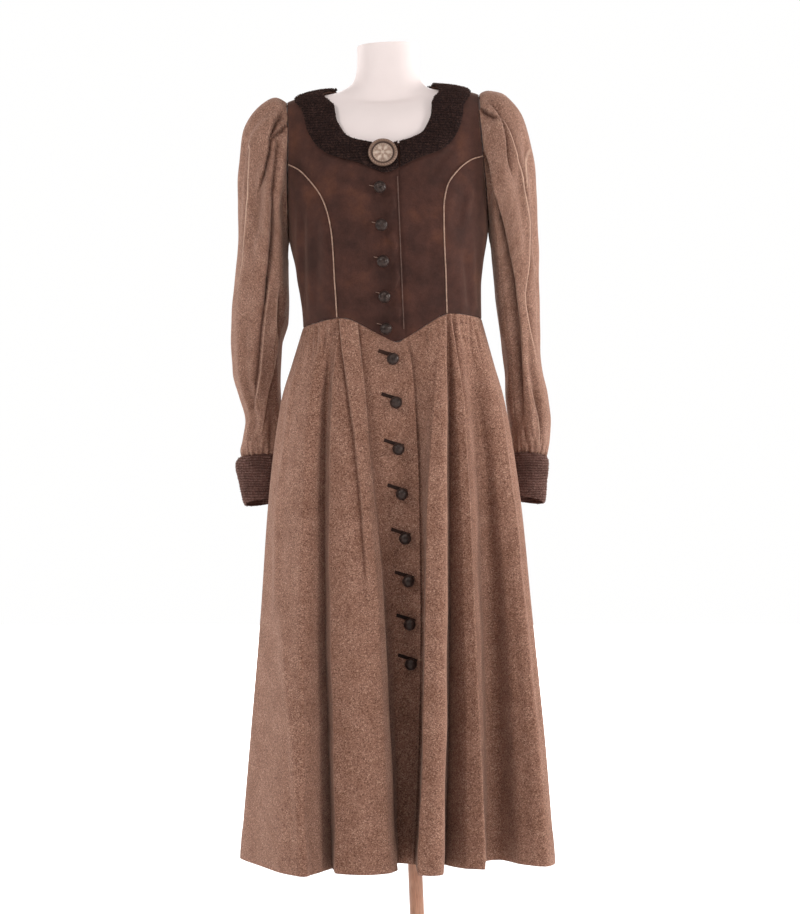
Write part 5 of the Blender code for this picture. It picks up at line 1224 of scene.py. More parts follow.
SOFT_FOLDS = (
    (((-0.03, at_fold("roll_a_outer", 0.1)), (0.03, at_fold("roll_a_outer", 0.15)),
      (0.10, at_fold("roll_a_outer", 0.3))), 0.22, -0.0022),
    (((-0.03, at_fold("roll_a_inner", 0.3)), (0.03, at_fold("roll_a_inner", 0.2)),
      (0.09, at_fold("roll_a_inner", 0.1))), 0.20, -0.0020),
    (((-0.03, at_fold("valley_ab", 0.5)), (0.02, at_fold("valley_ab", 0.5)),
      (0.07, at_fold("valley_ab", 0.6))), 0.18, -0.0022),
    (((-0.03, at_fold("panel_e_near", 0.1)), (0.03, at_fold("panel_e_near", 0.2)),
      (0.09, at_fold("panel_e_near", 0.3))), 0.20, -0.0024),
    (((-0.03, at_fold("left_roll_outer", 0.5)), (0.03, at_fold("left_roll_outer", 0.5)),
      (0.10, at_fold("left_roll_outer", 0.6))), 0.22, -0.0032),
    (((-0.03, at_fold("back_left_rise", 0.3)), (0.03, at_fold("back_left_rise", 0.3)),
      (0.09, at_fold("back_left_rise", 0.2))), 0.22, -0.0030),
    (((-0.03, at_fold("right_pleat_outer", 0.4)), (0.03, at_fold("right_pleat_outer", 0.4)),
      (0.10, at_fold("right_pleat_outer", 0.5))), 0.22, -0.0034),
    (((0.02, at_fold("right_hip_turn")), (0.30, at_fold("right_hip_turn", 0.2)),
      (0.62, at_fold("right_hip_turn", 0.3))), 0.22, 0.0030),
    (((0.30, at_fold("roll_a_top", 0.2)), (1.0, at_fold("roll_a_top", 0.5)),
      (1.3, at_fold("roll_a_top", 0.5))), 0.30, -0.0024),
    (((0.02, at_fold("pleat_b_top")), (0.4, at_fold("pleat_b_top", 0.2)),
      (0.8, at_fold("pleat_b_top", 0.4))), 0.25, -0.0022),
    (((0.20, at_fold("valley_ab", -0.1)), (0.6, at_fold("valley_ab", -0.1)),
      (1.3, at_fold("valley_ab"))), 0.55, 0.0065),
    (((0.05, at_fold("valley_cd", 0.2)), (0.5, at_fold("valley_cd", 0.3)),
      (1.3, at_fold("valley_cd", 0.3))), 0.50, 0.0055),
    (((0.25, at_fold("pleat_b_brow", 0.3)), (0.7, at_fold("pleat_b_brow", 0.2)),
      (1.3, at_fold("pleat_b_brow"))), 0.22, 0.0016),
    (((0.35, at_fold("pleat_c_top", -0.4)), (0.7, at_fold("pleat_c_top", -0.5)),
      (1.3, at_fold("pleat_c_top", -0.3))), 0.22, -0.0020),
    (((0.10, at_fold("ridge_d_top", 0.2)), (0.5, at_fold("ridge_d_top", 0.3)),
      (1.3, at_fold("ridge_d_top", 0.2))), 0.25, 0.0016),
    (((0.15, at_fold("panel_e_near", 0.5)), (0.5, at_fold("panel_e_near", 0.6)),
      (1.3, at_fold("panel_e_near", 0.6))), 0.22, 0.0022),
    (((0.10, at_fold("panel_e_far", 0.3)), (0.5, at_fold("panel_e_far", 0.4)),
      (0.9, at_fold("panel_e_far", 0.5))), 0.20, -0.0028),
    (((0.05, at_fold("left_roll_top", 0.3)), (0.5, at_fold("left_roll_top", 0.4)),
      (1.3, at_fold("left_roll_top", 0.4))), 0.30, -0.0024),
    (((0.05, at_fold("left_pleat_top", 0.4)), (0.6, at_fold("left_pleat_top", 0.5)),
      (1.3, at_fold("left_pleat_top", 0.4))), 0.30, 0.0028),
    (((0.05, at_fold("centre_back", 0.3)), (0.6, at_fold("centre_back", 0.4)),
      (1.3, at_fold("centre_back", 0.5))), 0.25, -0.0022),
    (((0.05, at_fold("right_pleat_top", -0.4)), (0.5, at_fold("right_pleat_top", -0.4)),
      (1.3, at_fold("right_pleat_top", -0.5))), 0.30, -0.0024),
    (((0.05, at_fold("right_roll_top", 0.4)), (0.5, at_fold("right_roll_top", 0.3)),
      (1.3, at_fold("right_roll_top", 0.4))), 0.30, 0.0028),
)
# Folds pressed into the front, as it is seen: the points (X, height) of a line from its low end up.
# A lap has the side that lies over the other (1 at the right hand of the way up, -1 at the left),
# how far that side rises and the other sinks, how soon each is gone, and how pale a painted highlight
# its edge gets; its sunk side gets painted shade
LAP_COLUMNS = ("line", "over", "rise", "sink", "over_width", "under_width", "wear_and_painted_light")
SKIRT_LAPS = (
    (((-0.0197, 0.0674), (-0.0366, 0.2106), (-0.0443, 0.3621), (-0.0505, 0.5066),
      (-0.0552, 0.5913), (-0.0607, 0.6778), (-0.0708, 0.7769), (-0.0786, 0.8575),
      (-0.0864, 0.9555), (-0.0958, 1.0320), (-0.1021, 1.0866)),
     -1, 0.0014, 0.0056, 0.0100, 0.0060, 0.22),
    (((-0.0790, 0.5900), (-0.0855, 0.6824), (-0.0933, 0.7769), (-0.1034, 0.8746), (-0.1128, 0.9399),
      (-0.1230, 1.0054), (-0.1270, 1.0476), (-0.1302, 1.0944)),
     1, 0.0014, 0.0056, 0.0100, 0.0060, 0.22),
    (((-0.1306, 0.1136), (-0.1321, 0.2029), (-0.1346, 0.3621), (-0.1386, 0.4912),
      (-0.1403, 0.5913), (-0.1428, 0.6778), (-0.1421, 0.7769), (-0.1407, 0.8746),
      (-0.1393, 0.9555), (-0.1286, 1.0476), (-0.1255, 1.0897)),
     1, 0.0012, 0.0016, 0.0090, 0.0050, 0.20),
    (((0.0342, 0.0982), (0.0358, 0.1998), (0.0385, 0.3299), (0.0409, 0.4589), (0.0420, 0.6206),
      (0.0417, 0.9306), (0.0412, 1.0679), (0.0412, 1.1100)),
     -1, 0.0012, 0.0050, 0.0090, 0.0060, 0.22),
    (((-0.0074, 0.1136), (-0.0058, 0.1967), (-0.0027, 0.3299), (0.0012, 0.4589),
      (0.0036, 0.6206), (0.0052, 0.6778), (0.0114, 0.8094), (0.0177, 0.9072), (0.0240, 0.9773),
      (0.0272, 1.0164)), 1, 0.0008, 0.0025, 0.0090, 0.0070, 0.0000),
    (((0.1035, 0.1136), (0.1000, 0.2106), (0.0969, 0.3299), (0.0901, 0.4912), (0.0856, 0.5913),
      (0.0841, 0.6453), (0.0781, 0.7769), (0.0690, 0.9306), (0.0567, 1.0164), (0.0459, 1.0866)),
     -1, 0.0014, 0.0048, 0.0090, 0.0060, 0.18),
)
# the lapping front's edge has a sunk lane beside it, which gets painted shade
SKIRT_LAPS += (
    (FOLD_POINTS[FOLD_AT["placket_edge"], ::-1][:, [0, 2]], -1, 0.0, 0.0030, 0.0060, 0.0050, 0.0),
)
# A crease has its height, below 0 for a trough, and its half-width
CREASE_COLUMNS = ("line", "height", "half_width")
SKIRT_CREASES = (
    (((-0.1721, 0.1213), (-0.1798, 0.1952), (-0.1956, 0.3897), (-0.2152, 0.5713),
      (-0.2273, 0.7134), (-0.2337, 0.8063)), 0.0030, 0.0080),
    (((-0.1503, 1.0054), (-0.1496, 1.0320), (-0.1488, 1.0788)), -0.0030, 0.0026),
    (((-0.1658, 0.9898), (-0.1643, 1.0242), (-0.1629, 1.0741)), -0.0032, 0.0028),
    (((-0.1363, 1.0164), (-0.1348, 1.0367), (-0.1340, 1.0788)), -0.0026, 0.0022),
    (((-0.0756, 1.0054), (-0.0849, 1.0320), (-0.0912, 1.0710)), -0.0022, 0.0030),
    (((0.0116, 1.0054), (0.0069, 1.0320), (0.0054, 1.0866)), -0.0022, 0.0028),
    (((0.0723, 1.0085), (0.0661, 1.0398), (0.0630, 1.0866)), -0.0026, 0.0026),
    (((0.0893, 0.9742), (0.0801, 1.0164), (0.0755, 1.0788)), -0.0022, 0.0030),
    (((0.1667, 0.1136), (0.1547, 0.3744), (0.1353, 0.6824), (0.1187, 0.8839), (0.1034, 0.9929)),
     0.0022, 0.0090),
)
LAP_SHARPNESS = 0.0010            # half the width of a pressed step
GATHER = 0.0105                   # from one small gather at the waist to the next
HEM_FOLD = 0.045                  # the hem is turned up this deep


def beside(line, x, z):
    """Signed distance from a bent line in the front view, and a share that is 0 at its ends.

    At the low end the share grows over a longer way than at the other.

    The distance is above 0 on the right hand of the way along the line.
    """
    line = np.array(line)
    steps = np.diff(line, axis=0)
    lengths = np.linalg.norm(steps, axis=1)
    passed = np.r_[0, np.cumsum(lengths)]
    nearest, signed, gone = np.full(x.shape, np.inf), 0 * x, 0 * x
    for (at_x, at_z), (dx, dz), length, before in zip(line, steps, lengths, passed):
        part = np.clip(((x - at_x) * dx + (z - at_z) * dz) / length**2, 0, 1)
        away = np.hypot(x - at_x - part * dx, z - at_z - part * dz)
        near = away < nearest
        nearest = np.where(near, away, nearest)
        signed = np.where(near, away * np.sign((x - at_x) * dz - (z - at_z) * dx), signed)
        gone = np.where(near, before + part * length, gone)
    low, top = min(0.110, 0.3 * passed[-1]), min(0.035, 0.25 * passed[-1])
    fade = np.clip(np.minimum(gone / low, (passed[-1] - gone) / top), 0, 1)
    return signed, fade * fade * (3 - 2 * fade)


def pressed(laps, creases, points):
    """How far each point stands out by the folds of the front, and its painted highlight or shade there.

    A lap is a steep step from the sunk side to the risen one, and both die away; a crease is a bell.
    Risen edges get a painted highlight, above 0; inside a fold or a trough the cloth gets painted shade,
    below 0.
    """
    x, z = points[..., 0], points[..., 2]
    height, wear_and_painted_light, painted_fold_shade = 0 * x, 0 * x, 0 * x
    for line, over, rise, sink, over_width, under_width, pale in laps:
        away, fade = beside(line, x, z)
        away = away * over
        above = (1 + np.tanh(away / LAP_SHARPNESS)) / 2
        risen = above * rise * np.exp(-np.abs(away) / over_width)
        sunk = (1 - above) * sink * np.exp(-np.abs(away) / under_width)
        height += (risen - sunk) * fade
        # painted highlight along the risen edge of a lap
        wear_and_painted_light = np.maximum(wear_and_painted_light, pale * fade * np.exp(-(((away - 0.0008) / 0.0011) ** 2)))
        # painted shade on the sunk side of a lap, inside the fold
        inside = (1 - above) * np.exp(-np.abs(away) / 0.0045)
        painted_fold_shade = np.maximum(painted_fold_shade, min(sink / 0.0045, 1.2) * 0.75 * fade * inside)
    for line, tall, half_width in creases:
        away, fade = beside(line, x, z)
        bell = np.exp(-((away / half_width) ** 2)) * fade
        height += tall * bell
        # painted shade in a trough
        painted_fold_shade = np.maximum(painted_fold_shade, max(-tall, 0.0) / 0.004 * 0.12 * bell)
    return height, wear_and_painted_light - painted_fold_shade


def tweed(name, yarn, slub, pale):
    """Heathered wool: yarns of several browns crossing, pale and dark flecks, a soft fuzz, painted highlight
    on fold edges and painted shade in folds.
    """
    material, tree, shader = new_material(name)
    place = node(tree, "ShaderNodeUVMap", {}, uv_map="cloth").outputs["UV"]
    wobble = node(tree, "ShaderNodeTexNoise", {"Vector": place, "Scale": 220.0, "Detail": 1.0})
    shift = node(tree, "ShaderNodeVectorMath", {0: wobble.outputs["Color"], 1: (0.0016,) * 3},
                 operation="MULTIPLY").outputs[0]
    place = node(tree, "ShaderNodeVectorMath", {0: place, 1: shift}, operation="ADD").outputs[0]
    counted = node(tree, "ShaderNodeVectorMath", {0: place, 1: (1 / yarn, 1 / slub, 0)},
                   operation="MULTIPLY").outputs[0]
    cell = node(tree, "ShaderNodeVectorMath", {0: counted}, operation="FLOOR").outputs[0]
    dye = node(tree, "ShaderNodeTexWhiteNoise", {"Vector": cell}, noise_dimensions="2D")
    flecks = ramp(tree, dye.outputs["Value"],
                  (0.00, dyed(102, 70, 60)), (0.14, dyed(129, 93, 79)), (0.32, dyed(146, 108, 92)),
                  (0.62, dyed(155, 116, 99)), (0.85, dyed(168, 129, 111)),
                  (1.00, dyed(196, 159, 138)))
    # blended paler by a share: painted light, used for the sleeves' copy
    flecks = blended(tree, pale, flecks, dyed(190, 160, 146))
    cloud = noise(tree, place, 26, 4, 0.6)
    tone = ramp(tree, cloud, (0.32, dyed(228, 221, 216)), (0.66, dyed(255, 255, 255)))
    thick = noise(tree, place, 620, 3, 0.7)
    grain = ramp(tree, thick, (0.32, dyed(230, 223, 218)), (0.66, dyed(255, 255, 255)))
    colour = blended(tree, 1.0, blended(tree, 1.0, flecks, tone, "MULTIPLY"), grain, "MULTIPLY")
    # the mesh's attribute paints light: above 0 a painted highlight on fold edges, below 0 painted shade in
    # folds
    wear_and_painted_light = node(tree, "ShaderNodeAttribute", {}, attribute_name="wear_and_painted_light").outputs["Fac"]
    painted_edge_highlight = maths(tree, "MULTIPLY", maths(tree, "MAXIMUM", wear_and_painted_light),
                   maths(tree, "MULTIPLY_ADD", noise(tree, place, 90), 0.9, 0.3))
    painted_fold_shade = maths(tree, "MAXIMUM", maths(tree, "MULTIPLY", wear_and_painted_light, -1.0))
    # painted highlight
    colour = blended(tree, painted_edge_highlight, colour, dyed(226, 192, 170))
    # painted shade
    colour = blended(tree, painted_fold_shade, colour, dyed(150, 124, 115), "MULTIPLY")
    parts = node(tree, "ShaderNodeSeparateXYZ", {0: counted}).outputs
    over = maths(tree, "ABSOLUTE", maths(tree, "SINE", maths(tree, "MULTIPLY", parts[0], math.pi)))
    cross = maths(tree, "ABSOLUTE", maths(tree, "SINE", maths(tree, "MULTIPLY", parts[1], math.pi)))
    weave = maths(tree, "MULTIPLY", over, cross)
    height = maths(tree, "ADD", weave, maths(tree, "MULTIPLY", thick, 1.4))
    finished(tree, shader, colour, height, 0.0006, 0.6)
    shader.inputs["Roughness"].default_value = 0.95
    shader.inputs["Specular IOR Level"].default_value = 0.15
    shader.inputs["Sheen Weight"].default_value = 0.30
    shader.inputs["Sheen Roughness"].default_value = 0.35
    shader.inputs["Sheen Tint"].default_value = (*dyed(236, 206, 188), 1)
    return material


def mark_painted_light(piece, wear_and_painted_light):
    """Give a cloth wall its painted highlight and painted shade on the outer face; the inner face has none.
    """
    values = np.concatenate([wear_and_painted_light.ravel(), np.zeros(wear_and_painted_light.size)]).astype(np.float32)
    piece.data.attributes.new("wear_and_painted_light", "FLOAT", "POINT").data.foreach_set("value", values)


skirt_tweed = tweed("skirt_tweed", 0.0014, 0.0013, 0.0)


def tweed_panel(word, first, last, apart, lift=False):
    """A skirt panel from one fold line to another, its columns this far apart at the hem."""
    start = FOLD_AT[first]
    end = FOLD_AT[last] if FOLD_AT[last] > start else TURN
    hem = FOLD_POINTS[:, -1]
    steps = [
        max(3, math.ceil(np.linalg.norm(hem[(k + 1) % TURN] - hem[k]) / apart))
        for k in range(start, end)
    ]
    s = np.concatenate([k + np.arange(n) / n for k, n in zip(range(start, end), steps)] + [[end]])
    v = np.linspace(0, 1, 102) ** 1.25
    grid = np.repeat(s[None], len(v), axis=0)
    points = skirt_surface(np.mod(grid, TURN), v)
    for edge, near in ((0, 1), (-1, -2)):
        gap = np.linalg.norm(points[:, near] - points[:, edge], axis=-1)
        grid[:, edge] += (grid[:, near] - grid[:, edge]) * np.clip(SEAM / 2 / gap, 0, 0.5)
    down = v[:, None]
    length = np.cumsum(np.linalg.norm(np.diff(points, axis=1), axis=-1), axis=1)[0]
    along_waist = np.r_[0, length][None]
    gathers = 0.0010 * np.exp(-down / 0.05) * np.sin(2 * np.pi * along_waist / GATHER + 2.0 * down)
    to_edge = np.clip(np.minimum(s - start, end - s) / 0.7, 0, 1)[None]
    soft = bells(grid, down + 0 * grid, SOFT_FOLDS)
    uneven = 0.0011 * rippled(points, 0.09) * np.clip(down / 0.2, 0, 1)
    from_hem = (1 - down) * 0.83
    turned_up = 0.0009 * (1 / (1 + np.exp((from_hem - HEM_FOLD) / 0.0025)))
    height, wear_and_painted_light = pressed(SKIRT_LAPS, SKIRT_CREASES, points)
    front = np.clip(-points[..., 1] / 0.03, 0, 1)
    relief = (gathers + soft + uneven + height * front) * to_edge + turned_up
    relief *= np.clip(down / 0.015, 0, 1)
    extra = relief + (skirt_lift(grid) if lift else 0.0)
    outer = skirt_point(grid, v, extra)
    inner = skirt_point(grid, v, extra - TWEED)
    piece = cloth_piece(f"skirt_{word}_tweed", edge_softened(outer, inner), inner, skirt_tweed,
                        "tweed", [f"skirt_{word}"])
    # painted highlight on the pressed edges and painted shade in the folds, on the front
    mark_painted_light(piece, wear_and_painted_light * front * to_edge)


tweed_panel("front_left", "lap_under_edge", "left_side_seam", 0.0028)
tweed_panel("front_right", "right_side_seam", "placket_edge",
            0.0028, lift=True)
tweed_panel("back_left", "left_side_seam", "centre_back", 0.0052)
tweed_panel("back_right", "centre_back", "right_side_seam", 0.0052)

# --- The sleeves --------------------------------------------------------------------------------
# Two-piece sleeves of the same tweed, full at the head, where the fullness is laid in soft pleats
# into the armhole, bent at the elbow and gathered into the cuff.

ARMHOLE_GAP = 0.0008
UNDER_SLEEVE_HALF = 45
SLEEVE_AROUND = 208
SLEEVE_ROWS = 166
CUFF_COVER = 0.0012               # how far the gathered end reaches down into the cuff's seam
FRONT_CROWDING = 0.35             # how much closer together the columns lie in front
# Sections of the sleeves below the armhole: the outer and inner ends seen from the front, the
# front and back reach, and how much lower the back of the section lies than its front
SLEEVE_COLUMNS = ("outer_x", "outer_z", "inner_x", "inner_z", "front_y", "back_y", "back_drop")
RIGHT_SLEEVE = (
    (-0.2310, 1.4165, -0.2095, 1.1860, -0.066, 0.070, 0.000),
    (-0.2520, 1.4060, -0.2105, 1.1810, -0.073, 0.078, 0.000),
    (-0.2704, 1.3880, -0.2110, 1.1760, -0.075, 0.084, 0.000),
    (-0.2832, 1.3600, -0.2112, 1.1700, -0.073, 0.088, 0.000),
    (-0.2891, 1.3250, -0.2112, 1.1630, -0.069, 0.090, 0.000),
    (-0.2919, 1.2800, -0.2104, 1.1550, -0.063, 0.092, 0.000),
    (-0.2922, 1.2240, -0.2108, 1.1400, -0.054, 0.095, 0.000),
    (-0.2935, 1.1680, -0.2112, 1.1180, -0.045, 0.100, 0.000),
    (-0.2996, 1.1185, -0.2108, 1.0910, -0.034, 0.104, 0.000),
    (-0.3042, 1.0720, -0.2126, 1.0600, -0.022, 0.106, 0.000),
    (-0.3053, 1.0240, -0.2230, 1.0200, -0.006, 0.106, 0.002),
    (-0.3039, 0.9800, -0.2255, 0.9770, 0.010, 0.112, 0.003),
    (-0.2944, 0.9400, -0.2255, 0.9380, 0.024, 0.118, 0.004),
    (-0.2836, 0.8980, -0.2235, 0.9000, 0.036, 0.122, 0.006),
    (-0.2885, 0.8700, -0.2205, 0.8740, 0.042, 0.128, 0.008),
    (-0.2924, 0.8520, -0.2205, 0.8560, 0.046, 0.127, 0.009),
    (-0.2900, 0.8410, -0.2240, 0.8450, 0.053, 0.121, 0.009),
)
LEFT_SLEEVE = (
    (0.1090, 1.4275, 0.1115, 1.1850, -0.066, 0.070, 0.000),
    (0.1290, 1.4240, 0.1120, 1.1820, -0.073, 0.078, 0.000),
    (0.1472, 1.4100, 0.1128, 1.1760, -0.075, 0.084, 0.000),
    (0.1632, 1.3876, 0.1138, 1.1680, -0.073, 0.088, 0.000),
    (0.1760, 1.3492, 0.1150, 1.1580, -0.069, 0.090, 0.000),
    (0.1850, 1.3010, 0.1170, 1.1450, -0.063, 0.092, 0.000),
    (0.1888, 1.2400, 0.1190, 1.1270, -0.054, 0.095, 0.000),
    (0.1912, 1.1760, 0.1213, 1.1020, -0.045, 0.100, 0.000),
    (0.1928, 1.1200, 0.1248, 1.0770, -0.034, 0.104, 0.000),
    (0.1938, 1.0720, 0.1281, 1.0510, -0.022, 0.106, 0.000),
    (0.1950, 1.0240, 0.1328, 1.0160, -0.006, 0.106, 0.002),
    (0.2000, 0.9800, 0.1378, 0.9760, 0.010, 0.112, 0.003),
    (0.2092, 0.9400, 0.1400, 0.9380, 0.024, 0.118, 0.004),
    (0.2136, 0.8980, 0.1445, 0.9010, 0.036, 0.124, 0.006),
    (0.2126, 0.8700, 0.1475, 0.8740, 0.042, 0.128, 0.008),
    (0.2096, 0.8540, 0.1490, 0.8570, 0.046, 0.126, 0.009),
    (0.2065, 0.8430, 0.1520, 0.8470, 0.053, 0.120, 0.009),
)
# Broad folds at the back and sides: the angle at the start and end (0 outer, 90 front, 180 inner,
# 270 back), where it starts and ends (0 armhole, 1 cuff), depth and half-width in degrees
RIGHT_BROAD_FOLDS = (
    (150, 146, 0.02, 0.90, -0.0050, 26),
    (120, 112, 0.02, 0.72, 0.0060, 20),
    (76, 66, 0.00, 0.42, 0.0050, 18),
    (40, 30, 0.00, 0.30, 0.0060, 14),
    (70, 62, 0.45, 0.95, 0.0050, 20),
    (288, 300, 0.00, 0.40, 0.0080, 18),
    (250, 262, 0.10, 0.80, 0.0080, 18),
    (328, 338, 0.05, 0.55, 0.0060, 14),
    (220, 226, 0.05, 0.50, 0.0050, 10),
    (276, 284, 0.50, 0.96, 0.0050, 12),
)
LEFT_BROAD_FOLDS = (
    (150, 148, 0.02, 0.90, -0.0040, 26),
    (124, 104, 0.02, 0.80, 0.0060, 20),
    (84, 70, 0.00, 0.38, 0.0050, 18),
    (48, 26, 0.00, 0.66, 0.0040, 16),
    (74, 70, 0.62, 0.97, 0.0050, 18),
    (286, 298, 0.00, 0.42, 0.0080, 18),
    (248, 264, 0.12, 0.78, 0.0080, 18),
    (326, 336, 0.05, 0.50, 0.0060, 14),
    (216, 222, 0.04, 0.46, 0.0050, 10),
    (274, 286, 0.48, 0.96, 0.0050, 12),
)
# Folds pressed into the front of the sleeves, in the columns of the skirt's
RIGHT_LAPS = (
    (((-0.2617, 1.2464), (-0.2601, 1.2589), (-0.2538, 1.2746), (-0.2465, 1.2941),
      (-0.2422, 1.3121), (-0.2386, 1.3293), (-0.2380, 1.3467), (-0.2327, 1.3641),
      (-0.2274, 1.3768), (-0.2176, 1.3926), (-0.2098, 1.4006)),
     -1, 0.0030, 0.0150, 0.0160, 0.0070, 0.2),
    (((-0.2372, 1.3444), (-0.2286, 1.3531), (-0.2207, 1.3594), (-0.2097, 1.3697),
      (-0.2034, 1.3752)), -1, 0.0045, 0.0120, 0.0065, 0.0070, 0.3),
    (((-0.2779, 0.8902), (-0.2710, 0.9146), (-0.2635, 0.9442), (-0.2577, 0.9758),
      (-0.2532, 1.0120), (-0.2501, 1.0434), (-0.2458, 1.0748), (-0.2396, 1.1060),
      (-0.2364, 1.1498)), 1, 0.0040, 0.0100, 0.0090, 0.0090, 0.35),
    (((-0.2565, 0.8662), (-0.2515, 0.8966), (-0.2437, 0.9383), (-0.2364, 0.9758),
      (-0.2305, 1.0172), (-0.2273, 1.0701), (-0.2243, 1.1170)),
     -1, 0.0020, 0.0070, 0.0050, 0.0100, 0.6),
    (((-0.2904, 1.1154), (-0.2846, 1.1514), (-0.2829, 1.1670), (-0.2804, 1.1959),
      (-0.2772, 1.2250), (-0.2746, 1.2527), (-0.2738, 1.2769), (-0.2720, 1.2980),
      (-0.2702, 1.3238), (-0.2742, 1.3626)), 1, 0.0015, 0.0030, 0.0060, 0.0060, 1.0),
)
LEFT_LAPS = (
    (((0.1505, 1.2683), (0.1454, 1.2846), (0.1418, 1.2949), (0.1392, 1.3074), (0.1375, 1.3215),
      (0.1358, 1.3373), (0.1331, 1.3531), (0.1305, 1.3651), (0.1262, 1.3790), (0.1175, 1.3926),
      (0.1079, 1.4037), (0.0963, 1.4180)), -1, 0.0020, 0.0070, 0.0100, 0.0055, 0.25),
    (((0.1935, 0.9727), (0.1879, 0.9994), (0.1807, 1.0309), (0.1762, 1.0522), (0.1730, 1.0669),
      (0.1698, 1.0826), (0.1687, 1.1021), (0.1703, 1.1217), (0.1733, 1.1452), (0.1752, 1.1647),
      (0.1755, 1.1920), (0.1748, 1.2153), (0.1727, 1.2327), (0.1686, 1.2558), (0.1656, 1.2812),
      (0.1628, 1.2951), (0.1576, 1.3124), (0.1515, 1.3298), (0.1454, 1.3474), (0.1375, 1.3673),
      (0.1222, 1.3942)), -1, 0.0015, 0.0040, 0.0060, 0.0070, 1.0),
    (((0.1710, 1.2527), (0.1693, 1.2865), (0.1702, 1.3124), (0.1755, 1.3404)),
     1, 0.0010, 0.0022, 0.0050, 0.0050, 0.8),
    (((0.1656, 0.8934), (0.1649, 0.9331), (0.1630, 0.9853), (0.1611, 1.0387), (0.1581, 1.0622),
      (0.1561, 1.0732), (0.1519, 1.0982), (0.1498, 1.1178), (0.1457, 1.1373), (0.1397, 1.1608),
      (0.1335, 1.1904), (0.1276, 1.2153), (0.1191, 1.2464), (0.1140, 1.2655), (0.1103, 1.2829),
      (0.1061, 1.3043), (0.1007, 1.3215), (0.0965, 1.3373), (0.0891, 1.3578), (0.0850, 1.3705),
      (0.0797, 1.3879)), 1, 0.0030, 0.0165, 0.0120, 0.0090, 0.25),
    (((0.1253, 1.3760), (0.1104, 1.3847), (0.0983, 1.3926), (0.0860, 1.4029)),
     1, 0.0045, 0.0120, 0.0060, 0.0070, 0.35),
    (((0.1921, 0.8404), (0.1960, 0.8806), (0.1938, 0.9066), (0.1864, 0.9331), (0.1769, 0.9648)),
     -1, 0.0012, 0.0030, 0.0060, 0.0060, 0.5),
)
RIGHT_CREASES = (
    (((-0.2471, 1.0528), (-0.2440, 1.0888), (-0.2397, 1.1178), (-0.2373, 1.1373),
      (-0.2356, 1.1608), (-0.2330, 1.1959), (-0.2323, 1.2309), (-0.2328, 1.2542),
      (-0.2291, 1.2808), (-0.2265, 1.2980), (-0.2230, 1.3152), (-0.2207, 1.3325),
      (-0.2201, 1.3626)), -0.0095, 0.0034),
    (((-0.2607, 1.1764), (-0.2581, 1.2122), (-0.2547, 1.2418), (-0.2491, 1.2777)),
     -0.0060, 0.0075),
    (((-0.2404, 1.1498), (-0.2416, 1.1998), (-0.2405, 1.2464), (-0.2372, 1.2949),
      (-0.2301, 1.3404)), 0.0035, 0.0075),
    (((-0.2298, 1.0904), (-0.2262, 1.1498), (-0.2251, 1.1920), (-0.2243, 1.2386),
      (-0.2215, 1.2777), (-0.2160, 1.3090), (-0.2112, 1.3436)), 0.0035, 0.0052),
    (((-0.2171, 1.0904), (-0.2152, 1.1452), (-0.2140, 1.1998), (-0.2134, 1.2464),
      (-0.2113, 1.2777)), -0.0055, 0.0046),
    (((-0.2388, 1.3420), (-0.2317, 1.3594), (-0.2255, 1.3744), (-0.2192, 1.3792),
      (-0.2066, 1.3831)), -0.0035, 0.0026),
    (((-0.2254, 1.0497), (-0.2173, 1.0685), (-0.2076, 1.0935)), -0.0026, 0.0022),
    (((-0.2240, 1.0372), (-0.2159, 1.0528), (-0.2078, 1.0732)), -0.0026, 0.0022),
    (((-0.2225, 1.0246), (-0.2161, 1.0356), (-0.2088, 1.0513)), -0.0024, 0.0022),
    (((-0.2553, 0.8371), (-0.2612, 0.8614), (-0.2636, 0.8854)), -0.0040, 0.0040),
    (((-0.2809, 0.8533), (-0.2783, 0.8774), (-0.2727, 0.9014)), 0.0030, 0.0060),
    (((-0.2456, 0.8404), (-0.2378, 0.8854), (-0.2333, 0.9331)), -0.0045, 0.0060),
)
LEFT_CREASES = (
    (((0.1622, 0.8694), (0.1606, 0.9331), (0.1568, 0.9727), (0.1531, 1.0120), (0.1495, 1.0513),
      (0.1436, 1.0935)), -0.0050, 0.0075),
    (((0.1631, 1.2464), (0.1599, 1.2855), (0.1551, 1.3246)), -0.0030, 0.0050),
    (((0.1341, 1.0904), (0.1258, 1.1686), (0.1160, 1.2386), (0.1080, 1.2855)), 0.0030, 0.0060),
    (((0.1372, 0.9458), (0.1366, 0.9963), (0.1314, 1.0434)), -0.0030, 0.0050),
    (((0.1751, 0.8436), (0.1712, 0.8662), (0.1672, 0.8934)), -0.0035, 0.0030),
    (((0.1848, 0.8404), (0.1842, 0.8630), (0.1803, 0.8854)), -0.0030, 0.0032),
    (((0.1752, 1.0904), (0.1588, 1.1842), (0.1474, 1.2464)), 0.0020, 0.0100),
)
# The right sleeve's creases at the back, in the same view; the left one's are their mirror image
BACK_CREASES = (
    (((-0.2570, 0.8950), (-0.2690, 1.0500), (-0.2620, 1.2000), (-0.2450, 1.3500)), -0.0100, 0.0085),
    (((-0.2380, 0.9400), (-0.2400, 1.1000), (-0.2320, 1.2200), (-0.2200, 1.3400)), -0.0080, 0.0065),
    (((-0.2500, 1.1000), (-0.2480, 1.2200), (-0.2360, 1.3600)), 0.0040, 0.0060),
    (((-0.2850, 1.0700), (-0.2800, 1.2200), (-0.2640, 1.3600)), -0.0070, 0.0070),
    (((-0.2300, 1.0480), (-0.2520, 1.0300), (-0.2860, 1.0340)), -0.0045, 0.0050),
    (((-0.2280, 1.0800), (-0.2500, 1.0740), (-0.2820, 1.0900)), -0.0035, 0.0050),
    (((-0.2420, 0.8600), (-0.2440, 0.9000), (-0.2500, 0.9500)), -0.0050, 0.0045),
    (((-0.2720, 0.8600), (-0.2700, 0.8900), (-0.2740, 0.9300)), -0.0040, 0.0045),
)
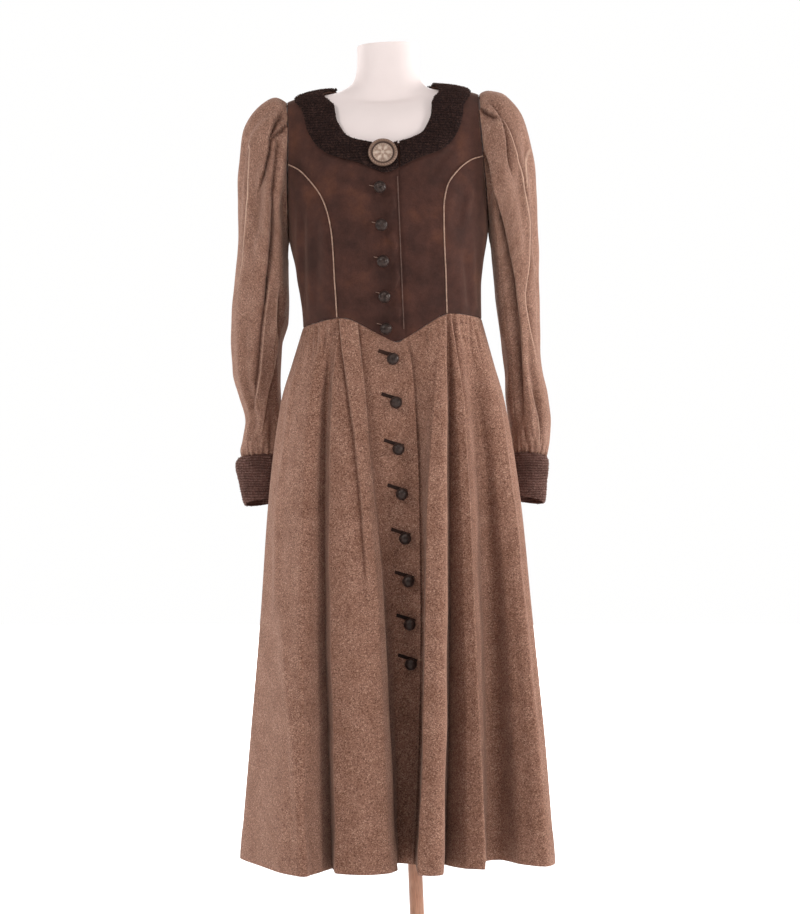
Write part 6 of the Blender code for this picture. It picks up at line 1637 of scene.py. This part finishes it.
MIRROR_X = -0.0950                # the sum of X of a point and of its mirror image


def armhole_ring(side, turn):
    """The armhole's edge all round, from the shoulder over the front and the underarm."""
    half = 181
    front = armhole_line(side, True, UNDERARM_Z, 9.0, half)[::-1]
    back = armhole_line(side, False, UNDERARM_Z, 9.0, half)
    line = np.concatenate([front, back[1:-1]])
    points = body(line[:, 0], line[:, 1], np.full(len(line), FORM_GAP + TWEED))
    points[:, 0] += side * ARMHOLE_GAP
    degrees = np.arange(len(line))
    return np.stack([np.interp(np.degrees(turn), degrees, axis, period=360) for axis in points.T], -1)


def section_ring(row, turn):
    """A sleeve's section as a closed, slightly square oval between its outer and inner end."""
    outer_x, outer_z, inner_x, inner_z, front_y, back_y, drop = row
    outer = np.array([outer_x, (front_y + back_y) / 2, outer_z])
    inner = np.array([inner_x, (front_y + back_y) / 2, inner_z])
    ring = (outer + inner) / 2 + (outer - inner) / 2 * signed_power(np.cos(turn), 0.93)[:, None]
    swing = (back_y - front_y) / 2 * signed_power(np.sin(turn), 0.93)
    ring[:, 1] -= swing
    ring[:, 2] += drop * swing / (back_y - front_y)
    return ring


def rings_to_grid(rings, at):
    """Rings read along a smooth curve through each of their points, at even mean steps."""
    moved = np.linalg.norm(np.diff(rings, axis=0), axis=2).mean(axis=1)
    gone = np.r_[0, np.cumsum(moved)]
    return smooth(gone / gone[-1], rings, at)


def ring_normals(grid, side):
    """Outward normals of a tube of rings."""
    round_it = np.roll(grid, -1, axis=1) - np.roll(grid, 1, axis=1)
    along = np.gradient(grid, axis=0)
    normals = unit(np.cross(round_it, along))
    return normals * (-1 if side < 0 else 1)


def broad_depth(folds, v, turn):
    """How far each point lies inside the plain sleeve: bells across each fold by its angle."""
    degrees = np.degrees(turn)
    depth = np.zeros((len(v), len(turn)))
    for start_angle, end_angle, start, end, deep, half_width in folds:
        share = np.clip((v - start) / (end - start), 0, 1)
        centre = start_angle + (end_angle - start_angle) * share
        away = (degrees[None] - centre[:, None] + 180) % 360 - 180
        across = np.cos(np.clip(away / half_width, -1, 1) * np.pi / 2) ** 2
        depth += deep * across * np.sin(np.pi * np.clip(share * 0.94 + 0.03, 0, 1))[:, None] ** 0.7
    return depth


# the sleeves' copy of the tweed is painted paler, standing for the sheen and glancing light on them
sleeve_tweed_painted_paler = tweed("sleeve_tweed_painted_paler", 0.0014, 0.0013, 0.14)
SLEEVE_TURN = 2 * np.pi * np.arange(SLEEVE_AROUND) / SLEEVE_AROUND
SLEEVE_TURN = SLEEVE_TURN + FRONT_CROWDING * (np.cos(SLEEVE_TURN) - 1)
for side, word, table, broad, laps, creases in (
    (-1, "right", RIGHT_SLEEVE, RIGHT_BROAD_FOLDS, RIGHT_LAPS, RIGHT_CREASES),
    (1, "left", LEFT_SLEEVE, LEFT_BROAD_FOLDS, LEFT_LAPS, LEFT_CREASES),
):
    turn = SLEEVE_TURN
    rings = [armhole_ring(side, turn)] + [section_ring(row, turn) for row in table]
    v = np.linspace(0, 1, SLEEVE_ROWS)
    grid = rings_to_grid(np.stack(rings), v)
    normals = ring_normals(grid, side)
    facing = np.clip(np.sin(turn) / 0.30, 0, 1)[None]
    head = np.exp(-v / 0.035)[:, None] * np.sin(17 * turn + 1.5 * side) * (0.0014 - 0.0009 * facing)
    gather = np.sin(17 * turn + 1.3) + 0.8 * np.sin(29 * turn + 2.0 * np.sin(2 * turn) + side)
    wrist = np.clip((v - 0.90) / 0.10, 0, 1)[:, None] ** 1.5 * gather * 0.0009
    height, wear_and_painted_light = pressed(laps, creases, grid)
    behind = [([(x if side < 0 else MIRROR_X - x, z) for x, z in line], *rest)
              for line, *rest in BACK_CREASES]
    rear = np.clip(-np.sin(turn) / 0.30, 0, 1)[None]
    out = height * facing + pressed((), behind, grid)[0] * rear - broad_depth(broad, v, turn) + 0.0008 * rippled(grid, 0.045)
    out = out * np.clip(np.minimum(v / 0.010, (1 - v) / 0.05), 0, 1)[:, None]
    out += (head + wrist) * np.clip(v / 0.012, 0, 1)[:, None]
    outer = grid + normals * out[..., None]
    inner = outer - ring_normals(outer, side) * TWEED
    first, last = (int(np.argmin(np.abs(turn - math.radians(180 + beyond))))
                   for beyond in (-UNDER_SLEEVE_HALF, UNDER_SLEEVE_HALF))
    under = np.arange(first, last + 1)
    upper = np.arange(last, SLEEVE_AROUND + first + 1) % SLEEVE_AROUND
    for part, columns in (("upper", upper), ("under", under)):
        pair = np.stack([outer[:, columns], inner[:, columns]])
        pair[:, -1] += unit(pair[:, -1] - pair[:, -2]) * CUFF_COVER
        for edge, near in ((0, 1), (-1, -2)):
            step = pair[:, :, near] - pair[:, :, edge]
            pair[:, :, edge] += unit(step) * SEAM / 2
        piece = cloth_piece(f"sleeve_{part}_{word}_tweed", edge_softened(pair[0], pair[1]), pair[1],
                            sleeve_tweed_painted_paler, "tweed", [f"sleeve_{part}_{word}"],
                            plain=grid[:, columns])
        # painted highlight on the fold edges and painted shade in the folds, on the front
        mark_painted_light(piece, (wear_and_painted_light * facing)[:, columns])

# --- The cuffs ----------------------------------------------------------------------------------
# Turned-back bands of mauve-brown plush, ribbed round the wrist and sewn to the gathered sleeve.

# Sections of the cuffs, in the sleeves' columns
RIGHT_CUFF = (
    (-0.2970, 0.8403, -0.2230, 0.8445, 0.054, 0.127, 0.010),
    (-0.3005, 0.8290, -0.2240, 0.8350, 0.054, 0.129, 0.010),
    (-0.2950, 0.8020, -0.2240, 0.8090, 0.053, 0.124, 0.010),
    (-0.2867, 0.7640, -0.2240, 0.7740, 0.052, 0.118, 0.011),
)
LEFT_CUFF = (
    (0.2085, 0.8428, 0.1475, 0.8468, 0.049, 0.124, 0.010),
    (0.2104, 0.8320, 0.1455, 0.8370, 0.048, 0.125, 0.010),
    (0.2075, 0.8030, 0.1430, 0.8100, 0.045, 0.119, 0.010),
    (0.2047, 0.7680, 0.1410, 0.7780, 0.041, 0.112, 0.011),
)
cuff_plush = plush("cuff_plush", dyed(104, 74, 67), dyed(160, 126, 116), dyed(174, 140, 128))
for side, word, table in ((-1, "right", RIGHT_CUFF), (1, "left", LEFT_CUFF)):
    rings = np.stack([section_ring(row, 2 * np.pi * np.arange(120) / 120) for row in table])
    v = np.linspace(0, 1, 46)
    outer = rings_to_grid(rings, v)
    outer[:, :, 2] -= 0.0006
    normals = ring_normals(outer, side)
    ribs = 0.00035 * np.sin(2 * np.pi * v * 17)[:, None, None]
    rim = -0.0016 * np.clip(np.abs(v - 0.5) / 0.5, 0, 1)[:, None, None] ** 12
    inner = outer - normals * PLUSH
    outer = outer + normals * (ribs + rim)
    pile = tufts(f"cuff_pile_{word}", np.concatenate([outer, outer[:, :1]], axis=1),
                 np.concatenate([inner, inner[:, :1]], axis=1), 0.0019, 0.0013, cuff_plush, 31 + side)
    fitted(pile, "cuff_plush")
    cloth_piece(f"cuff_{word}_plush", outer, inner, cuff_plush, "cuff_plush", [f"cuff_{word}"],
                closed=True)

# --- The ball buttons ---------------------------------------------------------------------------
# Thirteen balls of plaited dark leather cord, each on a short shank that is sewn through.

BALL_BUTTON = 0.019
BUTTON_LINE_X = -0.0100
# Buttons and bound buttonholes: X and height of each
BODICE_BUTTON_Z = (1.2600, 1.2020, 1.1490, 1.0950, 1.0450)
SKIRT_BUTTON_COLUMNS = ("x", "height")
SKIRT_BUTTONS = (
    (-0.0428, 0.9940),
    (-0.0380, 0.9270),
    (-0.0343, 0.8550),
    (-0.0288, 0.7850),
    (-0.0235, 0.7160),
    (-0.0180, 0.6490),
    (-0.0150, 0.5810),
    (-0.0120, 0.5180),
)
BUTTONHOLE_LENGTH = 0.031
BUTTONHOLE_WIDTH = 0.0055
BUTTONHOLE_THICK = 0.0010
BUTTONHOLE_FALL = 0.0095          # how much lower its end towards the edge lies
BUTTONHOLE_END = (0.0080, 0.0040) # from the button's centre to that end, across and up
BUTTON_GAP = 0.00075              # from a buttonhole's face out to the button on it


def leather(name, dark, light):
    """Worn calf leather: paler where it is rubbed, creased fine, half glossy."""
    material, tree, shader = new_material(name)
    place = node(tree, "ShaderNodeTexCoord", {}).outputs["Object"]
    wear_and_painted_light = noise(tree, place, 260, 4, 0.65)
    crease = noise(tree, place, 1800, 3)
    finished(tree, shader, ramp(tree, wear_and_painted_light, (0.35, dark), (0.68, light)), crease, 0.0003, 0.5)
    shader.inputs["Roughness"].default_value = 0.30
    shader.inputs["Specular IOR Level"].default_value = 0.30
    shader.inputs["Specular Tint"].default_value = (*dyed(255, 236, 226), 1)
    return material


ball_leather = leather("ball_leather", dyed(22, 14, 12), dyed(62, 48, 44))


def ball_button(node_name, seat, outward, turn_by):
    """A plaited ball on its shank: two sets of strands wind round it and stand proud."""
    radius = BALL_BUTTON / 2
    bend = np.radians(np.linspace(66, -88, 26))[:, None]
    turn = 2 * np.pi * np.arange(44)[None] / 44 + turn_by
    one = np.abs(np.sin(2.5 * turn + 3.0 * bend))
    two = np.abs(np.sin(2.5 * turn - 3.0 * bend + 0.8))
    relief = 0.97 + 0.05 * np.maximum(one, two) ** 0.6
    shank_radius = np.array([[0.0034], [0.0034]]) + 0 * turn
    centre = 0.0012 + radius * 0.80
    ball_radius = radius * np.cos(bend) * relief
    ball_height = centre - radius * 0.86 * np.sin(bend) * relief
    radii = np.concatenate([shank_radius, ball_radius])
    heights = np.concatenate([np.array([[0.0], [0.0012]]) + 0 * turn, ball_height])
    piece = turned_piece(f"{node_name}_plait", radii, heights, seat, outward, ball_leather,
                         sides=44, sharp=80)
    fitted(piece, "ball_leather", node_name)


for i, height in enumerate(BODICE_BUTTON_Z):
    angle, level = on_body(BUTTON_LINE_X, height)[0]
    seat = body(angle, level, SUEDE_OUT + BODICE_LIFT + SEAM)
    ball_button(f"button_bodice_{i + 1}", seat, seat - body(angle, level, 0.0), 0.7 * i)


def on_skirt(x, z, s, v):
    """The place on the placket that has this X and height, found step by step from a guess."""
    for _ in range(12):
        point, by_s, by_v = (
            skirt_surface(np.array([[a]]), np.array([b]))[0, 0]
            for a, b in ((s, v), (s + 0.01, v), (s, v + 0.001))
        )
        slopes = np.column_stack([(by_s - point)[[0, 2]] / 0.01, (by_v - point)[[0, 2]] / 0.001])
        step = np.linalg.solve(slopes, [x - point[0], z - point[2]])
        s, v = s + np.clip(step[0], -0.4, 0.4), np.clip(v + step[1], 0.0, 1.0)
    return s, v


def on_placket(s, v, out):
    """A point above the lapping front's face."""
    s, v = np.array([[s]]), np.array([v])
    return skirt_point(s, v, skirt_lift(s) + out)[0, 0]


# --- The bound buttonholes ----------------------------------------------------------------------
# Each is a slit between two narrow lips of very dark suede, sewn to the placket; its end lies
# under the button. On the bodice the slits are plain cuts, whipped with a pale thread.

hole_suede = suede("buttonhole_suede", dyed(38, 25, 22), dyed(50, 33, 28), dyed(62, 40, 32))
for i, (x, height) in enumerate(SKIRT_BUTTONS):
    s, v = on_skirt(x, height, FOLD_AT["placket_middle"], (1.03 - height) / (1.03 - HEM_HEIGHT))
    seat = on_placket(s, v, SEAM + BUTTONHOLE_THICK + BUTTON_GAP)
    ball_button(f"button_skirt_{i + 1}", seat, seat - on_placket(s, v, 0.0), 1.1 * i)
    end = np.array([x + BUTTONHOLE_END[0], height + BUTTONHOLE_END[1]])
    begin = end + np.array([-BUTTONHOLE_LENGTH, BUTTONHOLE_FALL])
    sideways = unit(end - begin)[::-1] * np.array([-1, 1]) * BUTTONHOLE_WIDTH / 2
    share = np.linspace(0, 1, 9)
    spread = np.linspace(1, -1, 7)
    places = [[on_skirt(*(begin + (end - begin) * a + sideways * b), s, v) for b in spread]
              for a in share]
    inner = np.array([[on_placket(*place, SEAM) for place in row] for row in places])
    outer = np.array([[on_placket(*place, SEAM + BUTTONHOLE_THICK) for place in row] for row in places])
    inner, outer = finer(inner, 34, 25), finer(outer, 34, 25)
    across = np.linspace(-1, 1, 25)[None]
    along = np.linspace(-1, 1, 34)[:, None]
    lips = 0.42 + 0.58 * np.sin(np.pi * np.abs(across)) ** 0.6
    lips = lips * (1 - 0.5 * np.abs(along) ** 10) * (1 - 0.35 * (np.abs(across) < 0.07))
    outer = inner + (outer - inner) * lips[..., None] * 1.25
    piece = cloth_wall(f"buttonhole_{i + 1}_lips", outer, inner, hole_suede)
    fitted(piece, "buttonhole_suede", f"buttonhole_{i + 1}")

slit_thread = leather("slit_thread", dyed(118, 90, 78), dyed(168, 138, 122))
SLITS = ((-0.0215, 1.2640), (-0.0200, 1.2070), (-0.0190, 1.1545), (-0.0185, 1.1005), (-0.0185, 1.0520))
for i, (x, height) in enumerate(SLITS):
    xs = x + np.linspace(-0.005, 0.004, 6)
    zs = height - np.linspace(-0.0010, 0.0016, 6)
    line = on_body(xs, zs)
    path = body(line[:, 0], line[:, 1], np.full(6, SUEDE_OUT + BODICE_LIFT + 0.0004))
    outward = path - body(line[:, 0], line[:, 1])
    piece = cord_along(f"slit_thread_{i + 1}", path, outward, 0.0012, slit_thread, sides=8)
    fitted(piece, "piping")

# --- The neck button ----------------------------------------------------------------------------
# One large pewter button holds the neck: a rope-like worn rim round a groove and a domed disc
# with a plain six-petalled flower, sewn on top of both collar ends.

NECK_BUTTON = 0.046
NECK_PROFILE = (
    # share of the radius, height
    (0.02, 0.0000),
    (0.90, 0.0000),
    (0.99, 0.0016),
    (1.00, 0.0030),
    (0.96, 0.0046),
    (0.84, 0.0052),
    (0.76, 0.0044),
    (0.72, 0.0028),
    (0.66, 0.0030),
    (0.40, 0.0042),
    (0.02, 0.0048),
)


def pewter():
    """Cast pewter gone brown: dark in the hollows, pale and warm where it is rubbed."""
    material, tree, shader = new_material("neck_pewter")
    place = node(tree, "ShaderNodeTexCoord", {}).outputs["Object"]
    raised = node(tree, "ShaderNodeAttribute", {}, attribute_name="raised").outputs["Fac"]
    pitted = noise(tree, place, 900, 4, 0.7)
    mixed = maths(tree, "ADD", maths(tree, "MULTIPLY", raised, 0.8), maths(tree, "MULTIPLY", pitted, 0.3))
    colour = ramp(tree, mixed, (0.15, dyed(64, 46, 38)), (0.45, dyed(130, 102, 86)),
                  (0.80, dyed(190, 168, 152)))
    finished(tree, shader, colour, pitted, 0.0003, 0.4)
    shader.inputs["Roughness"].default_value = 0.48
    shader.inputs["Metallic"].default_value = 0.45
    return material


share, height = np.array(NECK_PROFILE).T
at = np.linspace(0, len(share) - 1, 64)
share = smooth(np.arange(len(share)), share, at)[:, None]
height = smooth(np.arange(len(height)), height, at)[:, None]
turn = 2 * np.pi * np.arange(112)[None] / 112
on_top = (at > 3.0)[:, None]
rope = 0.0005 * np.abs(np.sin(16 * turn + 9 * share)) * np.exp(-(((share - 0.90) / 0.07) ** 2))
petals = np.clip(np.cos(6 * turn) * 0.5 + 0.62 - np.abs(share - 0.36) / 0.30, 0, 1)
heart = np.clip(1 - share / 0.13, 0, 1) ** 0.5
beads = np.clip(np.cos(24 * turn), 0, 1) * np.exp(-(((share - 0.60) / 0.035) ** 2))
relief = (rope + 0.0008 * petals + 0.0009 * heart + 0.0004 * beads) * on_top
disc = np.where(share < 0.68, 0.48, 0.16)
raised = np.clip(disc + 0.45 * petals + 0.5 * heart + 0.4 * beads + 700 * rope, 0, 1)
raised = np.where(np.abs(share - 0.725) < 0.045, 0.0, raised) * on_top
angle, level = on_body(-0.0035, 1.3118)[0]
seat = body(angle, level, SUEDE_OUT + COLLAR_GAP + PLUSH + BODICE_LIFT + 2 * SEAM)
button = turned_piece("neck_button_flower", share * NECK_BUTTON / 2 + 0 * turn, height + relief, seat,
                      seat - body(angle, level, 0.0), pewter(), sides=112, sharp=80)
values = np.concatenate([(raised + 0 * turn).ravel(), [0.0, 1.0]]).astype(np.float32)
button.data.attributes.new("raised", "FLOAT", "POINT").data.foreach_set("value", values)
fitted(button, "pewter", "button_neck")

# --- Light, floor and camera --------------------------------------------------------------------
# A bright white room as in a studio, soft lamps in front on both sides and above, one behind on each side, a
# pale floor. The camera stands 4 m in front at the height of the skirt, with a long lens.

LAMPS = (
    # name, place, aims at, size, power
    ("key", (-2.6, -2.8, 2.9), (0, 0, 1.25), 1.1, 51),
    ("fill", (2.9, -2.5, 1.4), (0, 0, 0.75), 1.3, 51),
    ("top", (0.2, -2.2, 3.8), (0, 0, 1.0), 1.4, 19),
    ("edge_right", (-2.3, 1.1, 1.3), (0, 0, 0.9), 1.2, 28),
    ("edge_left", (2.4, 0.4, 1.5), (0, 0, 0.9), 1.2, 44),
    ("backdrop", (0, 5.5, 4.0), (0, 6.5, 0), 4.0, 700),
)
for name, place, aim, size, power in LAMPS:
    lamp = bpy.data.objects.new(name, bpy.data.lights.new(name, "AREA"))
    lamp.data.shape = "DISK"
    lamp.data.size = size
    lamp.data.energy = power
    lamp.location = place
    lamp.rotation_euler = (Vector(aim) - Vector(place)).to_track_quat("-Z", "Y").to_euler()
    bpy.context.collection.objects.link(lamp)

room = bpy.data.worlds.new("room")
room.use_nodes = True
background = room.node_tree.nodes["Background"]
# the room is bright behind the dress, where its backdrop stands, and dimmer in front
way = node(room.node_tree, "ShaderNodeTexCoord", {}).outputs["Generated"]
back = node(room.node_tree, "ShaderNodeSeparateXYZ", {0: way}).outputs[1]
share = maths(room.node_tree, "MULTIPLY_ADD", back, 0.5, 0.5)
tone = ramp(room.node_tree, share, (0.45, (0.33, 0.33, 0.33)), (0.80, (1.0, 0.998, 0.996)))
room.node_tree.links.new(tone, background.inputs["Color"])
background.inputs["Strength"].default_value = 1.0
bpy.context.scene.world = room
bpy.context.scene.view_settings.view_transform = "Standard"

floor_paint, tree, shader = new_material("floor_white")
place = node(tree, "ShaderNodeTexCoord", {}).outputs["Object"]
tone = ramp(tree, noise(tree, place, 3), (0.3, (0.93, 0.93, 0.93)), (0.7, (0.95, 0.95, 0.95)))
tree.links.new(tone, shader.inputs["Base Color"])
shader.inputs["Roughness"].default_value = 0.9
floor_points = np.array([[-14, -14, 0], [14, -14, 0], [14, 8.5, 0], [-14, 8.5, 0]], float)
floor_mesh = bpy.data.meshes.new("floor")
floor_mesh.from_pydata(floor_points.tolist(), [], [(0, 1, 2, 3)])
floor_mesh.materials.append(floor_paint)
floor = bpy.data.objects.new("floor", floor_mesh)
bpy.context.collection.objects.link(floor)

camera = bpy.data.objects.new("camera", bpy.data.cameras.new("camera"))
camera.location = (-0.032, -4.0, 0.842)
camera.rotation_euler = (math.pi / 2, 0, 0)
camera.data.lens = 36 * 2500 / 914
camera.data.sensor_width = 36.0
bpy.context.collection.objects.link(camera)
bpy.context.scene.camera = camera
